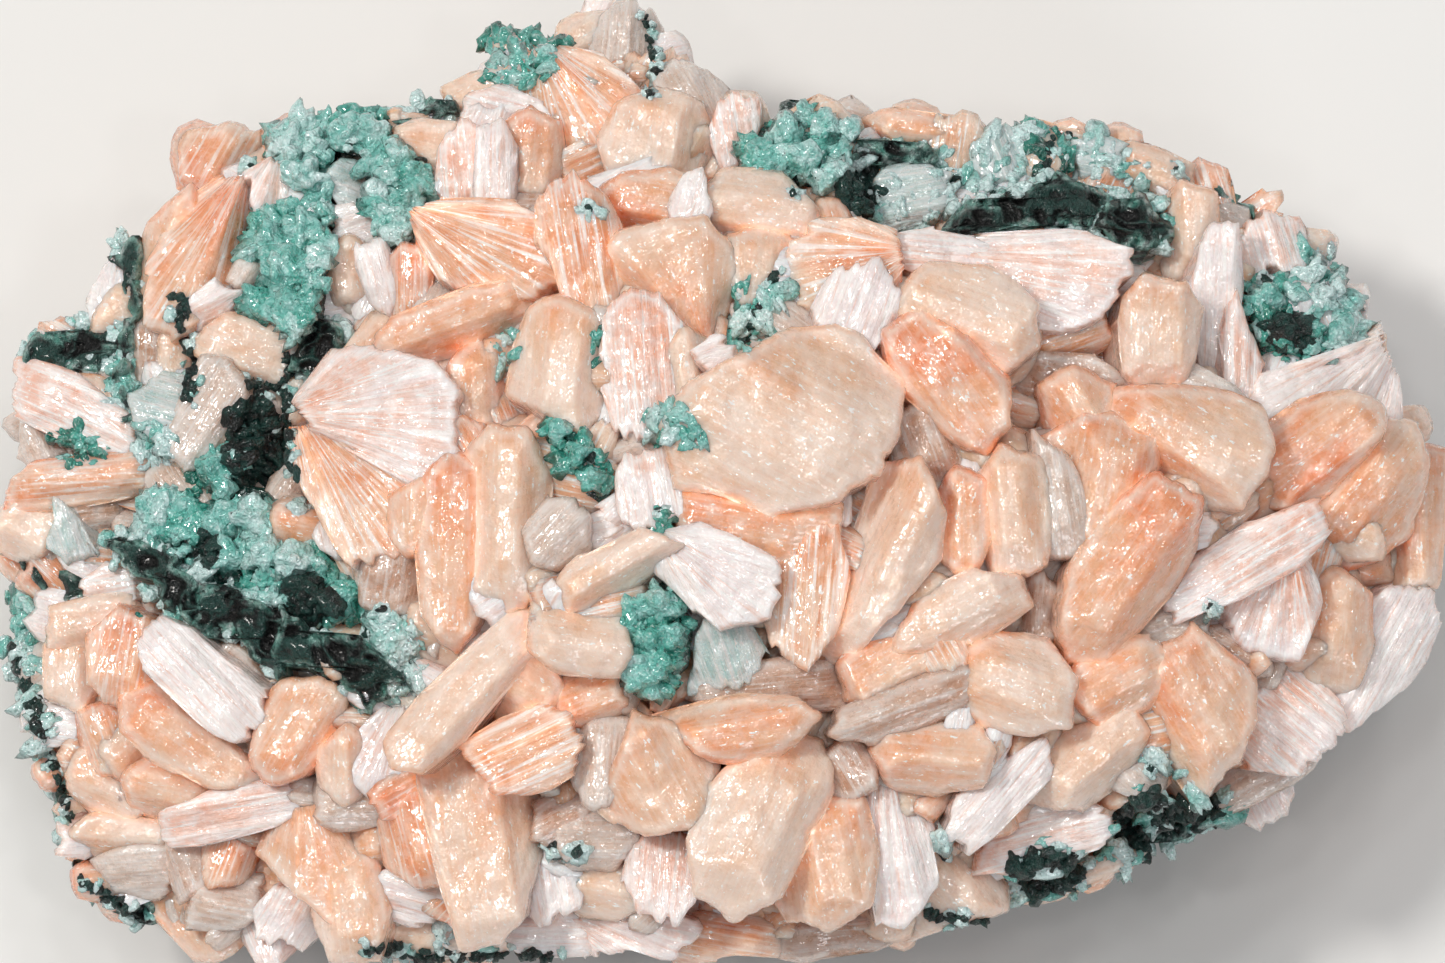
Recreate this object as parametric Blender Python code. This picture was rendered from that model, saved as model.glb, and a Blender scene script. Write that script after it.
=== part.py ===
"""Stilbite cluster on basalt, in metres, +Z up, resting on the sawn underside of its rock.

Places are given on a chart of the specimen: mm to the right of its left edge and mm down from its far edge,
as it is seen from in front and high above, along a line CHART_ELEVATION_DEG above level."""

import math
from typing import NamedTuple

import bmesh
import bpy
from mathutils import Matrix, Vector

MM = 0.001
CHART_ELEVATION_DEG = 75
CHART_CENTRE = (72.2, 48.1)
CHART_HALF = (74, 50)
DOME_RIM = 24
DOME_RISE = 15

ROCK_INSET_FRONT = 1.2
ROCK_INSET_BACK = 5.5
ROCK_FOOT_INSET = 3.0
ROCK_WAIST = 6.5
ROCK_TOP = 10.5
ROCK_TOP_WAVE = 1.2
RIDGE_FOOT = 5.0
RIDGE_LEAN = 0.08

BODY_INSET = 3.4
BODY_SKIRT = 9.0
BODY_BELOW_DOME = 5.5
BODY_RINGS = ((0.78, 0.0), (0.5, 0.6), (0.22, 0.8))

CRYSTAL_ROOT_BELOW_DOME = 9.5
CRYSTAL_ROOT_SCALE = 0.86
CRYSTAL_ROOT_LEAN = 0.12
CRYSTAL_OUTSET = 0.12
CRYSTAL_BEVEL = 1.5
CRYSTAL_TOP_SCALE = 0.72
CRYSTAL_ARCH = 1.3

CRUST_PLATE_DEPTH = 6.0
CRUST_BIG_LUMP = 2.2
GAP = 0.35
CRUMB = 60.0
CRYSTALS_KEPT = 0.268
CRUST_KEPT = 0.5
ROCK_KEPT = 0.5


class Tablet(NamedTuple):
    """One crystal: the corners of its face on the chart, how far its face stands above the dome (mm), the face's
    slope to the right and down the chart, the way its striae run (degrees, 0 to the right and 90 down the chart),
    and how far behind its middle they meet (mm, 0 where they are parallel)."""

    corners: list
    lift: float
    slope: tuple
    striae_deg: float
    spread: float


class Ridge(NamedTuple):
    """Rock that stands up between the crystals: its corners on the chart and its height above the dome (mm)."""

    corners: list
    lift: float


class Crust(NamedTuple):
    """A knobbly crust: plates, each a list of corners, their height above the dome, and lumps (right, down, radius)."""

    name: str
    plates: list
    lift: float
    lumps: list


# The outline of the specimen on the chart, clockwise from the left.
OUTLINE = [
    (1.8, 35.8), (4, 34), (6.5, 32.5), (9, 31.6), (9.5, 30.5), (11.5, 26.5), (11.8, 25), (15, 22.5), (18.5, 19.5),
    (17.8, 16), (18.5, 13.2), (22, 12.5), (27, 12.2), (30.5, 11.9), (34, 10.8), (38.5, 11.2), (42, 10.4), (44.8, 8),
    (48, 5.5), (54.5, 3.8), (57.5, 1.8), (62, 0), (64.5, 0.8), (67, 6), (70, 7.4), (73, 9.8), (79, 10), (83, 10.3),
    (87, 11.9), (94, 12.1), (103, 12.8), (111, 13.7), (119, 16.5), (125.5, 20), (130, 23.5), (135, 28.5), (137.8, 35),
    (139.7, 39.2), (142.5, 45.2), (144.3, 45.3), (144.3, 50), (143, 57.5), (143.5, 62), (141.5, 66), (138, 70),
    (130, 76), (120, 81.8), (113, 85.5), (108, 87.2), (100, 90), (92.5, 92.5), (85, 94.2), (80, 95.5), (74, 94),
    (68, 96.1), (65, 94.3), (59, 94.8), (52, 94.6), (46, 95.5), (40, 96), (35, 95), (28.5, 94), (24, 93.3),
    (14, 91.8), (10.3, 90.5), (7.6, 86.5), (5.8, 79.5), (3.8, 74.5), (1.7, 68), (0.5, 62.5), (1.2, 60), (0.3, 51.5),
    (2, 47), (3.2, 44), (2.8, 40.5), (1.5, 39.5),
]

TABLETS = [
    # Upper left: the knob, the big striated fan and the shaded columns below it.
    Tablet([(17.8, 14.5), (18.7, 13.2), (21, 13), (22.5, 12.5), (25.5, 13.2), (26.2, 16), (25, 19), (21, 19.8), (18.2, 18)], 1, (0.1, -0.1), 300, 0),
    Tablet([(22, 18), (25.5, 18.5), (26, 23), (24.5, 29), (21, 31), (17, 33.5), (14.6, 32.6), (15.2, 27), (17.6, 21.5)], 3, (0.1, 0.0), 114, 11),
    Tablet([(15, 22.5), (18.5, 19.5), (19, 22), (16.8, 28), (14.5, 34), (13.3, 32), (13.6, 28)], 1, (-0.3, 0.0), 105, 0),
    Tablet([(25, 17.5), (27, 16.3), (29, 18), (28.5, 21.5), (26, 21.8)], 2, (0.2, 0.1), 100, 4),
    Tablet([(18.5, 31), (22, 28.3), (24.2, 29), (22.5, 32), (19.5, 33.3)], 2, (0.0, 0.3), 330, 0),
    Tablet([(23.4, 28), (24.4, 26), (25.8, 26.8), (25.2, 28.6)], 2, (0.2, 0.1), 300, 0),
    Tablet([(9.0, 31.6), (9.5, 29), (11.2, 26.5), (12.2, 28), (12.4, 32), (10.5, 33)], 0, (-0.3, 0.0), 100, 0),
    Tablet([(13, 33.5), (15, 31.5), (16.8, 33), (16.5, 39.5), (14.2, 40.5), (12.9, 38)], -1, (-0.1, 0.1), 90, 0),
    Tablet([(16.8, 33), (18, 30.5), (19.3, 33), (19.6, 38), (18.4, 40), (16.9, 39)], -1, (0.2, 0.1), 90, 0),
    Tablet([(1.8, 36.4), (4, 36.8), (8, 38.5), (12.8, 42.4), (13.2, 45.6), (10, 45), (5, 42.6), (1.9, 41)], 1, (-0.1, -0.2), 22, 0),
    Tablet([(2.6, 41.6), (5, 43), (6.2, 45.4), (4, 46.6), (2.2, 45.6)], -1, (-0.2, 0.1), 60, 0),
    Tablet([(13.2, 39.5), (16, 37.5), (19, 38.3), (19.2, 42), (16.5, 43.4), (13.4, 42.6)], 1, (0.0, -0.2), 15, 0),
    Tablet([(21, 36), (23, 36.6), (24.5, 39.5), (20.4, 46.4), (18.6, 46.6), (16.8, 44.5)], 1, (-0.1, 0.2), 125, 0),
    Tablet([(19.6, 34.5), (23, 32.3), (27, 32), (29, 34), (28.6, 37.6), (25, 39), (21.5, 36.2)], 0, (0.1, 0.1), 20, 0),
    Tablet([(24.6, 40), (26.4, 39.3), (27.8, 40.8), (27.4, 43), (25.2, 43.2)], -2, (0.0, 0.3), 90, 0),
    Tablet([(1.6, 48.2), (4, 46.5), (10, 46.4), (16.3, 45.4), (17, 47.2), (14, 49), (8, 50), (1.2, 50.4)], 1, (0.0, 0.3), 355, 0),
    Tablet([(0.4, 51.4), (2.6, 49.6), (5.6, 50.6), (6, 53.4), (3, 55.6), (0.5, 54.6)], 0, (-0.2, 0.2), 30, 0),
    Tablet([(7, 50.4), (12, 49.2), (12.6, 51.6), (9, 52.8), (7, 52.2)], -2, (0.1, 0.3), 355, 0),
    Tablet([(6, 50), (8, 52.6), (9.6, 55.6), (6.6, 56), (5, 54.4)], 0, (0.0, 0.1), 250, 0),
    # Between the arms of the upper left crust, and the top edge to its right.
    Tablet([(32.9, 17), (34.5, 15.9), (36.8, 17), (36.8, 20), (34, 20.6), (32.9, 19.6)], 0, (0.1, 0.1), 20, 0),
    Tablet([(33.2, 21.6), (36, 20.4), (38.2, 22.2), (37, 24.6), (34, 24.6)], -1, (0.0, 0.2), 340, 0),
    Tablet([(36.2, 24.8), (38, 24.2), (39.6, 29.6), (39, 31), (37.4, 30)], 1, (0.2, 0.0), 75, 0),
    Tablet([(33, 25.5), (35, 24.2), (37.4, 26), (37.2, 29), (34, 30.2), (33, 28.8)], -1, (0.0, 0.2), 80, 0),
    Tablet([(39.2, 26), (40.6, 24.8), (42.6, 25), (42.6, 31.2), (41, 32.4), (39.4, 31.4)], 1, (-0.2, 0.1), 90, 0),
    Tablet([(39.4, 13.6), (42, 12.7), (45, 12.8), (46, 14), (44.4, 16), (40.8, 15.2)], 0, (0.1, 0.0), 10, 5),
    # Left of the middle: two fans from one root, and what stands round them.
    Tablet([(30.5, 40.2), (34, 35.6), (38.5, 35.4), (43, 36.2), (45.5, 39), (45.6, 45), (44, 47.8), (42, 47.8), (38, 45), (32, 42.6)], 4, (0.0, -0.2), 0, 9),
    Tablet([(29.8, 43.4), (32, 43), (38, 45.6), (42, 48.4), (44, 50.2), (42, 53.6), (39.5, 55.6), (35.5, 56.2), (33, 52), (30.2, 47)], 3, (-0.1, 0.2), 52, 10),
    Tablet([(40, 50), (42.6, 48.2), (44.4, 50), (44, 54), (41.6, 55), (40, 53.4)], 4, (0.1, 0.1), 90, 0),
    Tablet([(43.4, 48), (45.4, 45.4), (47.8, 47), (48.4, 55), (47.6, 61.5), (45.8, 64), (43.6, 61.6), (43, 54)], 4, (0.1, 0.1), 90, 0),
    Tablet([(36.4, 57), (38, 55), (42, 55), (43.2, 58), (42.4, 61.4), (39, 61.6), (37, 60.2)], 1, (-0.1, 0.2), 100, 0),
    Tablet([(38.4, 34.8), (40, 32.5), (44, 30.8), (48, 29.4), (53, 28.6), (56, 29), (53, 31.8), (49, 34), (44, 36)], 2, (0.0, 0.3), 340, 0),
    Tablet([(45.8, 36.6), (48, 34.4), (49.4, 35), (49.4, 39.4), (50, 42.4), (47, 42.6), (45.6, 40)], 0, (0.1, 0.1), 90, 0),
    Tablet([(44.8, 43.4), (46.4, 42), (48.2, 43), (48, 45.8), (46, 46.8), (44.6, 45.6)], 2, (0.1, 0.1), 60, 0),
    # Lower left: from the rind up to the bright rod and the paired wings.
    Tablet([(8.8, 58), (10.6, 56.8), (12.6, 57.4), (13.4, 59.6), (10.6, 60.4), (8.8, 59.8)], -1, (-0.1, 0.2), 350, 0),
    Tablet([(5.6, 61.4), (9, 60.4), (13.2, 60.2), (13.4, 62.6), (10, 64.6), (5.8, 64)], 0, (-0.1, 0.2), 350, 0),
    Tablet([(9.8, 63.4), (12.4, 61), (15.2, 62.4), (15.6, 67), (14.4, 70.4), (11.4, 70), (9.9, 67.6)], 3, (-0.1, 0.1), 100, 0),
    Tablet([(5.4, 64.6), (7.4, 63), (9.6, 64), (9.8, 68.4), (8.4, 70.4), (5.6, 69.6)], 0, (-0.3, 0.0), 95, 0),
    Tablet([(14.8, 63.8), (16.4, 62), (18.6, 62.8), (26.4, 69.2), (26.6, 71.6), (24.6, 73.2), (22.4, 72.8), (15.6, 66.2)], 4, (0.0, -0.1), 46, 0),
    Tablet([(13, 69.6), (16, 68.6), (20, 72.6), (24.6, 75.4), (26, 77.6), (22, 77.8), (16, 75), (13.4, 72.4)], 3, (0.1, 0.2), 35, 0),
    Tablet([(26.2, 75.6), (27, 71.6), (29, 68.6), (32.4, 68), (34.4, 69.6), (33.8, 73.4), (30.4, 76.6), (27.2, 77.4)], 3, (-0.2, 0.1), 300, 0),
    Tablet([(20.8, 66.2), (22.6, 64.4), (24.4, 65.2), (26.6, 68), (25.6, 68.8), (23, 67.8)], -1, (-0.1, 0.3), 40, 0),
    Tablet([(35.8, 73.4), (38.6, 71), (41.4, 70.6), (42.2, 73.6), (40.4, 77.6), (37.6, 79.2), (35.6, 77)], 2, (-0.1, 0.1), 110, 6),
    Tablet([(33, 75), (35.2, 73), (37, 74.6), (37.2, 78), (35, 79.4), (33, 78)], 3, (0.0, 0.2), 90, 0),
    Tablet([(3.0, 71.8), (5, 70.4), (8, 70.4), (9, 72.4), (7.2, 74.2), (4.0, 74.2)], -1, (-0.1, 0.1), 10, 0),
    Tablet([(8.6, 71), (10.4, 70.2), (13, 71), (14.4, 74), (13, 77), (10, 76.6), (8.8, 74.4)], 1, (-0.2, 0.1), 70, 0),
    Tablet([(7.4, 76.2), (9, 74.8), (13, 77), (15.2, 79.4), (13, 81.2), (9.6, 80.6), (7.8, 78.8)], 0, (-0.2, 0.1), 25, 0),
    Tablet([(13.4, 77.8), (16, 75.8), (21.4, 78.2), (21.8, 80.2), (17.4, 81.4), (14, 80.2)], 2, (0.0, 0.2), 15, 0),
    Tablet([(7.8, 83.4), (9.4, 82), (14, 82), (16.8, 83), (15.6, 85), (10, 85.4)], -1, (-0.1, 0.1), 5, 0),
    Tablet([(10.0, 86.2), (13, 85), (17, 84.8), (18, 87), (16, 89.2), (11.6, 88.6)], -2, (-0.2, 0.3), 355, 0),
    Tablet([(16.8, 81.6), (20.6, 79.8), (25, 78.6), (29.8, 78.4), (30.4, 80.6), (26, 82.4), (21, 83.4), (17.4, 83.6)], 2, (0.0, 0.3), 350, 0),
    Tablet([(16.6, 84.6), (19.4, 83.6), (21, 85), (20.6, 88), (18.6, 89.4), (17.6, 87.6)], 0, (-0.2, 0.2), 70, 0),
    Tablet([(20.8, 84.4), (23.4, 83), (25.6, 85), (24.8, 87.4), (21.6, 88)], 1, (0.1, 0.2), 110, 0),
    Tablet([(20, 89), (23, 87.8), (26, 88), (26.4, 90.8), (23, 92.2), (19.4, 91.8)], 0, (0.0, 0.3), 10, 0),
    Tablet([(26.4, 90), (28.4, 88), (31, 88.6), (32, 92), (30.4, 94.4), (27.6, 94.2), (26.2, 92.4)], 0, (0.1, 0.3), 120, 0),
    Tablet([(27, 85), (28.6, 81.4), (31.4, 79.4), (34.6, 79.8), (37.4, 83), (39, 87.4), (38.4, 91.4), (35, 92.4), (31.6, 89.6)], 2, (0.1, 0.1), 70, 10),
    Tablet([(32.4, 86), (35, 84.4), (37.4, 86), (38.6, 91), (37.4, 95), (34, 94.8), (32.4, 91)], 4, (0.0, 0.1), 84, 0),
    Tablet([(37.8, 79.4), (39.6, 77.2), (42.4, 76.4), (43.2, 79), (41, 80.8), (38.8, 81)], 3, (0.0, 0.2), 330, 0),
    Tablet([(43, 76), (48, 74.5), (52, 77), (54.5, 80), (53.5, 85), (52, 90), (50, 93), (47, 93.6), (45.5, 88), (44, 83)], 6, (0.0, 0.1), 80, 0),
    Tablet([(38.4, 81.6), (41.4, 78.6), (43.6, 77.2), (44.8, 82), (45.8, 87), (42.6, 88), (39.6, 86)], 4, (-0.2, 0.1), 75, 0),
    Tablet([(38.8, 87.4), (41, 85.8), (45.4, 87.6), (45.8, 90.6), (42, 91.4), (39, 90.6)], 2, (0.0, 0.3), 15, 0),
    Tablet([(38.2, 92.2), (40, 91), (45.6, 91.4), (46.6, 94.4), (42, 95.2), (38.4, 95)], 0, (0.0, 0.3), 5, 0),
    Tablet([(39.8, 73.6), (41.2, 71.8), (50.8, 62.2), (53, 61.6), (54.4, 63.4), (44.6, 74.6), (42.6, 76), (40.4, 75.4)], 7, (-0.1, -0.1), 314, 0),
    # Along the top in the middle.
    Tablet([(44.8, 8.8), (47, 7.8), (50, 6.8), (51, 8.4), (49, 10), (45.8, 10.2)], -1, (0.0, -0.1), 340, 0),
    Tablet([(50.4, 7.6), (53, 5.6), (56, 5), (60, 5.8), (63.4, 9), (64, 12.6), (61.4, 15.6), (58, 16.4), (54, 14), (51, 10.6)], 2, (0.0, 0.1), 60, 8),
    Tablet([(59, 3), (60.6, 1.2), (62, 0.2), (63.4, 0.1), (64.6, 0.9), (65.5, 2.6), (66, 5), (65, 7), (61.4, 6.6), (59.4, 5.4)], 0, (0.1, -0.1), 275, 0),
    Tablet([(55.8, 4), (56.4, 2.4), (57.8, 1.7), (60, 1.6), (60, 4.6), (57, 5.4)], 0, (0.0, -0.1), 330, 0),
    Tablet([(60.4, 14), (62.4, 10.6), (66, 9.4), (69.6, 10.6), (70.6, 14), (68.6, 17.6), (64.6, 18.2), (61.4, 16.8)], 3, (0.0, 0.0), 100, 0),
    Tablet([(65.8, 7.4), (67.4, 6.4), (70, 7.2), (72.4, 9.2), (73, 12.6), (72, 15), (69, 14), (66.4, 10.6)], 1, (0.1, 0.0), 60, 0),
    Tablet([(72.2, 10.6), (73, 9.8), (75.2, 10.2), (75.8, 12.6), (74.4, 14.8), (73, 16.4), (71.6, 14)], 1, (0.1, 0.1), 80, 0),
    Tablet([(44.4, 14.6), (46.4, 12.2), (48.2, 13), (48.6, 18), (47.4, 21), (45, 21.2), (44, 18)], 2, (-0.1, 0.1), 85, 0),
    Tablet([(48.2, 13.4), (50, 12.6), (51, 15), (51, 19.6), (49.6, 21.4), (48.2, 20)], 3, (0.1, 0.1), 90, 0),
    Tablet([(50.6, 13), (53, 11.4), (55.4, 12.8), (55.8, 16.6), (54, 19), (51.2, 18.8)], 2, (0.1, 0.1), 95, 0),
    Tablet([(47, 9.8), (50, 9), (54, 10.6), (55.6, 12.2), (53, 12.6), (49, 12), (46.6, 11.4)], 1, (0.0, 0.1), 15, 0),
    Tablet([(50, 19.6), (53.6, 18.8), (54.8, 20), (53.6, 21.6), (50.6, 21.6)], 0, (0.0, 0.2), 0, 0),
    Tablet([(57, 17.8), (59.6, 19.6), (61.6, 22.6), (62.2, 26), (61.4, 30), (60, 33), (57.6, 31.4), (56, 27.4), (54.4, 24), (54.2, 20.6)], 5, (0.1, 0.1), 80, 0),
    Tablet([(60.2, 19.6), (62.6, 18.2), (66.6, 17.9), (69.6, 19), (70, 22), (68, 24.2), (64, 24.6), (61.4, 23)], 3, (0.0, 0.1), 10, 0),
    Tablet([(67.4, 21.4), (68.4, 18.4), (69.6, 17.8), (70.6, 20), (70, 22.6), (68.4, 23)], 5, (0.1, 0.1), 285, 0),
    Tablet([(70.6, 19.4), (73, 17.6), (78, 18.2), (81.2, 21.2), (81.4, 22.4), (80, 23.8), (75, 24.2), (71.6, 23)], 3, (0.0, 0.2), 8, 0),
    Tablet([(73.4, 24.4), (76.4, 23.4), (79.2, 24.6), (79.4, 28), (77.4, 31), (74.6, 30.4), (73.4, 27.6)], 2, (0.1, 0.1), 90, 0),
    Tablet([(69, 34.4), (66, 33.6), (62, 30), (60.4, 27), (62.4, 24), (66, 22.8), (70, 22.4), (72.6, 25), (73, 29), (71.4, 33)], 4, (0.0, 0.1), 245, 7),
    Tablet([(41.8, 21.8), (44.6, 20.6), (49, 20.4), (52.6, 21), (55.6, 24), (56.6, 27.4), (54, 29.6), (49, 30), (44.6, 27.6), (42.4, 24.4)], 4, (0.0, 0.1), 25, 9),
    Tablet([(87, 19.6), (88.4, 17), (93, 16.6), (95.4, 17.6), (95, 20.2), (92, 22), (88, 22.4)], -1, (0.0, 0.1), 350, 0),
    Tablet([(87.4, 12), (89, 11.4), (94, 12.1), (97, 12.6), (96, 13.8), (90, 13.6)], 0, (0.0, -0.1), 5, 0),
    Tablet([(89, 23.6), (86, 22.6), (82, 22.8), (79.4, 24.4), (78.8, 27.4), (80.4, 31), (83.6, 34), (87.4, 32), (89.6, 28)], 3, (-0.1, 0.1), 165, 7),
    Tablet([(81.6, 31), (84, 27.6), (87.6, 26.6), (89.4, 29.6), (88.4, 33.6), (85.4, 36), (82.6, 34.8)], 4, (0.0, 0.1), 110, 0),
    Tablet([(88.4, 24.4), (91, 23.2), (95, 24), (99, 24.6), (99.6, 27), (94, 27.4), (89.6, 26.8)], 3, (0.0, 0.1), 5, 0),
    Tablet([(90, 26), (93, 24.4), (102, 24), (108, 24), (112.4, 25.2), (112.4, 27.6), (110, 31), (106, 33), (103, 32.5), (100, 30), (95, 28)], 4, (-0.1, 0.1), 10, 15),
    Tablet([(90, 29.6), (93, 27.2), (98.6, 27.6), (102.6, 30.8), (102.8, 34.6), (99.4, 37), (93.6, 36), (90.4, 33.4)], 6, (0.0, 0.1), 20, 0),
    Tablet([(88.8, 33.4), (91.6, 31.8), (96, 34.6), (99.6, 38.4), (100, 42.4), (98.2, 44.6), (94.6, 43), (90.6, 38.6)], 5, (0.0, 0.2), 55, 0),
    # The middle: the big tablet and the rods and fans round it.
    Tablet([(79, 34), (83.5, 33.4), (86, 35), (89.5, 38.5), (88.8, 43), (87, 47), (84, 49), (80.5, 50), (77, 51), (74, 49), (68, 48), (66.5, 42), (70, 38.5), (75, 36)], 7, (0.0, 0.1), 28, 0),
    Tablet([(68, 48.4), (74, 49.6), (80.6, 50.4), (83.4, 51), (82.6, 55), (77, 56.6), (71, 55), (68, 52)], 4, (0.0, 0.3), 10, 0),
    Tablet([(76.4, 54), (79, 52.4), (83, 52.6), (84, 57), (83, 62.6), (80.6, 66), (77.6, 64), (76, 59)], 3, (-0.1, 0.1), 95, 0),
    Tablet([(61.8, 48), (63, 45.4), (66.4, 45), (68.4, 47.6), (68.6, 51), (66, 53), (62.6, 52.6)], 4, (0.1, 0.0), 80, 0),
    Tablet([(51.8, 39), (52.6, 33.8), (53.6, 31.4), (56.4, 30.4), (59.6, 32), (60.5, 36), (60, 41), (58, 42.8), (54.6, 40.8)], 5, (-0.1, 0.1), 95, 0),
    Tablet([(61, 31.4), (63, 29.4), (66, 30.4), (68, 33.6), (68, 39), (66, 43), (62.6, 43.4), (60.8, 39)], 5, (0.0, 0.1), 85, 0),
    Tablet([(66.4, 36), (68.6, 33.8), (71.4, 35), (72.2, 38.6), (70.6, 41.6), (67.6, 42.2)], 4, (0.1, 0.1), 80, 0),
    Tablet([(70, 35.4), (71.6, 34.4), (73.4, 35.2), (73.6, 37), (71.6, 37.8)], 6, (0.1, 0.1), 340, 0),
    Tablet([(47.4, 46), (49.6, 43.2), (52.4, 43.6), (54.4, 47), (54.2, 54), (53, 59.4), (50.4, 61.2), (48, 58.4), (47.2, 52)], 5, (0.0, 0.1), 92, 0),
    Tablet([(53, 53), (55.6, 50), (57.8, 50.2), (58.8, 52), (58.8, 54.6), (56.4, 56.2), (53.8, 55.6)], 6, (0.0, 0.1), 315, 0),
    Tablet([(56.6, 58.4), (58.6, 56), (62, 55), (64.6, 53.4), (67.2, 54.6), (64.2, 57.4), (60, 60.8), (57.4, 60.6)], 6, (0.0, 0.1), 330, 0),
    Tablet([(66, 56.4), (67, 53.6), (70, 53), (74, 54.4), (77.8, 57), (76.4, 61), (72, 62.2), (69.6, 60.4)], 5, (0.0, 0.2), 35, 8),
    Tablet([(69.6, 63.6), (70.6, 61.8), (74.6, 62), (76.2, 65), (74, 68.4), (69.4, 69)], 2, (0.1, 0.2), 70, 0),
    Tablet([(54, 60.2), (60, 60.8), (62.2, 61.6), (62.4, 65), (61.6, 66.8), (59, 66.8), (55.5, 66), (54, 64)], 6, (0.0, 0.1), 10, 0),
    Tablet([(88, 47), (91.5, 46.5), (93.5, 51), (93, 55), (90, 59), (87, 62), (84, 65.5), (82.5, 65.5), (83, 62), (85, 56)], 5, (-0.1, 0.1), 115, 0),
    Tablet([(89, 42), (92, 40.4), (95.6, 43), (96, 46.6), (93, 48.4), (89.6, 46.6)], 2, (0.1, 0.1), 70, 0),
    Tablet([(83.4, 72.6), (84, 71), (88, 69.6), (93, 67.4), (96.4, 66.8), (96.6, 69), (92, 71.6), (86.6, 73.4)], 5, (0.0, 0.2), 160, 0),
    Tablet([(84.4, 66.4), (87, 63), (90.6, 61.2), (93, 63.4), (92.4, 66.6), (88, 69), (85, 69)], 3, (0.0, 0.1), 330, 0),
    Tablet([(91.6, 63.8), (94, 61.8), (96.4, 63.4), (96.2, 66.4), (93.4, 67)], 4, (0.1, 0.1), 60, 0),
    Tablet([(69.4, 69.2), (74, 66.6), (80, 66), (84.6, 66.8), (86, 69.6), (80, 70.4), (73, 70.6)], 1, (0.0, 0.2), 355, 0),
    # Along the bottom in the middle.
    Tablet([(49, 67.6), (51.6, 65.2), (55, 65.8), (56, 69), (54, 71.6), (50.4, 71)], 3, (0.0, 0.1), 30, 0),
    Tablet([(55.8, 68.4), (59, 66.8), (62, 67.4), (62, 70.6), (59, 72), (56.4, 71.2)], 3, (0.1, 0.1), 340, 0),
    Tablet([(47, 74.5), (50, 72.5), (54, 70.8), (57, 71.5), (58, 74), (57.8, 76.5), (54, 78), (50, 78)], 6, (0.0, 0.1), 335, 0),
    Tablet([(58, 73.6), (60.4, 71.4), (63, 72), (63.6, 76), (62, 79.6), (59.4, 80), (57.8, 77)], 4, (-0.1, 0.1), 95, 0),
    Tablet([(64, 71.5), (71, 74), (71, 79), (70, 81.5), (64, 82), (60.6, 80), (62.5, 76)], 6, (0.2, 0.1), 60, 0),
    Tablet([(66, 71.6), (72, 70.2), (79, 69.8), (80.8, 71.2), (79, 73.3), (75, 75.4), (71.4, 75)], 5, (0.0, 0.2), 350, 0),
    Tablet([(71.6, 78.4), (75, 75.4), (79, 73.4), (81.6, 74.2), (82.6, 78), (80, 83), (77.2, 88.6), (73.4, 90.2), (70, 88), (69.6, 83)], 7, (0.0, 0.1), 115, 0),
    Tablet([(77.4, 82.4), (81, 79.8), (85.6, 79.8), (86.9, 84), (86.2, 89.6), (83, 91.6), (79, 90.6), (76.8, 87)], 6, (0.0, 0.1), 80, 0),
    Tablet([(63.4, 84.6), (66, 82.4), (69.4, 83.4), (69.6, 88), (67.6, 91), (64.4, 90.4), (63.2, 87.6)], 4, (-0.1, 0.1), 95, 0),
    Tablet([(57.6, 87.6), (60.4, 86), (63.4, 86.8), (64, 89.4), (61.4, 90.8), (58.4, 90.2)], 3, (0.0, 0.2), 10, 0),
    Tablet([(56, 83.2), (58.6, 81), (62.4, 81.2), (63.6, 83.6), (61.6, 86), (57.8, 86)], 3, (0.0, 0.2), 0, 0),
    Tablet([(54, 80.4), (57, 79), (59.2, 80), (58, 82.4), (55.4, 84.2), (54, 83)], 3, (0.1, 0.2), 330, 0),
    Tablet([(53, 86.4), (55.6, 85), (58, 86.6), (57.6, 90), (54.6, 91.4), (52.6, 89.6)], 3, (0.0, 0.2), 80, 0),
    Tablet([(50.2, 92.2), (54, 91), (58, 91.2), (58.6, 94.4), (52.6, 94.5)], 1, (0.0, 0.3), 0, 0),
    Tablet([(57.4, 92.2), (60, 90.6), (66, 91), (69.6, 92.2), (67.4, 94.8), (62, 94), (58.8, 94.6)], 1, (0.0, 0.3), 20, 9),
    Tablet([(66.8, 93.6), (69.6, 91.4), (74, 91), (78, 92), (78.4, 94.6), (74, 94.2), (70, 95.4), (67.6, 95.8)], 0, (0.0, 0.3), 10, 0),
    Tablet([(78, 92.6), (83, 92), (87.6, 91.2), (88.4, 93.6), (84, 94.2), (80, 95.4), (78.2, 94.8)], 0, (0.0, 0.3), 355, 0),
    Tablet([(84.2, 78.6), (87, 76.2), (91, 77.6), (93, 82), (92.8, 88), (90.6, 92.4), (87.6, 91.6), (87, 86), (86.4, 81)], 3, (0.1, 0.1), 85, 12),
    Tablet([(82.6, 75.4), (84.6, 73.8), (87, 75), (87, 78), (84.6, 79.4), (82.8, 78)], 3, (0.0, 0.1), 60, 0),
    Tablet([(87.5, 74.5), (88.5, 73), (93, 72.2), (97, 73), (98.5, 75), (97.5, 77.5), (93, 78.5), (89, 77.5)], 6, (0.0, 0.1), 5, 0),
    # Upper right.
    Tablet([(97.2, 14.6), (99, 12.7), (102, 12.8), (102.4, 15), (101, 18), (97.8, 18.6)], 0, (0.0, 0.0), 70, 0),
    Tablet([(107.4, 14.4), (111, 13.8), (113, 14.6), (111.6, 17.4), (108.4, 17)], 0, (0.1, 0.0), 15, 0),
    Tablet([(111.8, 17.4), (113, 14.6), (117, 15.8), (119, 16.6), (118.6, 18.4), (115, 18.6)], 0, (0.1, 0.0), 20, 0),
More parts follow.
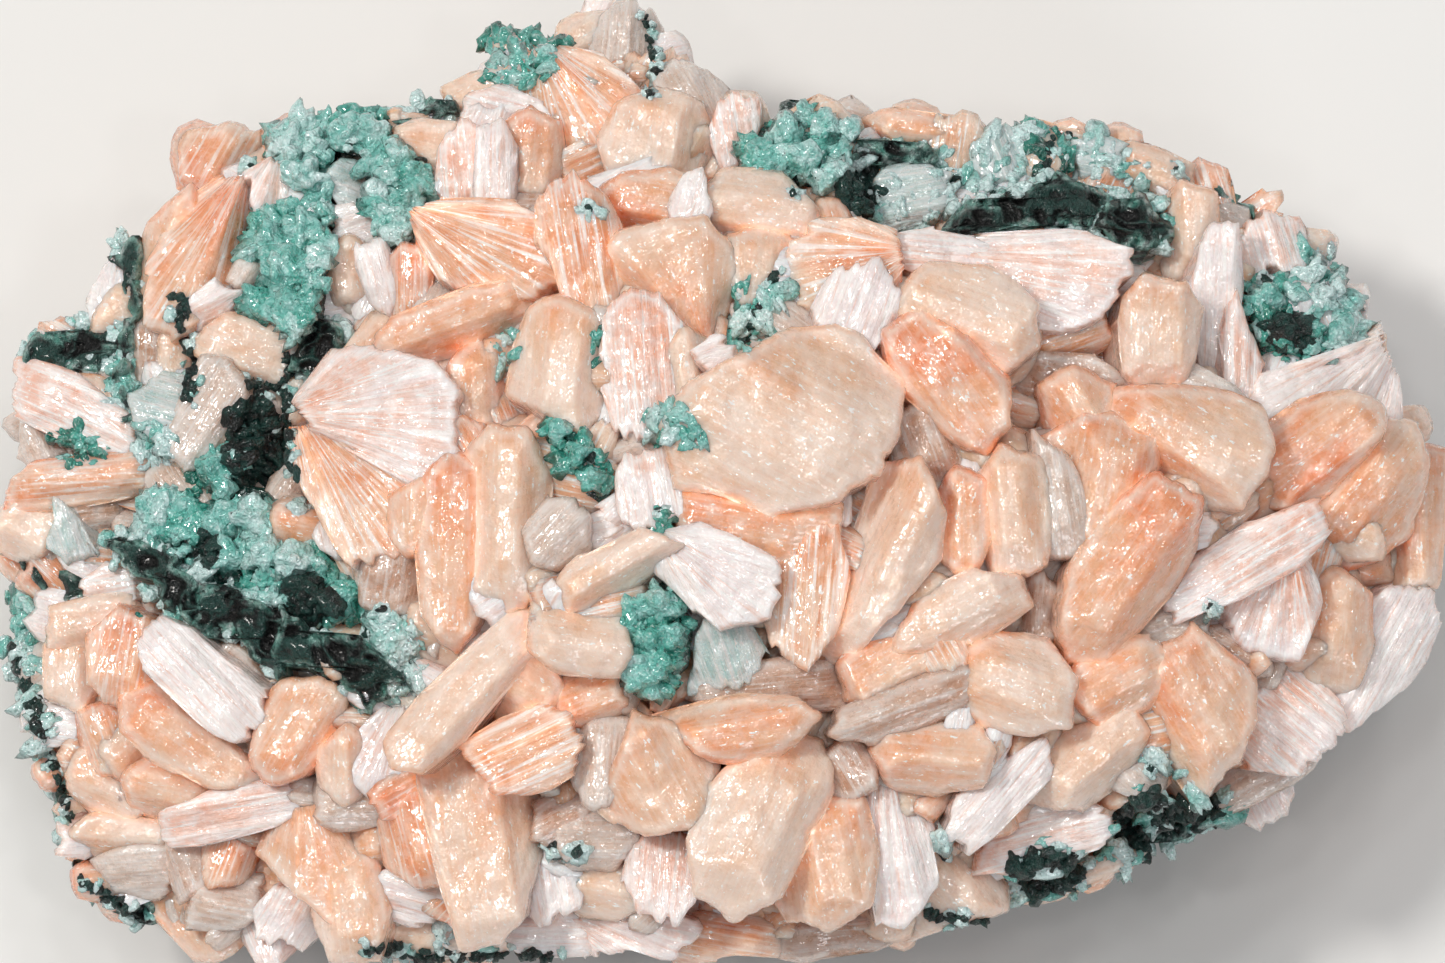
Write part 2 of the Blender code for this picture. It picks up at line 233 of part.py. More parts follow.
    Tablet([(117.4, 20.8), (118.4, 18.8), (121, 20), (121.4, 24), (120, 28), (117.4, 27.6), (116.4, 25)], 1, (0.1, 0.1), 90, 0),
    Tablet([(119.8, 27), (121.6, 22.6), (123.4, 22.8), (123.4, 30), (122.4, 38), (120.8, 39), (119.6, 33)], 1, (0.1, 0.1), 92, 0),
    Tablet([(122.4, 33), (123.4, 30), (124.4, 33.6), (125.6, 36.6), (125, 40), (123.2, 39.4)], 1, (0.2, 0.1), 92, 0),
    Tablet([(123.8, 24), (126.6, 21.4), (129.6, 22), (130.4, 24), (130, 26.6), (126.8, 26.8), (124.4, 27.6)], 0, (0.1, 0.0), 75, 0),
    Tablet([(112.5, 30.4), (114.2, 28.5), (117.5, 29), (119, 31), (118.6, 35.2), (117.4, 38.6), (115, 39.6), (112.6, 37)], 5, (0.0, 0.1), 92, 0),
    Tablet([(102.8, 34.4), (105, 33), (109.6, 31.6), (110.4, 34), (108, 36), (103.4, 36.4)], 1, (0.1, 0.2), 340, 0),
    Tablet([(101, 37.6), (104, 35.8), (109, 36.4), (112.4, 38.4), (111.4, 41), (106, 41.4), (102, 41)], 0, (0.0, 0.2), 10, 0),
    Tablet([(104.4, 39), (107, 37.4), (110.4, 39), (110, 42), (107, 44.4), (104.6, 42.6)], 3, (0.0, 0.1), 60, 0),
    Tablet([(138, 33.6), (135.6, 36.8), (131.4, 37.6), (126.6, 37.8), (125, 40.4), (126.4, 43.4), (131, 41.8), (136, 40.6), (139.6, 42.2), (139.6, 39.2)], 1, (0.2, 0.1), 140, 8),
    # Right.
    Tablet([(110, 40), (115, 39.2), (120, 39.5), (125, 41), (126.2, 44), (125, 48), (123, 50.2), (119, 50), (116, 47), (113, 44)], 6, (0.0, 0.1), 30, 0),
    Tablet([(105, 44), (108, 42.2), (111, 42), (114.5, 44), (115, 46.5), (113, 49), (109, 54), (106, 47)], 5, (0.0, 0.1), 100, 0),
    Tablet([(115, 48), (118.8, 50), (118.5, 54), (116.5, 58), (113, 62), (110, 65), (107, 65.5), (106, 62), (107, 57), (110, 52)], 7, (0.0, 0.1), 125, 0),
    Tablet([(103.5, 44), (106, 46), (108.3, 51), (107.8, 55.5), (105, 55), (104, 49)], 4, (0.1, 0.1), 80, 0),
    Tablet([(98, 48), (100, 45.4), (103.6, 46.6), (104.6, 51), (103.4, 56), (100, 57.2), (98, 53.6)], 5, (0.0, 0.1), 85, 0),
    Tablet([(94, 50), (95.6, 47.4), (97.8, 48.4), (98, 54), (96.4, 57), (94.2, 55.4)], 4, (0.0, 0.1), 90, 0),
    Tablet([(125.5, 47), (127, 43), (131, 40.5), (134.5, 39.8), (137.5, 41), (137.5, 43), (135, 46), (132, 49), (129, 50.5), (126.5, 50)], 5, (0.0, 0.1), 325, 0),
    Tablet([(136.5, 44), (138.5, 42.5), (141, 43), (142, 46), (141.5, 49), (140, 53), (137, 55.5), (134, 56.5), (131, 55), (130.5, 52), (134.5, 47.5)], 4, (0.1, 0.1), 310, 0),
    Tablet([(140.8, 46.4), (142.5, 45.2), (144.2, 45.3), (144.3, 50), (143.5, 55), (142.8, 58.4), (139, 59), (138.4, 56.4), (141, 51)], 0, (0.1, 0.0), 90, 0),
    Tablet([(131, 50.6), (132, 53), (129, 56), (122, 59.6), (117, 61.6), (115.6, 59.4), (119, 56.4), (125, 52.6)], 5, (0.0, 0.1), 150, 0),
    Tablet([(124, 57.6), (130, 55.5), (131, 60), (129, 65.5), (125, 64.5), (122, 62)], 4, (0.0, 0.1), 100, 7),
    Tablet([(130.4, 59), (133, 57.4), (136, 59.4), (136.2, 64), (134.4, 68.4), (131.6, 69), (129.8, 65)], 3, (0.1, 0.1), 95, 0),
    Tablet([(136.4, 60.4), (139, 58.9), (143, 59.5), (143.5, 62), (142, 65.4), (138.4, 69.6), (134, 72.8), (130.4, 71.4), (134.6, 67.6)], 1, (0.2, 0.1), 120, 0),
    Tablet([(101.4, 59), (104, 57.4), (106, 60), (105.4, 63.6), (102.6, 64), (101, 62)], 1, (0.0, 0.1), 95, 0),
    Tablet([(90, 64), (92, 60), (97, 57.5), (101, 58), (102, 60), (96, 64)], 5, (0.0, 0.2), 330, 0),
    Tablet([(112.6, 62.4), (116, 60.8), (120, 61.4), (120, 64), (116, 65.4), (113, 65)], 2, (0.0, 0.1), 340, 0),
    # Lower right.
    Tablet([(96, 65), (100, 63.7), (104, 64.5), (106.5, 68), (106, 71.5), (103, 72.5), (98, 72), (95.5, 69)], 6, (0.0, 0.1), 20, 0),
    Tablet([(106.5, 68), (109, 65), (114, 64), (116, 66), (114, 70), (110, 72)], 5, (0.0, 0.1), 330, 0),
    Tablet([(116, 65), (118.5, 63), (124, 68), (124.3, 71), (123, 75), (119, 79), (116.6, 75), (113.5, 72)], 6, (0.1, 0.1), 60, 0),
    Tablet([(119.4, 63), (122, 62.8), (125.8, 64.6), (126.4, 67), (123.4, 67.2)], 2, (0.1, 0.1), 30, 0),
    Tablet([(124.4, 70), (128, 66.6), (131, 68), (134.2, 72), (132, 74.6), (129, 76.6), (125, 76), (123.6, 73.4)], 2, (0.1, 0.1), 40, 0),
    Tablet([(112.6, 71), (113.6, 72.8), (112.4, 76), (107.6, 80), (102.4, 79.2), (101, 77), (104, 74)], 5, (0.0, 0.1), 140, 0),
    Tablet([(103.6, 74.4), (104.4, 76.6), (100, 81), (96.6, 84), (94.4, 83), (96, 79.4), (100, 76.4)], 5, (0.0, 0.1), 130, 0),
    Tablet([(98.6, 83.6), (102, 80.4), (108, 80.2), (110.8, 81.6), (109.4, 84), (103, 83.8), (100.2, 86.4), (98, 86.4)], 2, (0.0, 0.2), 345, 0),
    Tablet([(92.8, 86), (95, 83.6), (97.6, 87), (100, 88.6), (100, 90), (94.6, 91.4), (91.6, 92.4)], 1, (0.0, 0.3), 50, 0),
    Tablet([(120.8, 80.6), (122.4, 77), (127, 77), (131, 75), (130.4, 76.6), (125, 79.4), (121, 81.4)], -1, (0.1, 0.1), 330, 0),
    Tablet([(100, 89.8), (103, 88.8), (108, 87.4), (110.8, 85.8), (113, 85.4), (111, 86.4), (107.8, 87.6), (103.8, 89.2)], -2, (0.0, 0.2), 340, 0),
]

# Dark rock that reaches the surface: the veins at the left, the long ridge beside the hollow, the band at the
# upper right and the bare patches of the rim.
RIDGES = [
    Ridge([(11.5, 53.5), (15, 54), (17.5, 56), (20, 59), (20, 62.5), (17.5, 61.5), (16, 59.4), (14, 57.5), (12, 56)], 0.5),
    Ridge([(19, 58.6), (26, 60), (29, 61), (29.4, 66.8), (27.5, 67.2), (25.5, 64.5), (24, 63.5), (19, 62.2)], 0.5),
    Ridge([(28.4, 60.8), (31, 63.4), (36, 64), (40, 66), (40.3, 67), (38, 70.4), (36.5, 70.8), (35.5, 69), (33, 67.5), (28.6, 66.8)], 1.0),
    Ridge([(1.8, 35.8), (6.5, 32.5), (10.5, 31.8), (11.8, 34.5), (10, 37.2), (7.5, 37), (4, 36.2)], -0.5),
    Ridge([(11.5, 24.8), (12.6, 23.6), (14, 24.4), (14.2, 27), (13, 32), (12.9, 37), (13.1, 42.4), (12, 42.4), (11.6, 37), (12, 31), (11.6, 27.6)], 0.0),
    Ridge([(29.6, 34), (31.6, 31.6), (34, 32.6), (34.2, 36), (32, 38.8), (29.8, 37.6)], -2.0),
    Ridge([(95, 23), (96, 20.5), (100, 20), (103.5, 19), (104.6, 17.6), (108, 18.5), (111, 20), (110, 22.8), (106, 22.8), (102, 23.2), (98, 23.8)], 1.5),
    Ridge([(110, 19.9), (114, 19.5), (117.2, 21.5), (116.5, 23), (115, 25), (112, 24), (109.4, 23.4)], 1.5),
    Ridge([(111, 81.6), (115, 79), (120.6, 79.4), (121.4, 81), (118, 83.2), (113, 85), (111, 84.4)], -6.0),
    Ridge([(101, 86), (103, 84.6), (107.4, 84.8), (107.6, 86.6), (104, 88.2), (101.4, 87.6)], -6.0),
    Ridge([(0.6, 64.6), (3, 64), (5, 66), (4.6, 70), (3, 72.4), (2.4, 71.3), (1.7, 68)], -6),
    Ridge([(3.9, 74.8), (6, 75.4), (7.4, 78.6), (7, 83.5), (5.9, 79.5), (5, 77.4)], -6),
    Ridge([(7.6, 86.5), (10, 88.4), (15.6, 89.6), (15.4, 92), (11.5, 91.0), (9.5, 89.3)], -6),
    Ridge([(119.6, 17.4), (123, 18.6), (126, 20.4), (126.2, 21.4), (123, 20.8), (120, 19.6)], -2),
    Ridge([(85, 14.8), (89, 14), (94.4, 14.4), (94, 16), (89, 16), (85.4, 16.6)], -1),
    Ridge([(38.6, 11.4), (40.6, 10.8), (44.6, 9.4), (45.4, 11), (43.6, 12.2), (39.4, 12.4)], -1),
    Ridge([(1.4, 56.2), (5, 56.6), (8.4, 57), (8.6, 60), (5.8, 60.2), (3.4, 57.6)], -3),
]

CRUSTS = [
    Crust("green_crust_upper_left", [
        [(27, 13), (29, 12), (32, 12.4), (32.6, 15.4), (32.6, 21), (29, 22), (27.6, 17)],
        [(25.2, 23), (27, 21.4), (32.6, 20.5), (32.8, 26), (32.4, 31), (30, 33), (26.5, 32.4), (25, 28)],
        [(31.6, 12.4), (34, 10.8), (38.3, 11.2), (38.6, 13), (38.4, 15.6), (34.4, 15.4), (32.4, 14.6)],
        [(38, 14.8), (42.4, 15.8), (42, 18.6), (41.4, 24.2), (38.6, 23.6), (37.2, 20), (37.2, 16)],
    ], 1.0, [
        (28.9, 13.9, 1.9), (31.2, 14.4, 1.5), (30.5, 18, 2.2), (28.8, 16.2, 1.5), (27.4, 24, 2.0), (30.4, 23.2, 2.2),
        (28, 27.4, 2.4), (30.8, 27, 1.9), (29, 31, 1.9), (34.6, 13, 1.9), (37, 13.1, 1.6), (39.6, 17, 1.9),
        (40.6, 20, 1.6), (39.2, 21.8, 1.4), (40.2, 23, 1.2),
    ]),
    Crust("green_crust_hollow", [
        [(14, 50), (16, 48.8), (19.4, 49.2), (20.8, 51.6), (20.4, 56), (18, 56), (16, 54.2), (14.2, 52.6)],
        [(20, 52), (22.4, 48.8), (27, 49.2), (30.6, 52.6), (33, 57), (31.4, 62), (29, 60.2), (26, 59.2), (20.6, 58.0)],
        [(32, 57.6), (35, 57.4), (36.6, 61), (40.4, 62.8), (40.4, 65), (36.4, 63.2), (31.6, 62.6)],
        [(39.4, 62.6), (42.4, 62.4), (43.6, 65.4), (42.8, 69.6), (41.2, 69.6), (40.8, 66.4), (40, 65)],
        [(19, 46.8), (21, 44.6), (24.6, 44.2), (25.4, 47), (23.6, 50), (20, 50)],
    ], -1.0, [
        (16.4, 50.6, 1.9), (18.4, 53, 1.6), (18.8, 50.6, 1.3), (22.4, 52, 2.0), (25.6, 51.6, 2.0), (23, 55.6, 1.9),
        (26.6, 55.4, 2.0), (29.6, 56.2, 1.9), (30.8, 59.6, 1.5), (34.4, 60, 1.9), (38, 63.4, 1.3), (41.4, 64.4, 1.9),
        (42, 67.6, 1.4), (21.6, 46.8, 1.9), (23.8, 46, 1.4), (22.6, 48.8, 1.3),
    ]),
    Crust("green_crust_upper_right", [
        [(73.6, 16), (76, 13), (78, 10.4), (80, 10.2), (83, 10.6), (85, 11.8), (86.4, 13), (84.6, 15), (84, 18.2), (82, 20.4), (80, 17.6), (76, 17.2)],
    ], 1.5, [(76, 15.4, 1.5), (78.6, 13.2, 1.9), (80.4, 16.2, 1.9), (82.4, 18, 1.4), (82.6, 12.6, 1.5), (84.8, 12.8, 1.2)]),
    Crust("green_crust_right", [
        [(124, 28.6), (127.4, 27.4), (131, 27.6), (134.6, 29), (136.4, 32), (136.0, 35), (131, 36.6), (126.6, 36), (124.6, 32)],
    ], 0.0, [(126.4, 30, 1.9), (129.4, 29.6, 1.5), (132.4, 30.4, 1.9), (134.4, 32.6, 1.4), (130.8, 33.6, 2.0), (127.6, 33.6, 1.5)]),
    Crust("green_crust_middle", [
        [(63, 61), (65.4, 57.8), (68.4, 58.2), (69, 62), (68.4, 66), (66.4, 68.6), (64, 68)],
    ], 3.0, [(66.4, 60.2, 1.9), (65.4, 63.6, 1.5), (67.4, 63.4, 1.2), (65.8, 66.4, 1.5)]),
    Crust("green_crust_strip", [
        [(54.2, 42.4), (55.6, 41.4), (58.6, 43.8), (60.8, 47.4), (61.4, 50.6), (60, 50), (58.4, 49), (56.6, 46.4)],
    ], 4.0, [(56, 43.2, 1.2), (58, 45.4, 1.3), (59.4, 47.8, 1.3)]),
    Crust("green_crust_edge", [
        [(0.8, 59.4), (2.4, 58.2), (4.4, 59), (5, 62), (3.4, 64), (1, 63)],
    ], -5.0, [(2.6, 60, 1.4), (3.2, 62.4, 1.4)]),
]


def dome(right, down):
    """Height of the dome that the crystals' faces follow, in mm."""
    across = (right - CHART_CENTRE[0]) / CHART_HALF[0]
    along = (down - CHART_CENTRE[1]) / CHART_HALF[1]
    return DOME_RIM + DOME_RISE * max(0.0, 1 - across**2 - along**2)


def place(right, down, height):
    """The point that the chart shows at this place, for a given height, all in mm."""
    elevation = math.radians(CHART_ELEVATION_DEG)
    rise = CHART_CENTRE[1] - down
    return Vector((right - CHART_CENTRE[0], (rise - height * math.cos(elevation)) / math.sin(elevation), height))


def turned_right(corners):
    """The corners in the order that makes the loft's faces point outwards."""
    pairs = zip(corners, corners[1:] + corners[:1])
    area = sum(a[0] * b[1] - b[0] * a[1] for a, b in pairs)
    return corners[::-1] if area > 0 else list(corners)


def middle(corners):
    return (sum(right for right, _ in corners) / len(corners), sum(down for _, down in corners) / len(corners))


def outset(corners, amount):
    """The corners moved outwards by an amount, or inwards where it is negative."""
    corners = turned_right(corners)
    moved = []
    for index, (right, down) in enumerate(corners):
        before = Vector(corners[index - 1])
        here = Vector((right, down))
        after = Vector(corners[(index + 1) % len(corners)])
        normals = [Vector((edge.y, -edge.x)).normalized() for edge in (before - here, here - after)]
        bisector = (normals[0] + normals[1]).normalized()
        reach = amount / max(0.5, bisector.dot(normals[0]))
        moved.append(tuple(here + bisector * reach))
    return moved


def loft(name, rings, summit=None):
    """A closed solid through rings of equal length, lowest first, with flat ends or a summit point."""
    bm = bmesh.new()
    rows = [[bm.verts.new(point * MM) for point in ring] for ring in rings]
    count = len(rows[0])
    for lower, upper in zip(rows, rows[1:]):
        for index in range(count):
            after = (index + 1) % count
            bm.faces.new((lower[index], lower[after], upper[after], upper[index]))
    bm.faces.new(rows[0][::-1])
    if summit is None:
        bm.faces.new(rows[-1])
    else:
        top = bm.verts.new(summit * MM)
        for index in range(count):
            bm.faces.new((rows[-1][index], rows[-1][(index + 1) % count], top))
    bmesh.ops.recalc_face_normals(bm, faces=bm.faces)
    bmesh.ops.triangulate(bm, faces=bm.faces)
    mesh = bpy.data.meshes.new(name)
    bm.to_mesh(mesh)
    bm.free()
    return bpy.data.objects.new(name, mesh)


def drawn_in(ring, scale):
    """The ring scaled about its own middle, in plan."""
    centre = sum(ring, Vector()) / len(ring)
    return [Vector((centre.x + (p.x - centre.x) * scale, centre.y + (p.y - centre.y) * scale, p.z)) for p in ring]


def crystal(number, tablet):
    """A crystal whose face keeps the corners on the chart and whose sides taper down to its root."""
    corners = outset(tablet.corners, CRYSTAL_OUTSET)
    centre = middle(corners)
    angle = math.radians(tablet.striae_deg)
    side = (-math.sin(angle), math.cos(angle))
    offsets = [(right - centre[0]) * side[0] + (down - centre[1]) * side[1] for right, down in corners]
    half_width = max(abs(offset) for offset in offsets)
    top = dome(*centre) + tablet.lift

    def height(right, down):
        across = ((right - centre[0]) * side[0] + (down - centre[1]) * side[1]) / half_width
        tilt = tablet.slope[0] * (right - centre[0]) + tablet.slope[1] * (down - centre[1])
        return top - tilt - CRYSTAL_ARCH * across**2

    shoulder = [place(right, down, height(right, down) - CRYSTAL_BEVEL) for right, down in corners]
    inner = [
        (centre[0] + (right - centre[0]) * CRYSTAL_TOP_SCALE, centre[1] + (down - centre[1]) * CRYSTAL_TOP_SCALE)
        for right, down in corners
    ]
    face = [place(right, down, height(right, down)) for right, down in inner]
    root = drawn_in(shoulder, CRYSTAL_ROOT_SCALE)
    lean = sum(shoulder, Vector()) / len(shoulder) * CRYSTAL_ROOT_LEAN
    foot = dome(*centre) - CRYSTAL_ROOT_BELOW_DOME
    root = [Vector((p.x - lean.x, p.y - lean.y, foot)) for p in root]
    return loft(f"crystal_{number:03d}", [root, shoulder, face], place(*centre, top))


def pillar(name, corners, lift, foot, grow, lean=0.0, rounding=0.8):
    """A prism with a rounded top, from a foot height up to the dome and the lift above it. Its foot leans inwards."""
    corners = outset(corners, grow)
    tops = [dome(right, down) + lift + grow for right, down in corners]
    lower = [place(right, down, top - rounding) for (right, down), top in zip(corners, tops)]
    middle_point = sum(lower, Vector()) / len(lower) * lean
    base = [Vector((point.x - middle_point.x, point.y - middle_point.y, foot - grow)) for point in lower]
    inner = drawn_in([place(right, down, top) for (right, down), top in zip(corners, tops)], 0.8)
    centre = middle(corners)
    return loft(name, [base, lower, inner], place(*centre, dome(*centre) + lift + grow + 0.5))


def rock_top(point):
    return ROCK_TOP + ROCK_TOP_WAVE * math.sin(point.x / 9) * math.cos(point.y / 7)


def inset_ring(height, front, back, grow=0.0):
    """The specimen's outline at a height, drawn in by one amount in front and another behind."""
    ring = []
    for right, down in turned_right(OUTLINE):
        behind = min(1.0, max(0.0, (CHART_CENTRE[1] - down) / 25))
        toward = Vector((CHART_CENTRE[0] - right, CHART_CENTRE[1] - down)).normalized()
        amount = front + (back - front) * behind - grow
        ring.append(place(right + toward.x * amount, down + toward.y * amount, height))
    return ring


def slab(name, grow=0.0):
    """The basalt: sawn flat below, swelling to its waist and broken unevenly on top."""
    foot = inset_ring(0.0, ROCK_INSET_FRONT + ROCK_FOOT_INSET, ROCK_INSET_BACK + ROCK_FOOT_INSET, grow)
    foot = [Vector((point.x, point.y, -grow)) for point in foot]
    waist = inset_ring(ROCK_WAIST, ROCK_INSET_FRONT, ROCK_INSET_BACK, grow)
    rim = inset_ring(ROCK_TOP, ROCK_INSET_FRONT + 0.5, ROCK_INSET_BACK + 0.5, grow)
    rim = [Vector((point.x, point.y, rock_top(point) + grow)) for point in rim]
    return loft(name, [foot, waist, rim], Vector((0, 0, ROCK_TOP + grow)))


def body(name):
    """The mass of intergrown stilbite that the crystals stand on."""
    skirt = inset_ring(BODY_SKIRT, BODY_INSET, BODY_INSET)
    rings = [skirt]
    shelf = inset_ring(DOME_RIM - BODY_BELOW_DOME, BODY_INSET, BODY_INSET)
    rings.append(shelf)
    centre = Vector((0, 0, 0))
    for scale, rise in BODY_RINGS:
        ring = []
        for point in shelf:
            spot = Vector((centre.x + (point.x - centre.x) * scale, centre.y + (point.y - centre.y) * scale, 0))
            radius2 = (spot.x / CHART_HALF[0]) ** 2 + (spot.y / CHART_HALF[1]) ** 2
            spot.z = DOME_RIM + DOME_RISE * max(0.0, 1 - radius2) - BODY_BELOW_DOME + rise
            ring.append(spot)
        rings.append(ring)
    return loft(name, rings, Vector((0, 0, DOME_RIM + DOME_RISE - BODY_BELOW_DOME + 1)))


def lump(name, right, down, radius, lift, grow):
    """One nodule of a crust: a many-sided ball half sunk in its plate."""
    bm = bmesh.new()
    rounds = 2 if radius >= CRUST_BIG_LUMP else 1
    bmesh.ops.create_icosphere(bm, subdivisions=rounds, radius=(radius + grow) * MM)
    centre = place(right, down, dome(right, down) + lift)
    bmesh.ops.translate(bm, verts=bm.verts, vec=centre * MM)
    mesh = bpy.data.meshes.new(name)
    bm.to_mesh(mesh)
    bm.free()
    return bpy.data.objects.new(name, mesh)


def crust_shapes(crust, grow):
    tag = "cut" if grow else "raw"
    foot = [dome(*middle(plate)) + crust.lift - CRUST_PLATE_DEPTH for plate in crust.plates]
    shapes = [
        pillar(f"{crust.name}_{tag}_plate_{index}", plate, crust.lift, foot[index], grow)
        for index, plate in enumerate(crust.plates)
    ]
    shapes += [
        lump(f"{crust.name}_{tag}_lump_{index}", right, down, radius, crust.lift, grow)
        for index, (right, down, radius) in enumerate(crust.lumps)
    ]
    return shapes


def rock_shapes(grow):
    tag = "cut" if grow else "raw"
    shapes = [slab(f"slab_{tag}", grow)]
    for index, ridge in enumerate(RIDGES):
        shapes.append(pillar(f"ridge_{tag}_{index}", ridge.corners, ridge.lift, RIDGE_FOOT, grow, RIDGE_LEAN))
    return shapes


def new_collection(name, shown):
    collection = bpy.data.collections.new(name)
    bpy.context.scene.collection.children.link(collection)
    collection.hide_render = not shown
    return collection


def gather(name, shapes):
    """The shapes as hidden helpers in a collection of their own."""
    collection = new_collection(name, False)
    for shape in shapes:
        shape.hide_render = True
        shape.display_type = "WIRE"
        collection.objects.link(shape)
    return collection


def combined(name, base, operation, collection):
    """A new mesh: the base object with a collection joined to it or cut from it.

    The exact solver leaves edges with three faces where so many crystals cross, and this one doesn't."""
    modifier = base.modifiers.new(operation.lower(), "BOOLEAN")
    modifier.operation = operation
    modifier.operand_type = "COLLECTION"
    modifier.collection = collection
    modifier.solver = "MANIFOLD"
    bpy.context.view_layer.update()
    graph = bpy.context.evaluated_depsgraph_get()
    mesh = bpy.data.meshes.new_from_object(base.evaluated_get(graph))
    mesh.name = name
    base.modifiers.clear()
    return mesh


def thinned(name, mesh, kept):
    """A new mesh with this share of the triangles, the flattest places losing theirs first."""
    holder = bpy.data.objects.new(f"{name}_thinned", mesh)
    holder.hide_render = True
    bpy.data.collections["bench"].objects.link(holder)
    modifier = holder.modifiers.new("thin", "DECIMATE")
    modifier.ratio = kept
    bpy.context.view_layer.update()
    graph = bpy.context.evaluated_depsgraph_get()
    found = bpy.data.meshes.new_from_object(holder.evaluated_get(graph))
    holder.modifiers.clear()
    return found


def islands(bm):
    """The mesh's separate shells, each a list of its faces."""
    left = set(bm.faces)
    found = []
    while left:
        stack = [left.pop()]
        shell = []
        while stack:
            face = stack.pop()
            shell.append(face)
            for edge in face.edges:
                for other in edge.link_faces:
                    if other in left:
                        left.discard(other)
                        stack.append(other)
        found.append(shell)
    return found


def shell_volume(shell):
    total = 0.0
    for face in shell:
        first = face.verts[0].co
        for one, two in zip(face.verts[1:], face.verts[2:]):
            total += first.dot(one.co.cross(two.co)) / 6
    return total / MM**3


def cleaned(mesh):
    """The mesh without the crumbs that its cuts set free."""
    bm = bmesh.new()
    bm.from_mesh(mesh)
    bmesh.ops.triangulate(bm, faces=bm.faces)
    for shell in islands(bm):
        volume = shell_volume(shell)
        if volume < CRUMB:
            print(f"{mesh.name}: dropped {volume:.2f} mm3")
            bmesh.ops.delete(bm, geom=shell, context="FACES")
    bm.to_mesh(mesh)
    bm.free()
    return mesh


def material(name, colour, roughness, transmission=0.0, subsurface=0.0):
    found = bpy.data.materials.new(name)
    found.use_nodes = True
    shader = found.node_tree.nodes["Principled BSDF"]
    shader.inputs["Base Color"].default_value = (*colour, 1)
    shader.inputs["Roughness"].default_value = roughness
    shader.inputs["Transmission Weight"].default_value = transmission
    shader.inputs["Subsurface Weight"].default_value = subsurface
    return found


def finished(name, mesh, collection, look):
    obj = bpy.data.objects.new(name, mesh)
    mesh.materials.clear()
    mesh.materials.append(look)
    collection.objects.link(obj)
    return obj


def centred(objects):
    """Moves every mesh so that the middle of the whole box stands over the origin, in plan."""
    corners = [vertex.co for obj in objects for vertex in obj.data.vertices]
    shift = Vector((0, 0, 0))
    for axis in range(2):
        shift[axis] = -(min(corner[axis] for corner in corners) + max(corner[axis] for corner in corners)) / 2
    for obj in objects:
        obj.data.transform(Matrix.Translation(shift))
    print(f"moved by {shift.x / MM:.3f}, {shift.y / MM:.3f} mm")


def build():
    for obj in list(bpy.data.objects):
        bpy.data.objects.remove(obj)

    rock_raw = rock_shapes(0.0)
    rock_cut = rock_shapes(GAP)
    crusts_raw = {crust.name: crust_shapes(crust, 0.0) for crust in CRUSTS}
    crusts_cut = [shape for crust in CRUSTS for shape in crust_shapes(crust, GAP)]
    crystals = [crystal(number, tablet) for number, tablet in enumerate(TABLETS)]

    cluster = new_collection("stilbite_cluster", True)
    bench = new_collection("bench", False)
    basalt = material("celadonite_basalt", (0.02, 0.05, 0.045), 0.8)
    stilbite = material("stilbite", (0.86, 0.55, 0.36), 0.35, 0.0, 0.3)
    green = material("chalcedony", (0.24, 0.52, 0.42), 0.4)

    def started(shape):
        shape.hide_render = True
        bench.objects.link(shape)
        return shape

    gather("rock_raw", rock_raw[1:])
    gather("rock_cut", rock_cut)
    joined = combined("rock", started(rock_raw[0]), "UNION", bpy.data.collections["rock_raw"])
    rock = cleaned(thinned("matrix", joined, ROCK_KEPT))
    finished("matrix", rock, cluster, basalt)

    for name, shapes in crusts_raw.items():
        gather(f"{name}_shapes", shapes[1:])
        joined = combined(name, started(shapes[0]), "UNION", bpy.data.collections[f"{name}_shapes"])
        whole = started(bpy.data.objects.new(f"{name}_whole", thinned(name, joined, CRUST_KEPT)))
        cut = cleaned(combined(name, whole, "DIFFERENCE", bpy.data.collections["rock_cut"]))
        finished(name, cut, cluster, green)

    gather("crystals", crystals)
    hollows = gather("hollows", crusts_cut)
    for shape in rock_cut:
        hollows.objects.link(shape)
    mass = started(body("body"))
    joined = combined("joined", mass, "UNION", bpy.data.collections["crystals"])
    whole = started(bpy.data.objects.new("joined", thinned("joined", joined, CRYSTALS_KEPT)))
    cut = cleaned(combined("stilbite_crystals", whole, "DIFFERENCE", hollows))
    finished("stilbite_crystals", cut, cluster, stilbite)
    centred(list(cluster.objects))


build()
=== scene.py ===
"""The finished look of the stilbite cluster: crystals, crusts, celadonite and rock, on a pale studio floor.

Places are given on the same chart as in the part's source: mm to the right of the specimen's left edge and mm
down from its far edge, seen from in front and high above. Other sizes are in mm too, except the studio's, which
are in metres."""

import itertools
import math
from typing import NamedTuple

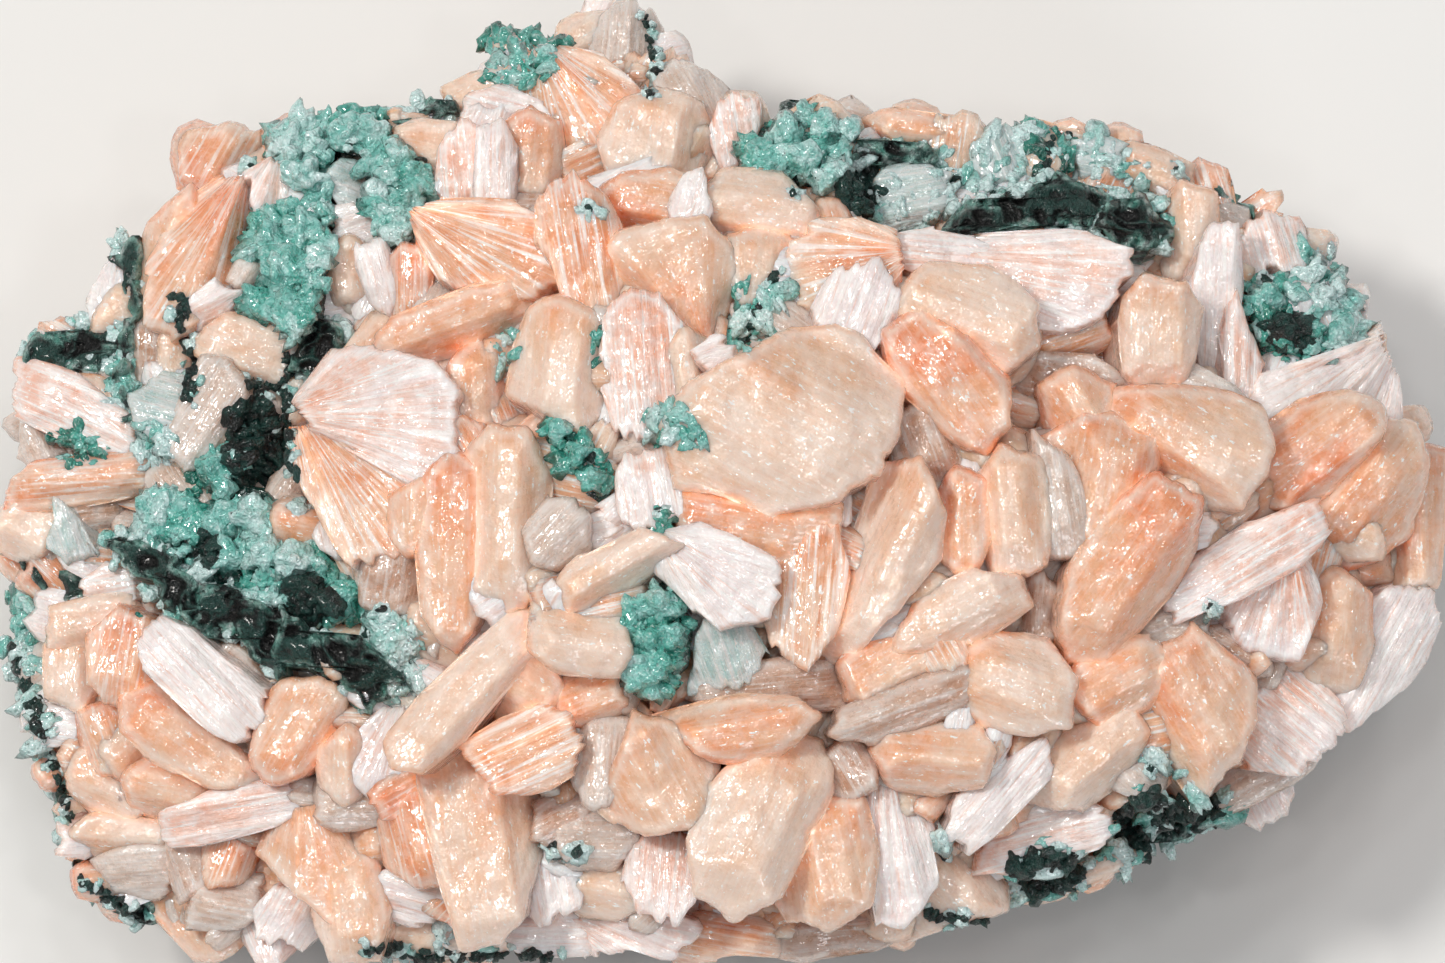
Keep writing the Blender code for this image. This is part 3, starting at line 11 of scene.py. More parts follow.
import bmesh
import bpy
import numpy as np
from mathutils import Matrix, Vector


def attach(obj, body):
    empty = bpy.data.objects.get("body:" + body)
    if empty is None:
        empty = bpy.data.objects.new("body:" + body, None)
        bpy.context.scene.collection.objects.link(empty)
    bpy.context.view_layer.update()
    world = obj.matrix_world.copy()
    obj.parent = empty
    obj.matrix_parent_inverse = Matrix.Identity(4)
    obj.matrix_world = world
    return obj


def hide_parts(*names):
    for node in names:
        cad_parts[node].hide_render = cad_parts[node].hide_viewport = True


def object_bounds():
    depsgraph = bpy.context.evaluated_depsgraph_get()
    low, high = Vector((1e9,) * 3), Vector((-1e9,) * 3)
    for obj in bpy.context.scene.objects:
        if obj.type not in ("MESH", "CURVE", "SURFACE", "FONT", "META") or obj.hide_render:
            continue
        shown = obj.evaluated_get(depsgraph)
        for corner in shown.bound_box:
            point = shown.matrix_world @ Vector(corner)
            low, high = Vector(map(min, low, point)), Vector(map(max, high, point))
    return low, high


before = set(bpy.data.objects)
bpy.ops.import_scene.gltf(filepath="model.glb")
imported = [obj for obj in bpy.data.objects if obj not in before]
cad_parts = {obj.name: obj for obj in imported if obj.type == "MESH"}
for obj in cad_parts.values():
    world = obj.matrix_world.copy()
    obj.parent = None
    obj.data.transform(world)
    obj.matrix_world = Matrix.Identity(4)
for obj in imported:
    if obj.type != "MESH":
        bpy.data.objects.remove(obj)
cad_low, cad_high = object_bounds()

MM = 0.001
# Every pattern and every set of random draws adds its own number to this seed.
SEED = 7

# The chart: how high it is seen from, its middle, half its size, and where its middle lies in the frame.
CHART_ELEVATION_DEG = 75
CHART_CENTRE = (72.2, 48.1)
CHART_HALF = (74, 50)
CHART_TO_FRAME = (-0.208, 6.122)
DOME_RIM = 24
DOME_RISE = 15

# The rock and the mass of stilbite on it: how far each is drawn in from the outline, and their heights.
ROCK_INSET_FRONT = 1.2
ROCK_INSET_BACK = 5.5
ROCK_FOOT_INSET = 3.0
ROCK_WAIST = 6.5
ROCK_TOP = 10.5
RIDGE_FOOT = 5.0
BODY_INSET = 3.4
BODY_SKIRT = 9.0
BODY_BELOW_DOME = 5.5
CRUST_PLATE_DEPTH = 6.0

# A crystal's root: how far it reaches below the dome, how narrow it gets, and how far it leans towards the middle.
ROOT_BELOW_DOME = 9.5
ROOT_SCALE = 0.86
ROOT_LEAN = 0.12
UNDER_ROOT = 7.0
BLADE_ROOT = 6.0

# How fine the meshes are.
FINE_PITCH = 0.32
COARSE_PITCH = 0.5
UNDER_PITCH = 0.7
RIDGE_PITCH = 0.21
CRUST_PITCH = 0.3
ROW_PITCH = 1.2
FEWEST_COLUMNS = 8
FEWEST_ROWS = 7
COLUMN_INSET = 0.004
COARSE_WALL_PITCH = 0.4
WALL_LEVELS = [0.12, 0.4, 1.0]
COARSE_WALL_LEVELS = [0.3, 1.0]

# A crystal's face. The pairs give the width of a bump and how strong it is, and lumps also the seed's own number.
FACE_LIFT = 0.4
# FACE_DEPTH is the value of depth where a face meets its sides; EDGE_SHADE_WIDTH is how far in from the edge (mm) it
# fades out, a band of painted rim light.
FACE_DEPTH = 0.3
EDGE_SHADE_WIDTH = 1.4
EXTRA_TILT = 0.1
MOST_ROUNDING = 0.5
SHORTEST_COLUMN = 0.01
FACET_SHARPNESS = 8
DEEPEST_FACET = 3.4
WANDER_SIZES = ((1.9, 1.0), (0.7, 0.45))
WANDER_PER_LIFT = 7.3
LUMP_SIZES = ((3.6, 1.0, 0), (1.4, 0.5, 1), (0.7, 0.22, 9))
RIB_WIDTH = 0.55
RIB_STRETCH = 0.06
PATTERN_SPAN = 300
KNOB_SIZES = ((2.0, 0.9), (1.0, 0.5), (0.5, 0.28))
ROPE_SIZES = ((2.4, 61), (1.7, 62))

# The layers that fill the ground between the charted crystals: how far apart they lie, and how many places are tried.
UNDER_GAP, UNDER_TRIES = 5.0, 9000
BLADE_GAP, BLADE_TRIES = 2.4, 14000
BLADE_CORNERS = np.array([
    (-0.5, -0.25), (-0.38, -0.5), (0.36, -0.5), (0.5, -0.2), (0.5, 0.25), (0.34, 0.5), (-0.4, 0.5), (-0.5, 0.2),
])
BLADE_TINTS = ["cream", "peach", "peach", "salmon", "pearl", "pearl", "grey"]
UNDER_TINTS = ["cream", "peach", "peach", "peach", "salmon", "pearl", "grey"]

# The nodules: how far apart they lie on a crust, along a vein and along a ridge's rind, and the crust's hollows, which
# are places that lie so low that they stay bare.
NODULE_GAP, VEIN_GAP, RIND_GAP = 0.95, 0.5, 0.85
HOLLOW_BELOW = -0.55

# Numbers that make the noise: they stir a cell's three whole numbers and the seed into one.
STIR_X, STIR_Y, STIR_Z, STIR_AGAIN = (np.uint64(number) for number in (73856093, 19349663, 83492791, 1274126177))
STIR_SEED = 2654435761
LATTICE_TOP = 0xFFFFFF
NOISE_ORIGIN = 4096
TINY = 1e-9
FAR = 1e9

# The camera: its lens and sensor, the width of the picture, and where on the chart and how high it looks.
LENS = 300
SENSOR_WIDTH = 36
PICTURE_WIDTH = 144.5
CAMERA_AIM = (72.25, 48.15, 25.0)

# The studio, in metres and watts: each lamp's place, size, strength and colour, then the rings of small lamps.
WORLD_STRENGTH = 0.23
FLOOR_HALF = 2.0
LAMPS_AIM = (0, 0, 0.02)
LAMPS = (
    ("key", (-0.6, 0.15, 0.9), 0.2, 5.3, "#FFFAF4"),
    ("fill", (0.45, -0.8, 0.6), 0.4, 1.75, "#F8FAFF"),
)
SPARK_RINGS = ((1, 0.0), (5, 0.3), (7, 0.62))
SPARKS_BACK, SPARKS_UP = 0.27, 1.0
SPARK_SIZE, SPARK_WATTS = 0.08, 0.32


class Tablet(NamedTuple):
    """One crystal: the corners of its face on the chart, how far its face stands above the dome (mm), the face's
    slope to the right and down the chart, the way its striae run (degrees, 0 to the right and 90 down the chart),
    how far behind its middle they meet (mm, 0 where they are parallel), and its tint."""

    corners: list
    lift: float
    slope: tuple
    striae_deg: float
    spread: float
    tint: str


class Ridge(NamedTuple):
    """Rock that stands up between the crystals: its corners on the chart and its height above the dome (mm)."""

    corners: list
    lift: float


class Crust(NamedTuple):
    """A knobbly crust: plates, each a list of corners, their height above the dome, and lumps (right, down, radius)."""

    name: str
    plates: list
    lift: float
    lumps: list


class Habit(NamedTuple):
    """How a crystal of one kind is cut: the width and drop of its rounded edge, the height of the steps between its
    lamellae, how unevenly they end, their width, how lumpy its face is, how far its outline wanders, how high the
    knobs on it stand, all in mm, and how steep its facets are (0 to 1), how far it reaches under its
    neighbours (mm), how strongly its striae show (0 to 1), and whether its relief is folds rather than knobs."""

    edge_width: float
    edge_drop: float
    step: float
    ragged: float
    lamella: float
    lumpy: float
    wander: float
    grains: float
    facets: float
    overlap: float
    lined: float
    crinkled: bool = False


class Pattern(NamedTuple):
    """A noise: how many of its bumps go to a mm across, along and up the grain, its detail and its roughness."""

    per_mm: tuple
    detail: float
    roughness: float


PLUMP = Habit(0.9, 0.8, 0.1, 0.4, 1.4, 0.4, 0.3, 0.0, 1.15, 1.0, 0.2)
BLADED = Habit(0.8, 0.7, 0.14, 0.8, 0.9, 0.35, 0.25, 0.0, 1.0, 0.8, 0.7)
FANNED = Habit(0.7, 0.6, 0.16, 1.1, 0.55, 0.45, 0.3, 0.0, 0.5, 0.8, 1.0)
BROKEN = Habit(0.6, 0.5, 0.24, 0.9, 1.0, 0.45, 0.5, 0.0, 0.5, 0.5, 1.0)
ROCKY = Habit(0.9, 0.9, 0.0, 0.0, 1.0, 0.7, 1.2, 1.0, 0.0, 0.1, 0.0, True)
CRUSTY = Habit(1.2, 1.0, 0.0, 0.0, 1.0, 0.4, 0.6, 0.9, 0.0, 0.2, 0.0)

# Each tint's habit, the finish it is grouped under, and where it lies on that finish's scale of colours.
TINTS = {
    "cream": (PLUMP, "waxy", 0.16),
    "peach": (PLUMP, "waxy", 0.40),
    "amber": (PLUMP, "waxy", 0.52),
    "salmon": (FANNED, "waxy", 0.48),
    "orange": (BLADED, "waxy", 0.58),
    "rose": (FANNED, "pearly", 0.64),
    "pearl": (FANNED, "pearly", 0.20),
    "lilac": (BROKEN, "pearly", 0.45),
    "grey": (BLADED, "smoky", 0.25),
    # The brown tint is given mostly to crystals that stand in deep gaps, where its darker colour is painted shade.
    "brown": (BLADED, "smoky", 0.85),
    "mint": (BROKEN, "minty", 0.30),
}

# The patterns, by the real size of their bumps. On stilbite the striae are a third of a mm apart and run on for about
# 8 mm, ribs are 0.28 mm wide, the white flecks painted in as glints 0.45 mm, a face's waves 1.25 mm, frosted
# patches 1.7 mm and the drift 4.5 mm. On chalcedony the rounded bumps are 0.8 mm and the sugar 0.4 mm; on basalt
# crumbs are 0.6 mm and grit 0.3 mm.
STILBITE_PATTERNS = {
    "drift": Pattern((0.22, 0.132, 0.22), 2.0, 0.55),
    "frost": Pattern((0.6, 0.6, 0.6), 4.0, 0.6),
    "striae": Pattern((3.0, 0.12, 0.3), 2.0, 0.5),
    "flecks": Pattern((2.2, 0.9, 2.0), 3.0, 0.6),
    "ribs": Pattern((3.6, 0.3, 0.8), 3.0, 0.6),
    "waves": Pattern((0.8, 0.8, 0.8), 3.0, 0.55),
    "wet": Pattern((1.3, 0.7, 1.3), 1.5, 0.5),
}
CHALCEDONY_PATTERNS = {
    "drift": Pattern((0.5, 0.5, 0.5), 4.0, 0.55),
    "frost": Pattern((1.6, 1.6, 1.6), 3.0, 0.6),
    "rounded": Pattern((1.3, 1.3, 1.3), 2.0, 0.5),
}
SUGAR_PER_MM = 2.6
BASALT_PATTERNS = {
    "crumbs": Pattern((1.6, 1.6, 1.6), 3.0, 0.6),
    "rock": Pattern((0.5, 0.5, 0.5), 5.0, 0.55),
    "stain": Pattern((0.22, 0.22, 0.22), 4.0, 0.55),
    "patches": Pattern((0.6, 0.6, 0.6), 4.0, 0.55),
    "mint": Pattern((0.8, 0.8, 0.8), 3.0, 0.55),
    "grit": Pattern((3.2, 3.2, 3.2), 3.0, 0.6),
}

# The outline of the specimen on the chart, clockwise from the left.
OUTLINE = [
    (1.8, 35.8), (4, 34), (6.5, 32.5), (9, 31.6), (9.5, 30.5), (11.5, 26.5), (11.8, 25), (15, 22.5), (18.5, 19.5),
    (17.8, 16), (18.5, 13.2), (22, 12.5), (27, 12.2), (30.5, 11.9), (34, 10.8), (38.5, 11.2), (42, 10.4), (44.8, 8),
    (48, 5.5), (54.5, 3.8), (57.5, 1.8), (62, 0), (64.5, 0.8), (67, 6), (70, 7.4), (73, 9.8), (79, 10), (83, 10.3),
    (87, 11.9), (94, 12.1), (103, 12.8), (111, 13.7), (119, 16.5), (125.5, 20), (130, 23.5), (135, 28.5), (137.8, 35),
    (139.7, 39.2), (142.5, 45.2), (144.3, 45.3), (144.3, 50), (143, 57.5), (143.5, 62), (141.5, 66), (138, 70),
    (130, 76), (120, 81.8), (113, 85.5), (108, 87.2), (100, 90), (92.5, 92.5), (85, 94.2), (80, 95.5), (74, 94),
    (68, 96.1), (65, 94.3), (59, 94.8), (52, 94.6), (46, 95.5), (40, 96), (35, 95), (28.5, 94), (24, 93.3),
    (14, 91.8), (10.3, 90.5), (7.6, 86.5), (5.8, 79.5), (3.8, 74.5), (1.7, 68), (0.5, 62.5), (1.2, 60), (0.3, 51.5),
    (2, 47), (3.2, 44), (2.8, 40.5), (1.5, 39.5),
]

# The crystals, roughly from the upper left to the lower right.
TABLETS = [
    # Upper left: the knob, the big striated fan and the shaded columns below it.
    Tablet([(17.8, 14.5), (18.7, 13.2), (21, 13), (22.5, 12.5), (25.5, 13.2), (26.2, 16), (25, 19), (21, 19.8),
        (18.2, 18)], 1, (0.1, -0.1), 300, 0, "orange"),
    Tablet([(22, 18), (25.5, 18.5), (26, 23), (24.5, 29), (21, 31), (17, 33.5), (14.6, 32.6), (15.2, 27), (17.6, 21.5)],
        3, (0.1, 0.0), 114, 11, "orange"),
    Tablet([(15, 22.5), (18.5, 19.5), (19, 22), (16.8, 28), (14.5, 34), (13.3, 32), (13.6, 28)], 1, (-0.3, 0.0), 105, 0,
        "peach"),
    Tablet([(25, 17.5), (27, 16.3), (29, 18), (28.5, 21.5), (26, 21.8)], 2, (0.2, 0.1), 100, 4, "rose"),
    Tablet([(18.5, 31), (22, 28.3), (24.2, 29), (22.5, 32), (19.5, 33.3)], 2, (0.0, 0.3), 330, 0, "lilac"),
    Tablet([(23.4, 28), (24.4, 26), (25.8, 26.8), (25.2, 28.6)], 2, (0.2, 0.1), 300, 0, "grey"),
    Tablet([(9.0, 31.6), (9.5, 29), (11.2, 26.5), (12.2, 28), (12.4, 32), (10.5, 33)], 0, (-0.3, 0.0), 100, 0, "pearl"),
    Tablet([(13, 33.5), (15, 31.5), (16.8, 33), (16.5, 39.5), (14.2, 40.5), (12.9, 38)], -1, (-0.1, 0.1), 90, 0,
        "brown"),
    Tablet([(16.8, 33), (18, 30.5), (19.3, 33), (19.6, 38), (18.4, 40), (16.9, 39)], -1, (0.2, 0.1), 90, 0, "cream"),
    Tablet([(1.8, 36.4), (4, 36.8), (8, 38.5), (12.8, 42.4), (13.2, 45.6), (10, 45), (5, 42.6), (1.9, 41)], 1,
        (-0.1, -0.2), 22, 0, "rose"),
    Tablet([(2.6, 41.6), (5, 43), (6.2, 45.4), (4, 46.6), (2.2, 45.6)], -1, (-0.2, 0.1), 60, 0, "grey"),
    Tablet([(13.2, 39.5), (16, 37.5), (19, 38.3), (19.2, 42), (16.5, 43.4), (13.4, 42.6)], 1, (0.0, -0.2), 15, 0,
        "mint"),
    Tablet([(21, 36), (23, 36.6), (24.5, 39.5), (20.4, 46.4), (18.6, 46.6), (16.8, 44.5)], 1, (-0.1, 0.2), 125, 0,
        "grey"),
    Tablet([(19.6, 34.5), (23, 32.3), (27, 32), (29, 34), (28.6, 37.6), (25, 39), (21.5, 36.2)], 0, (0.1, 0.1), 20, 0,
        "cream"),
    Tablet([(24.6, 40), (26.4, 39.3), (27.8, 40.8), (27.4, 43), (25.2, 43.2)], -2, (0.0, 0.3), 90, 0, "grey"),
    Tablet([(1.6, 48.2), (4, 46.5), (10, 46.4), (16.3, 45.4), (17, 47.2), (14, 49), (8, 50), (1.2, 50.4)], 1,
        (0.0, 0.3), 355, 0, "orange"),
    Tablet([(0.4, 51.4), (2.6, 49.6), (5.6, 50.6), (6, 53.4), (3, 55.6), (0.5, 54.6)], 0, (-0.2, 0.2), 30, 0, "cream"),
    Tablet([(7, 50.4), (12, 49.2), (12.6, 51.6), (9, 52.8), (7, 52.2)], -2, (0.1, 0.3), 355, 0, "brown"),
    Tablet([(6, 50), (8, 52.6), (9.6, 55.6), (6.6, 56), (5, 54.4)], 0, (0.0, 0.1), 250, 0, "mint"),
    # Between the arms of the upper left crust, and the top edge to its right.
    Tablet([(32.9, 17), (34.5, 15.9), (36.8, 17), (36.8, 20), (34, 20.6), (32.9, 19.6)], 0, (0.1, 0.1), 20, 0, "mint"),
    Tablet([(33.2, 21.6), (36, 20.4), (38.2, 22.2), (37, 24.6), (34, 24.6)], -1, (0.0, 0.2), 340, 0, "pearl"),
    Tablet([(36.2, 24.8), (38, 24.2), (39.6, 29.6), (39, 31), (37.4, 30)], 1, (0.2, 0.0), 75, 0, "pearl"),
    Tablet([(33, 25.5), (35, 24.2), (37.4, 26), (37.2, 29), (34, 30.2), (33, 28.8)], -1, (0.0, 0.2), 80, 0, "cream"),
    Tablet([(39.2, 26), (40.6, 24.8), (42.6, 25), (42.6, 31.2), (41, 32.4), (39.4, 31.4)], 1, (-0.2, 0.1), 90, 0,
        "orange"),
    Tablet([(39.4, 13.6), (42, 12.7), (45, 12.8), (46, 14), (44.4, 16), (40.8, 15.2)], 0, (0.1, 0.0), 10, 5, "peach"),
    # Left of the middle: two fans from one root, and what stands round them.
    Tablet([(30.5, 40.2), (34, 35.6), (38.5, 35.4), (43, 36.2), (45.5, 39), (45.6, 45), (44, 47.8), (42, 47.8),
        (38, 45), (32, 42.6)], 4, (0.0, -0.2), 0, 9, "rose"),
    Tablet([(29.8, 43.4), (32, 43), (38, 45.6), (42, 48.4), (44, 50.2), (42, 53.6), (39.5, 55.6), (35.5, 56.2),
        (33, 52), (30.2, 47)], 3, (-0.1, 0.2), 52, 10, "salmon"),
    Tablet([(40, 50), (42.6, 48.2), (44.4, 50), (44, 54), (41.6, 55), (40, 53.4)], 4, (0.1, 0.1), 90, 0, "peach"),
    Tablet([(43.4, 48), (45.4, 45.4), (47.8, 47), (48.4, 55), (47.6, 61.5), (45.8, 64), (43.6, 61.6), (43, 54)], 4,
        (0.1, 0.1), 90, 0, "amber"),
    Tablet([(36.4, 57), (38, 55), (42, 55), (43.2, 58), (42.4, 61.4), (39, 61.6), (37, 60.2)], 1, (-0.1, 0.2), 100, 0,
        "brown"),
    Tablet([(38.4, 34.8), (40, 32.5), (44, 30.8), (48, 29.4), (53, 28.6), (56, 29), (53, 31.8), (49, 34), (44, 36)], 2,
        (0.0, 0.3), 340, 0, "amber"),
    Tablet([(45.8, 36.6), (48, 34.4), (49.4, 35), (49.4, 39.4), (50, 42.4), (47, 42.6), (45.6, 40)], 0, (0.1, 0.1), 90,
        0, "peach"),
    Tablet([(44.8, 43.4), (46.4, 42), (48.2, 43), (48, 45.8), (46, 46.8), (44.6, 45.6)], 2, (0.1, 0.1), 60, 0,
        "salmon"),
    # Lower left: from the rind up to the bright rod and the paired wings.
    Tablet([(8.8, 58), (10.6, 56.8), (12.6, 57.4), (13.4, 59.6), (10.6, 60.4), (8.8, 59.8)], -1, (-0.1, 0.2), 350, 0,
        "rose"),
    Tablet([(5.6, 61.4), (9, 60.4), (13.2, 60.2), (13.4, 62.6), (10, 64.6), (5.8, 64)], 0, (-0.1, 0.2), 350, 0,
        "cream"),
    Tablet([(9.8, 63.4), (12.4, 61), (15.2, 62.4), (15.6, 67), (14.4, 70.4), (11.4, 70), (9.9, 67.6)], 3, (-0.1, 0.1),
        100, 0, "orange"),
    Tablet([(5.4, 64.6), (7.4, 63), (9.6, 64), (9.8, 68.4), (8.4, 70.4), (5.6, 69.6)], 0, (-0.3, 0.0), 95, 0, "cream"),
    Tablet([(14.8, 63.8), (16.4, 62), (18.6, 62.8), (26.4, 69.2), (26.6, 71.6), (24.6, 73.2), (22.4, 72.8),
        (15.6, 66.2)], 4, (0.0, -0.1), 46, 0, "pearl"),
    Tablet([(13, 69.6), (16, 68.6), (20, 72.6), (24.6, 75.4), (26, 77.6), (22, 77.8), (16, 75), (13.4, 72.4)], 3,
        (0.1, 0.2), 35, 0, "peach"),
    Tablet([(26.2, 75.6), (27, 71.6), (29, 68.6), (32.4, 68), (34.4, 69.6), (33.8, 73.4), (30.4, 76.6), (27.2, 77.4)],
        3, (-0.2, 0.1), 300, 0, "amber"),
    Tablet([(20.8, 66.2), (22.6, 64.4), (24.4, 65.2), (26.6, 68), (25.6, 68.8), (23, 67.8)], -1, (-0.1, 0.3), 40, 0,
        "brown"),
    Tablet([(35.8, 73.4), (38.6, 71), (41.4, 70.6), (42.2, 73.6), (40.4, 77.6), (37.6, 79.2), (35.6, 77)], 2,
        (-0.1, 0.1), 110, 6, "lilac"),
    Tablet([(33, 75), (35.2, 73), (37, 74.6), (37.2, 78), (35, 79.4), (33, 78)], 3, (0.0, 0.2), 90, 0, "cream"),
    Tablet([(3.0, 71.8), (5, 70.4), (8, 70.4), (9, 72.4), (7.2, 74.2), (4.0, 74.2)], -1, (-0.1, 0.1), 10, 0, "lilac"),
    Tablet([(8.6, 71), (10.4, 70.2), (13, 71), (14.4, 74), (13, 77), (10, 76.6), (8.8, 74.4)], 1, (-0.2, 0.1), 70, 0,
        "orange"),
    Tablet([(7.4, 76.2), (9, 74.8), (13, 77), (15.2, 79.4), (13, 81.2), (9.6, 80.6), (7.8, 78.8)], 0, (-0.2, 0.1), 25,
        0, "cream"),
    Tablet([(13.4, 77.8), (16, 75.8), (21.4, 78.2), (21.8, 80.2), (17.4, 81.4), (14, 80.2)], 2, (0.0, 0.2), 15, 0,
        "peach"),
    Tablet([(7.8, 83.4), (9.4, 82), (14, 82), (16.8, 83), (15.6, 85), (10, 85.4)], -1, (-0.1, 0.1), 5, 0, "cream"),
    Tablet([(10.0, 86.2), (13, 85), (17, 84.8), (18, 87), (16, 89.2), (11.6, 88.6)], -2, (-0.2, 0.3), 355, 0, "grey"),
    Tablet([(16.8, 81.6), (20.6, 79.8), (25, 78.6), (29.8, 78.4), (30.4, 80.6), (26, 82.4), (21, 83.4), (17.4, 83.6)],
        2, (0.0, 0.3), 350, 0, "rose"),
    Tablet([(16.6, 84.6), (19.4, 83.6), (21, 85), (20.6, 88), (18.6, 89.4), (17.6, 87.6)], 0, (-0.2, 0.2), 70, 0,
        "brown"),
    Tablet([(20.8, 84.4), (23.4, 83), (25.6, 85), (24.8, 87.4), (21.6, 88)], 1, (0.1, 0.2), 110, 0, "orange"),
    Tablet([(20, 89), (23, 87.8), (26, 88), (26.4, 90.8), (23, 92.2), (19.4, 91.8)], 0, (0.0, 0.3), 10, 0, "grey"),
    Tablet([(26.4, 90), (28.4, 88), (31, 88.6), (32, 92), (30.4, 94.4), (27.6, 94.2), (26.2, 92.4)], 0, (0.1, 0.3), 120,
        0, "lilac"),
    Tablet([(27, 85), (28.6, 81.4), (31.4, 79.4), (34.6, 79.8), (37.4, 83), (39, 87.4), (38.4, 91.4), (35, 92.4),
        (31.6, 89.6)], 2, (0.1, 0.1), 70, 10, "peach"),
    Tablet([(32.4, 86), (35, 84.4), (37.4, 86), (38.6, 91), (37.4, 95), (34, 94.8), (32.4, 91)], 4, (0.0, 0.1), 84, 0,
        "peach"),
    Tablet([(37.8, 79.4), (39.6, 77.2), (42.4, 76.4), (43.2, 79), (41, 80.8), (38.8, 81)], 3, (0.0, 0.2), 330, 0,
        "orange"),
    Tablet([(43, 76), (48, 74.5), (52, 77), (54.5, 80), (53.5, 85), (52, 90), (50, 93), (47, 93.6), (45.5, 88),
        (44, 83)], 6, (0.0, 0.1), 80, 0, "cream"),
    Tablet([(38.4, 81.6), (41.4, 78.6), (43.6, 77.2), (44.8, 82), (45.8, 87), (42.6, 88), (39.6, 86)], 4, (-0.2, 0.1),
        75, 0, "orange"),
    Tablet([(38.8, 87.4), (41, 85.8), (45.4, 87.6), (45.8, 90.6), (42, 91.4), (39, 90.6)], 2, (0.0, 0.3), 15, 0,
        "pearl"),
    Tablet([(38.2, 92.2), (40, 91), (45.6, 91.4), (46.6, 94.4), (42, 95.2), (38.4, 95)], 0, (0.0, 0.3), 5, 0, "cream"),
    Tablet([(39.8, 73.6), (41.2, 71.8), (50.8, 62.2), (53, 61.6), (54.4, 63.4), (44.6, 74.6), (42.6, 76), (40.4, 75.4)],
        7, (-0.1, -0.1), 314, 0, "cream"),
    # Along the top in the middle.
    Tablet([(44.8, 8.8), (47, 7.8), (50, 6.8), (51, 8.4), (49, 10), (45.8, 10.2)], -1, (0.0, -0.1), 340, 0, "cream"),
    Tablet([(50.4, 7.6), (53, 5.6), (56, 5), (60, 5.8), (63.4, 9), (64, 12.6), (61.4, 15.6), (58, 16.4), (54, 14),
        (51, 10.6)], 2, (0.0, 0.1), 60, 8, "salmon"),
    Tablet([(59, 3), (60.6, 1.2), (62, 0.2), (63.4, 0.1), (64.6, 0.9), (65.5, 2.6), (66, 5), (65, 7), (61.4, 6.6),
        (59.4, 5.4)], 0, (0.1, -0.1), 275, 0, "grey"),
    Tablet([(55.8, 4), (56.4, 2.4), (57.8, 1.7), (60, 1.6), (60, 4.6), (57, 5.4)], 0, (0.0, -0.1), 330, 0, "cream"),
    Tablet([(60.4, 14), (62.4, 10.6), (66, 9.4), (69.6, 10.6), (70.6, 14), (68.6, 17.6), (64.6, 18.2), (61.4, 16.8)], 3,
        (0.0, 0.0), 100, 0, "cream"),
    Tablet([(65.8, 7.4), (67.4, 6.4), (70, 7.2), (72.4, 9.2), (73, 12.6), (72, 15), (69, 14), (66.4, 10.6)], 1,
        (0.1, 0.0), 60, 0, "grey"),
    Tablet([(72.2, 10.6), (73, 9.8), (75.2, 10.2), (75.8, 12.6), (74.4, 14.8), (73, 16.4), (71.6, 14)], 1, (0.1, 0.1),
        80, 0, "rose"),
    Tablet([(44.4, 14.6), (46.4, 12.2), (48.2, 13), (48.6, 18), (47.4, 21), (45, 21.2), (44, 18)], 2, (-0.1, 0.1), 85,
        0, "rose"),
    Tablet([(48.2, 13.4), (50, 12.6), (51, 15), (51, 19.6), (49.6, 21.4), (48.2, 20)], 3, (0.1, 0.1), 90, 0, "pearl"),
    Tablet([(50.6, 13), (53, 11.4), (55.4, 12.8), (55.8, 16.6), (54, 19), (51.2, 18.8)], 2, (0.1, 0.1), 95, 0, "peach"),
    Tablet([(47, 9.8), (50, 9), (54, 10.6), (55.6, 12.2), (53, 12.6), (49, 12), (46.6, 11.4)], 1, (0.0, 0.1), 15, 0,
        "rose"),
    Tablet([(50, 19.6), (53.6, 18.8), (54.8, 20), (53.6, 21.6), (50.6, 21.6)], 0, (0.0, 0.2), 0, 0, "brown"),
    Tablet([(57, 17.8), (59.6, 19.6), (61.6, 22.6), (62.2, 26), (61.4, 30), (60, 33), (57.6, 31.4), (56, 27.4),
        (54.4, 24), (54.2, 20.6)], 5, (0.1, 0.1), 80, 0, "salmon"),
    Tablet([(60.2, 19.6), (62.6, 18.2), (66.6, 17.9), (69.6, 19), (70, 22), (68, 24.2), (64, 24.6), (61.4, 23)], 3,
        (0.0, 0.1), 10, 0, "amber"),
    Tablet([(67.4, 21.4), (68.4, 18.4), (69.6, 17.8), (70.6, 20), (70, 22.6), (68.4, 23)], 5, (0.1, 0.1), 285, 0,
        "pearl"),
    Tablet([(70.6, 19.4), (73, 17.6), (78, 18.2), (81.2, 21.2), (81.4, 22.4), (80, 23.8), (75, 24.2), (71.6, 23)], 3,
        (0.0, 0.2), 8, 0, "cream"),
    Tablet([(73.4, 24.4), (76.4, 23.4), (79.2, 24.6), (79.4, 28), (77.4, 31), (74.6, 30.4), (73.4, 27.6)], 2,
        (0.1, 0.1), 90, 0, "cream"),
    Tablet([(69, 34.4), (66, 33.6), (62, 30), (60.4, 27), (62.4, 24), (66, 22.8), (70, 22.4), (72.6, 25), (73, 29),
        (71.4, 33)], 4, (0.0, 0.1), 245, 7, "peach"),
    Tablet([(41.8, 21.8), (44.6, 20.6), (49, 20.4), (52.6, 21), (55.6, 24), (56.6, 27.4), (54, 29.6), (49, 30),
        (44.6, 27.6), (42.4, 24.4)], 4, (0.0, 0.1), 25, 9, "salmon"),
    Tablet([(87, 19.6), (88.4, 17), (93, 16.6), (95.4, 17.6), (95, 20.2), (92, 22), (88, 22.4)], -1, (0.0, 0.1), 350, 0,
        "mint"),
    Tablet([(87.4, 12), (89, 11.4), (94, 12.1), (97, 12.6), (96, 13.8), (90, 13.6)], 0, (0.0, -0.1), 5, 0, "peach"),
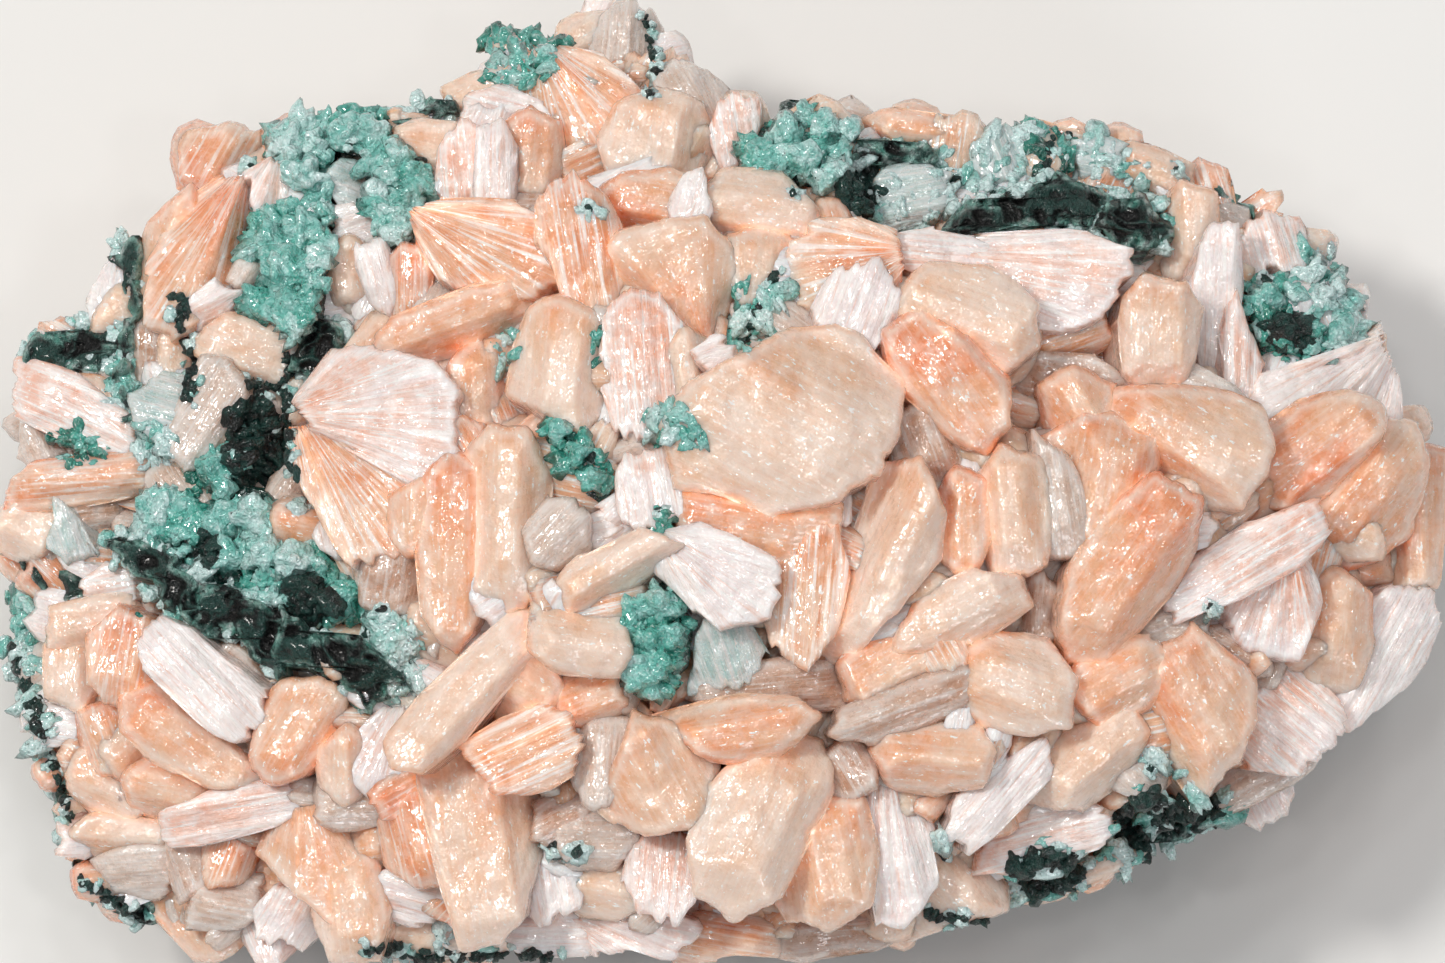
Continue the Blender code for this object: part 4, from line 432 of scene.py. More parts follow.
    Tablet([(89, 23.6), (86, 22.6), (82, 22.8), (79.4, 24.4), (78.8, 27.4), (80.4, 31), (83.6, 34), (87.4, 32),
        (89.6, 28)], 3, (-0.1, 0.1), 165, 7, "salmon"),
    Tablet([(81.6, 31), (84, 27.6), (87.6, 26.6), (89.4, 29.6), (88.4, 33.6), (85.4, 36), (82.6, 34.8)], 4, (0.0, 0.1),
        110, 0, "pearl"),
    Tablet([(88.4, 24.4), (91, 23.2), (95, 24), (99, 24.6), (99.6, 27), (94, 27.4), (89.6, 26.8)], 3, (0.0, 0.1), 5, 0,
        "lilac"),
    Tablet([(90, 26), (93, 24.4), (102, 24), (108, 24), (112.4, 25.2), (112.4, 27.6), (110, 31), (106, 33), (103, 32.5),
        (100, 30), (95, 28)], 4, (-0.1, 0.1), 10, 15, "rose"),
    Tablet([(90, 29.6), (93, 27.2), (98.6, 27.6), (102.6, 30.8), (102.8, 34.6), (99.4, 37), (93.6, 36), (90.4, 33.4)],
        6, (0.0, 0.1), 20, 0, "cream"),
    Tablet([(88.8, 33.4), (91.6, 31.8), (96, 34.6), (99.6, 38.4), (100, 42.4), (98.2, 44.6), (94.6, 43), (90.6, 38.6)],
        5, (0.0, 0.2), 55, 0, "amber"),
    # The middle: the big tablet and the rods and fans round it.
    Tablet([(79, 34), (83.5, 33.4), (86, 35), (89.5, 38.5), (88.8, 43), (87, 47), (84, 49), (80.5, 50), (77, 51),
        (74, 49), (68, 48), (66.5, 42), (70, 38.5), (75, 36)], 7, (0.0, 0.1), 28, 0, "cream"),
    Tablet([(68, 48.4), (74, 49.6), (80.6, 50.4), (83.4, 51), (82.6, 55), (77, 56.6), (71, 55), (68, 52)], 4,
        (0.0, 0.3), 10, 0, "amber"),
    Tablet([(76.4, 54), (79, 52.4), (83, 52.6), (84, 57), (83, 62.6), (80.6, 66), (77.6, 64), (76, 59)], 3, (-0.1, 0.1),
        95, 0, "salmon"),
    Tablet([(61.8, 48), (63, 45.4), (66.4, 45), (68.4, 47.6), (68.6, 51), (66, 53), (62.6, 52.6)], 4, (0.1, 0.0), 80, 0,
        "lilac"),
    Tablet([(51.8, 39), (52.6, 33.8), (53.6, 31.4), (56.4, 30.4), (59.6, 32), (60.5, 36), (60, 41), (58, 42.8),
        (54.6, 40.8)], 5, (-0.1, 0.1), 95, 0, "cream"),
    Tablet([(61, 31.4), (63, 29.4), (66, 30.4), (68, 33.6), (68, 39), (66, 43), (62.6, 43.4), (60.8, 39)], 5,
        (0.0, 0.1), 85, 0, "rose"),
    Tablet([(66.4, 36), (68.6, 33.8), (71.4, 35), (72.2, 38.6), (70.6, 41.6), (67.6, 42.2)], 4, (0.1, 0.1), 80, 0,
        "cream"),
    Tablet([(70, 35.4), (71.6, 34.4), (73.4, 35.2), (73.6, 37), (71.6, 37.8)], 6, (0.1, 0.1), 340, 0, "pearl"),
    Tablet([(47.4, 46), (49.6, 43.2), (52.4, 43.6), (54.4, 47), (54.2, 54), (53, 59.4), (50.4, 61.2), (48, 58.4),
        (47.2, 52)], 5, (0.0, 0.1), 92, 0, "cream"),
    Tablet([(53, 53), (55.6, 50), (57.8, 50.2), (58.8, 52), (58.8, 54.6), (56.4, 56.2), (53.8, 55.6)], 6, (0.0, 0.1),
        315, 0, "grey"),
    Tablet([(56.6, 58.4), (58.6, 56), (62, 55), (64.6, 53.4), (67.2, 54.6), (64.2, 57.4), (60, 60.8), (57.4, 60.6)], 6,
        (0.0, 0.1), 330, 0, "cream"),
    Tablet([(66, 56.4), (67, 53.6), (70, 53), (74, 54.4), (77.8, 57), (76.4, 61), (72, 62.2), (69.6, 60.4)], 5,
        (0.0, 0.2), 35, 8, "pearl"),
    Tablet([(69.6, 63.6), (70.6, 61.8), (74.6, 62), (76.2, 65), (74, 68.4), (69.4, 69)], 2, (0.1, 0.2), 70, 0, "mint"),
    Tablet([(54, 60.2), (60, 60.8), (62.2, 61.6), (62.4, 65), (61.6, 66.8), (59, 66.8), (55.5, 66), (54, 64)], 6,
        (0.0, 0.1), 10, 0, "cream"),
    Tablet([(88, 47), (91.5, 46.5), (93.5, 51), (93, 55), (90, 59), (87, 62), (84, 65.5), (82.5, 65.5), (83, 62),
        (85, 56)], 5, (-0.1, 0.1), 115, 0, "cream"),
    Tablet([(89, 42), (92, 40.4), (95.6, 43), (96, 46.6), (93, 48.4), (89.6, 46.6)], 2, (0.1, 0.1), 70, 0, "brown"),
    Tablet([(83.4, 72.6), (84, 71), (88, 69.6), (93, 67.4), (96.4, 66.8), (96.6, 69), (92, 71.6), (86.6, 73.4)], 5,
        (0.0, 0.2), 160, 0, "brown"),
    Tablet([(84.4, 66.4), (87, 63), (90.6, 61.2), (93, 63.4), (92.4, 66.6), (88, 69), (85, 69)], 3, (0.0, 0.1), 330, 0,
        "peach"),
    Tablet([(91.6, 63.8), (94, 61.8), (96.4, 63.4), (96.2, 66.4), (93.4, 67)], 4, (0.1, 0.1), 60, 0, "salmon"),
    Tablet([(69.4, 69.2), (74, 66.6), (80, 66), (84.6, 66.8), (86, 69.6), (80, 70.4), (73, 70.6)], 1, (0.0, 0.2), 355,
        0, "brown"),
    # Along the bottom in the middle.
    Tablet([(49, 67.6), (51.6, 65.2), (55, 65.8), (56, 69), (54, 71.6), (50.4, 71)], 3, (0.0, 0.1), 30, 0, "cream"),
    Tablet([(55.8, 68.4), (59, 66.8), (62, 67.4), (62, 70.6), (59, 72), (56.4, 71.2)], 3, (0.1, 0.1), 340, 0, "amber"),
    Tablet([(47, 74.5), (50, 72.5), (54, 70.8), (57, 71.5), (58, 74), (57.8, 76.5), (54, 78), (50, 78)], 6, (0.0, 0.1),
        335, 0, "salmon"),
    Tablet([(58, 73.6), (60.4, 71.4), (63, 72), (63.6, 76), (62, 79.6), (59.4, 80), (57.8, 77)], 4, (-0.1, 0.1), 95, 0,
        "grey"),
    Tablet([(64, 71.5), (71, 74), (71, 79), (70, 81.5), (64, 82), (60.6, 80), (62.5, 76)], 6, (0.2, 0.1), 60, 0,
        "peach"),
    Tablet([(66, 71.6), (72, 70.2), (79, 69.8), (80.8, 71.2), (79, 73.3), (75, 75.4), (71.4, 75)], 5, (0.0, 0.2), 350,
        0, "amber"),
    Tablet([(71.6, 78.4), (75, 75.4), (79, 73.4), (81.6, 74.2), (82.6, 78), (80, 83), (77.2, 88.6), (73.4, 90.2),
        (70, 88), (69.6, 83)], 7, (0.0, 0.1), 115, 0, "cream"),
    Tablet([(77.4, 82.4), (81, 79.8), (85.6, 79.8), (86.9, 84), (86.2, 89.6), (83, 91.6), (79, 90.6), (76.8, 87)], 6,
        (0.0, 0.1), 80, 0, "peach"),
    Tablet([(63.4, 84.6), (66, 82.4), (69.4, 83.4), (69.6, 88), (67.6, 91), (64.4, 90.4), (63.2, 87.6)], 4, (-0.1, 0.1),
        95, 0, "rose"),
    Tablet([(57.6, 87.6), (60.4, 86), (63.4, 86.8), (64, 89.4), (61.4, 90.8), (58.4, 90.2)], 3, (0.0, 0.2), 10, 0,
        "cream"),
    Tablet([(56, 83.2), (58.6, 81), (62.4, 81.2), (63.6, 83.6), (61.6, 86), (57.8, 86)], 3, (0.0, 0.2), 0, 0, "grey"),
    Tablet([(54, 80.4), (57, 79), (59.2, 80), (58, 82.4), (55.4, 84.2), (54, 83)], 3, (0.1, 0.2), 330, 0, "brown"),
    Tablet([(53, 86.4), (55.6, 85), (58, 86.6), (57.6, 90), (54.6, 91.4), (52.6, 89.6)], 3, (0.0, 0.2), 80, 0, "pearl"),
    Tablet([(50.2, 92.2), (54, 91), (58, 91.2), (58.6, 94.4), (52.6, 94.5)], 1, (0.0, 0.3), 0, 0, "pearl"),
    Tablet([(57.4, 92.2), (60, 90.6), (66, 91), (69.6, 92.2), (67.4, 94.8), (62, 94), (58.8, 94.6)], 1, (0.0, 0.3), 20,
        9, "rose"),
    Tablet([(66.8, 93.6), (69.6, 91.4), (74, 91), (78, 92), (78.4, 94.6), (74, 94.2), (70, 95.4), (67.6, 95.8)], 0,
        (0.0, 0.3), 10, 0, "orange"),
    Tablet([(78, 92.6), (83, 92), (87.6, 91.2), (88.4, 93.6), (84, 94.2), (80, 95.4), (78.2, 94.8)], 0, (0.0, 0.3), 355,
        0, "brown"),
    Tablet([(84.2, 78.6), (87, 76.2), (91, 77.6), (93, 82), (92.8, 88), (90.6, 92.4), (87.6, 91.6), (87, 86),
        (86.4, 81)], 3, (0.1, 0.1), 85, 12, "lilac"),
    Tablet([(82.6, 75.4), (84.6, 73.8), (87, 75), (87, 78), (84.6, 79.4), (82.8, 78)], 3, (0.0, 0.1), 60, 0, "brown"),
    Tablet([(87.5, 74.5), (88.5, 73), (93, 72.2), (97, 73), (98.5, 75), (97.5, 77.5), (93, 78.5), (89, 77.5)], 6,
        (0.0, 0.1), 5, 0, "peach"),
    # Upper right.
    Tablet([(97.2, 14.6), (99, 12.7), (102, 12.8), (102.4, 15), (101, 18), (97.8, 18.6)], 0, (0.0, 0.0), 70, 0, "mint"),
    Tablet([(107.4, 14.4), (111, 13.8), (113, 14.6), (111.6, 17.4), (108.4, 17)], 0, (0.1, 0.0), 15, 0, "mint"),
    Tablet([(111.8, 17.4), (113, 14.6), (117, 15.8), (119, 16.6), (118.6, 18.4), (115, 18.6)], 0, (0.1, 0.0), 20, 0,
        "peach"),
    Tablet([(117.4, 20.8), (118.4, 18.8), (121, 20), (121.4, 24), (120, 28), (117.4, 27.6), (116.4, 25)], 1, (0.1, 0.1),
        90, 0, "cream"),
    Tablet([(119.8, 27), (121.6, 22.6), (123.4, 22.8), (123.4, 30), (122.4, 38), (120.8, 39), (119.6, 33)], 1,
        (0.1, 0.1), 92, 0, "pearl"),
    Tablet([(122.4, 33), (123.4, 30), (124.4, 33.6), (125.6, 36.6), (125, 40), (123.2, 39.4)], 1, (0.2, 0.1), 92, 0,
        "rose"),
    Tablet([(123.8, 24), (126.6, 21.4), (129.6, 22), (130.4, 24), (130, 26.6), (126.8, 26.8), (124.4, 27.6)], 0,
        (0.1, 0.0), 75, 0, "rose"),
    Tablet([(112.5, 30.4), (114.2, 28.5), (117.5, 29), (119, 31), (118.6, 35.2), (117.4, 38.6), (115, 39.6),
        (112.6, 37)], 5, (0.0, 0.1), 92, 0, "cream"),
    Tablet([(102.8, 34.4), (105, 33), (109.6, 31.6), (110.4, 34), (108, 36), (103.4, 36.4)], 1, (0.1, 0.2), 340, 0,
        "orange"),
    Tablet([(101, 37.6), (104, 35.8), (109, 36.4), (112.4, 38.4), (111.4, 41), (106, 41.4), (102, 41)], 0, (0.0, 0.2),
        10, 0, "brown"),
    Tablet([(104.4, 39), (107, 37.4), (110.4, 39), (110, 42), (107, 44.4), (104.6, 42.6)], 3, (0.0, 0.1), 60, 0,
        "peach"),
    Tablet([(138, 33.6), (135.6, 36.8), (131.4, 37.6), (126.6, 37.8), (125, 40.4), (126.4, 43.4), (131, 41.8),
        (136, 40.6), (139.6, 42.2), (139.6, 39.2)], 1, (0.2, 0.1), 140, 8, "pearl"),
    # Right.
    Tablet([(110, 40), (115, 39.2), (120, 39.5), (125, 41), (126.2, 44), (125, 48), (123, 50.2), (119, 50), (116, 47),
        (113, 44)], 6, (0.0, 0.1), 30, 0, "peach"),
    Tablet([(105, 44), (108, 42.2), (111, 42), (114.5, 44), (115, 46.5), (113, 49), (109, 54), (106, 47)], 5,
        (0.0, 0.1), 100, 0, "amber"),
    Tablet([(115, 48), (118.8, 50), (118.5, 54), (116.5, 58), (113, 62), (110, 65), (107, 65.5), (106, 62), (107, 57),
        (110, 52)], 7, (0.0, 0.1), 125, 0, "amber"),
    Tablet([(103.5, 44), (106, 46), (108.3, 51), (107.8, 55.5), (105, 55), (104, 49)], 4, (0.1, 0.1), 80, 0, "grey"),
    Tablet([(98, 48), (100, 45.4), (103.6, 46.6), (104.6, 51), (103.4, 56), (100, 57.2), (98, 53.6)], 5, (0.0, 0.1), 85,
        0, "cream"),
    Tablet([(94, 50), (95.6, 47.4), (97.8, 48.4), (98, 54), (96.4, 57), (94.2, 55.4)], 4, (0.0, 0.1), 90, 0, "amber"),
    Tablet([(125.5, 47), (127, 43), (131, 40.5), (134.5, 39.8), (137.5, 41), (137.5, 43), (135, 46), (132, 49),
        (129, 50.5), (126.5, 50)], 5, (0.0, 0.1), 325, 0, "amber"),
    Tablet([(136.5, 44), (138.5, 42.5), (141, 43), (142, 46), (141.5, 49), (140, 53), (137, 55.5), (134, 56.5),
        (131, 55), (130.5, 52), (134.5, 47.5)], 4, (0.1, 0.1), 310, 0, "amber"),
    Tablet([(140.8, 46.4), (142.5, 45.2), (144.2, 45.3), (144.3, 50), (143.5, 55), (142.8, 58.4), (139, 59),
        (138.4, 56.4), (141, 51)], 0, (0.1, 0.0), 90, 0, "peach"),
    Tablet([(131, 50.6), (132, 53), (129, 56), (122, 59.6), (117, 61.6), (115.6, 59.4), (119, 56.4), (125, 52.6)], 5,
        (0.0, 0.1), 150, 0, "rose"),
    Tablet([(124, 57.6), (130, 55.5), (131, 60), (129, 65.5), (125, 64.5), (122, 62)], 4, (0.0, 0.1), 100, 7, "rose"),
    Tablet([(130.4, 59), (133, 57.4), (136, 59.4), (136.2, 64), (134.4, 68.4), (131.6, 69), (129.8, 65)], 3, (0.1, 0.1),
        95, 0, "peach"),
    Tablet([(136.4, 60.4), (139, 58.9), (143, 59.5), (143.5, 62), (142, 65.4), (138.4, 69.6), (134, 72.8),
        (130.4, 71.4), (134.6, 67.6)], 1, (0.2, 0.1), 120, 0, "pearl"),
    Tablet([(101.4, 59), (104, 57.4), (106, 60), (105.4, 63.6), (102.6, 64), (101, 62)], 1, (0.0, 0.1), 95, 0, "brown"),
    Tablet([(90, 64), (92, 60), (97, 57.5), (101, 58), (102, 60), (96, 64)], 5, (0.0, 0.2), 330, 0, "cream"),
    Tablet([(112.6, 62.4), (116, 60.8), (120, 61.4), (120, 64), (116, 65.4), (113, 65)], 2, (0.0, 0.1), 340, 0, "grey"),
    # Lower right.
    Tablet([(96, 65), (100, 63.7), (104, 64.5), (106.5, 68), (106, 71.5), (103, 72.5), (98, 72), (95.5, 69)], 6,
        (0.0, 0.1), 20, 0, "cream"),
    Tablet([(106.5, 68), (109, 65), (114, 64), (116, 66), (114, 70), (110, 72)], 5, (0.0, 0.1), 330, 0, "peach"),
    Tablet([(116, 65), (118.5, 63), (124, 68), (124.3, 71), (123, 75), (119, 79), (116.6, 75), (113.5, 72)], 6,
        (0.1, 0.1), 60, 0, "peach"),
    Tablet([(119.4, 63), (122, 62.8), (125.8, 64.6), (126.4, 67), (123.4, 67.2)], 2, (0.1, 0.1), 30, 0, "brown"),
    Tablet([(124.4, 70), (128, 66.6), (131, 68), (134.2, 72), (132, 74.6), (129, 76.6), (125, 76), (123.6, 73.4)], 2,
        (0.1, 0.1), 40, 0, "rose"),
    Tablet([(112.6, 71), (113.6, 72.8), (112.4, 76), (107.6, 80), (102.4, 79.2), (101, 77), (104, 74)], 5, (0.0, 0.1),
        140, 0, "cream"),
    Tablet([(103.6, 74.4), (104.4, 76.6), (100, 81), (96.6, 84), (94.4, 83), (96, 79.4), (100, 76.4)], 5, (0.0, 0.1),
        130, 0, "pearl"),
    Tablet([(98.6, 83.6), (102, 80.4), (108, 80.2), (110.8, 81.6), (109.4, 84), (103, 83.8), (100.2, 86.4), (98, 86.4)],
        2, (0.0, 0.2), 345, 0, "rose"),
    Tablet([(92.8, 86), (95, 83.6), (97.6, 87), (100, 88.6), (100, 90), (94.6, 91.4), (91.6, 92.4)], 1, (0.0, 0.3), 50,
        0, "cream"),
    Tablet([(120.8, 80.6), (122.4, 77), (127, 77), (131, 75), (130.4, 76.6), (125, 79.4), (121, 81.4)], -1, (0.1, 0.1),
        330, 0, "grey"),
    Tablet([(100, 89.8), (103, 88.8), (108, 87.4), (110.8, 85.8), (113, 85.4), (111, 86.4), (107.8, 87.6),
        (103.8, 89.2)], -2, (0.0, 0.2), 340, 0, "cream"),
]

# The rock that stands up between the crystals.
RIDGES = [
    Ridge([(11.5, 53.5), (15, 54), (17.5, 56), (20, 59), (20, 62.5), (17.5, 61.5), (16, 59.4), (14, 57.5), (12, 56)],
        0.5),
    Ridge([(19, 58.6), (26, 60), (29, 61), (29.4, 66.8), (27.5, 67.2), (25.5, 64.5), (24, 63.5), (19, 62.2)], 0.5),
    Ridge([(28.4, 60.8), (31, 63.4), (36, 64), (40, 66), (40.3, 67), (38, 70.4), (36.5, 70.8), (35.5, 69), (33, 67.5),
        (28.6, 66.8)], 1.0),
    Ridge([(1.8, 35.8), (6.5, 32.5), (10.5, 31.8), (11.8, 34.5), (10, 37.2), (7.5, 37), (4, 36.2)], -0.5),
    Ridge([(11.5, 24.8), (12.6, 23.6), (14, 24.4), (14.2, 27), (13, 32), (12.9, 37), (13.1, 42.4), (12, 42.4),
        (11.6, 37), (12, 31), (11.6, 27.6)], 0.0),
    Ridge([(29.6, 34), (31.6, 31.6), (34, 32.6), (34.2, 36), (32, 38.8), (29.8, 37.6)], -2.0),
    Ridge([(95, 23), (96, 20.5), (100, 20), (103.5, 19), (104.6, 17.6), (108, 18.5), (111, 20), (110, 22.8),
        (106, 22.8), (102, 23.2), (98, 23.8)], 1.5),
    Ridge([(110, 19.9), (114, 19.5), (117.2, 21.5), (116.5, 23), (115, 25), (112, 24), (109.4, 23.4)], 1.5),
    Ridge([(111, 81.6), (115, 79), (120.6, 79.4), (121.4, 81), (118, 83.2), (113, 85), (111, 84.4)], -6.0),
    Ridge([(101, 86), (103, 84.6), (107.4, 84.8), (107.6, 86.6), (104, 88.2), (101.4, 87.6)], -6.0),
    Ridge([(0.6, 64.6), (3, 64), (5, 66), (4.6, 70), (3, 72.4), (2.4, 71.3), (1.7, 68)], -6),
    Ridge([(3.9, 74.8), (6, 75.4), (7.4, 78.6), (7, 83.5), (5.9, 79.5), (5, 77.4)], -6),
    Ridge([(7.6, 86.5), (10, 88.4), (15.6, 89.6), (15.4, 92), (11.5, 91.0), (9.5, 89.3)], -6),
    Ridge([(119.6, 17.4), (123, 18.6), (126, 20.4), (126.2, 21.4), (123, 20.8), (120, 19.6)], -2),
    Ridge([(85, 14.8), (89, 14), (94.4, 14.4), (94, 16), (89, 16), (85.4, 16.6)], -1),
    Ridge([(38.6, 11.4), (40.6, 10.8), (44.6, 9.4), (45.4, 11), (43.6, 12.2), (39.4, 12.4)], -1),
    Ridge([(1.4, 56.2), (5, 56.6), (8.4, 57), (8.6, 60), (5.8, 60.2), (3.4, 57.6)], -3),
]

# The crusts of green chalcedony.
CRUSTS = [
    Crust("green_crust_upper_left", [
        [(27, 13), (29, 12), (32, 12.4), (32.6, 15.4), (32.6, 21), (29, 22), (27.6, 17)],
        [(25.2, 23), (27, 21.4), (32.6, 20.5), (32.8, 26), (32.4, 31), (30, 33), (26.5, 32.4), (25, 28)],
        [(31.6, 12.4), (34, 10.8), (38.3, 11.2), (38.6, 13), (38.4, 15.6), (34.4, 15.4), (32.4, 14.6)],
        [(38, 14.8), (42.4, 15.8), (42, 18.6), (41.4, 24.2), (38.6, 23.6), (37.2, 20), (37.2, 16)],
    ], 1.0, [
        (28.9, 13.9, 1.9), (31.2, 14.4, 1.5), (30.5, 18, 2.2), (28.8, 16.2, 1.5), (27.4, 24, 2.0), (30.4, 23.2, 2.2),
        (28, 27.4, 2.4), (30.8, 27, 1.9), (29, 31, 1.9), (34.6, 13, 1.9), (37, 13.1, 1.6), (39.6, 17, 1.9),
        (40.6, 20, 1.6), (39.2, 21.8, 1.4), (40.2, 23, 1.2),
    ]),
    Crust("green_crust_hollow", [
        [(14, 50), (16, 48.8), (19.4, 49.2), (20.8, 51.6), (20.4, 56), (18, 56), (16, 54.2), (14.2, 52.6)],
        [(20, 52), (22.4, 48.8), (27, 49.2), (30.6, 52.6), (33, 57), (31.4, 62), (29, 60.2), (26, 59.2), (20.6, 58.0)],
        [(32, 57.6), (35, 57.4), (36.6, 61), (40.4, 62.8), (40.4, 65), (36.4, 63.2), (31.6, 62.6)],
        [(39.4, 62.6), (42.4, 62.4), (43.6, 65.4), (42.8, 69.6), (41.2, 69.6), (40.8, 66.4), (40, 65)],
        [(19, 46.8), (21, 44.6), (24.6, 44.2), (25.4, 47), (23.6, 50), (20, 50)],
    ], -1.0, [
        (16.4, 50.6, 1.9), (18.4, 53, 1.6), (18.8, 50.6, 1.3), (22.4, 52, 2.0), (25.6, 51.6, 2.0), (23, 55.6, 1.9),
        (26.6, 55.4, 2.0), (29.6, 56.2, 1.9), (30.8, 59.6, 1.5), (34.4, 60, 1.9), (38, 63.4, 1.3), (41.4, 64.4, 1.9),
        (42, 67.6, 1.4), (21.6, 46.8, 1.9), (23.8, 46, 1.4), (22.6, 48.8, 1.3),
    ]),
    Crust("green_crust_upper_right", [
        [(73.6, 16), (76, 13), (78, 10.4), (80, 10.2), (83, 10.6), (85, 11.8), (86.4, 13), (84.6, 15), (84, 18.2),
            (82, 20.4), (80, 17.6), (76, 17.2)],
    ], 1.5, [(76, 15.4, 1.5), (78.6, 13.2, 1.9), (80.4, 16.2, 1.9), (82.4, 18, 1.4), (82.6, 12.6, 1.5),
        (84.8, 12.8, 1.2)]),
    Crust("green_crust_right", [
        [(124, 28.6), (127.4, 27.4), (131, 27.6), (134.6, 29), (136.4, 32), (136.0, 35), (131, 36.6), (126.6, 36),
            (124.6, 32)],
    ], 0.0, [(126.4, 30, 1.9), (129.4, 29.6, 1.5), (132.4, 30.4, 1.9), (134.4, 32.6, 1.4), (130.8, 33.6, 2.0),
        (127.6, 33.6, 1.5)]),
    Crust("green_crust_middle", [
        [(63, 61), (65.4, 57.8), (68.4, 58.2), (69, 62), (68.4, 66), (66.4, 68.6), (64, 68)],
    ], 3.0, [(66.4, 60.2, 1.9), (65.4, 63.6, 1.5), (67.4, 63.4, 1.2), (65.8, 66.4, 1.5)]),
    Crust("green_crust_strip", [
        [(54.2, 42.4), (55.6, 41.4), (58.6, 43.8), (60.8, 47.4), (61.4, 50.6), (60, 50), (58.4, 49), (56.6, 46.4)],
    ], 4.0, [(56, 43.2, 1.2), (58, 45.4, 1.3), (59.4, 47.8, 1.3)]),
    Crust("green_crust_edge", [
        [(0.8, 59.4), (2.4, 58.2), (4.4, 59), (5, 62), (3.4, 64), (1, 63)],
    ], -5.0, [(2.6, 60, 1.4), (3.2, 62.4, 1.4)]),
]

# Small dark spots ringed with mint, each where it lies on the chart.
EYES = [
    (24.7, 16.5), (30.1, 50.8), (37.2, 63.2), (38.5, 60.7), (59.4, 45.7), (65.3, 42.5), (66.0, 51.3), (59.0, 21.0),
    (65.7, 7.0), (65.0, 9.5), (79.3, 19.5), (126.5, 28.0), (99.2, 19.2), (95.5, 17.8), (110.5, 15.7), (117.8, 17.0),
    (115.7, 75.6), (114.3, 76.5), (94.0, 83.2), (94.2, 85.2), (40.0, 94.0), (44.3, 93.0), (55.5, 84.0), (58.0, 84.5),
    (120.5, 60.5),
]

# Thin veins of celadonite between and over the crystals: the way each runs on the chart, and its width in mm.
VEINS = [
    ([(18.0, 29.5), (18.8, 35.0), (19.5, 37.5), (19.0, 40.0)], 0.9),
    ([(24.8, 38.7), (28.0, 38.9), (29.4, 35.5)], 0.9),
    ([(28.8, 39.0), (28.5, 43.0), (30.0, 47.5)], 0.9),
    ([(77.5, 27.5), (76.0, 31.0), (74.0, 34.5)], 0.8),
    ([(64.2, 1.2), (65.0, 4.0), (65.3, 6.0)], 0.6),
    ([(104.8, 14.0), (104.8, 19.0)], 0.7),
    ([(37.5, 94.3), (42.0, 95.0), (46.0, 95.2), (55.5, 94.8)], 0.9),
    ([(93.0, 90.8), (98.5, 91.6)], 0.9),
    ([(1.6, 64.5), (2.6, 68.0), (4.6, 73.0)], 0.9),
    ([(5.0, 75.0), (6.4, 79.5), (7.6, 82.5)], 0.8),
    ([(8.5, 87.5), (11.5, 89.5), (15.0, 91.0)], 0.8),
]

# Patches of celadonite: the corners of each on the chart, and how far apart its grains lie (mm).
DARK_PATCHES = [
    ([(111.0, 80.5), (114.5, 79.0), (121.5, 80.0), (121.0, 84.5), (116.0, 85.5), (112.0, 84.5)], 0.75),
    ([(101.0, 85.5), (104.0, 84.5), (107.5, 85.5), (107.0, 88.3), (102.5, 88.5)], 0.75),
    ([(23.5, 40.5), (26.5, 40.0), (28.0, 44.0), (27.2, 47.5), (24.0, 48.0), (22.8, 44.5)], 0.9),
    ([(20.0, 53.5), (21.5, 53.0), (22.5, 55.0), (21.5, 56.0), (20.2, 55.5)], 0.8),
    ([(30.0, 58.5), (32.0, 58.0), (33.5, 60.0), (32.5, 61.5), (30.5, 61.0)], 0.8),
    ([(84.0, 18.0), (86.5, 17.2), (88.3, 19.0), (87.0, 21.0), (84.5, 20.6)], 0.8),
    ([(127.6, 32.2), (130.6, 32.0), (131.0, 34.2), (128.4, 34.8)], 0.8),
]

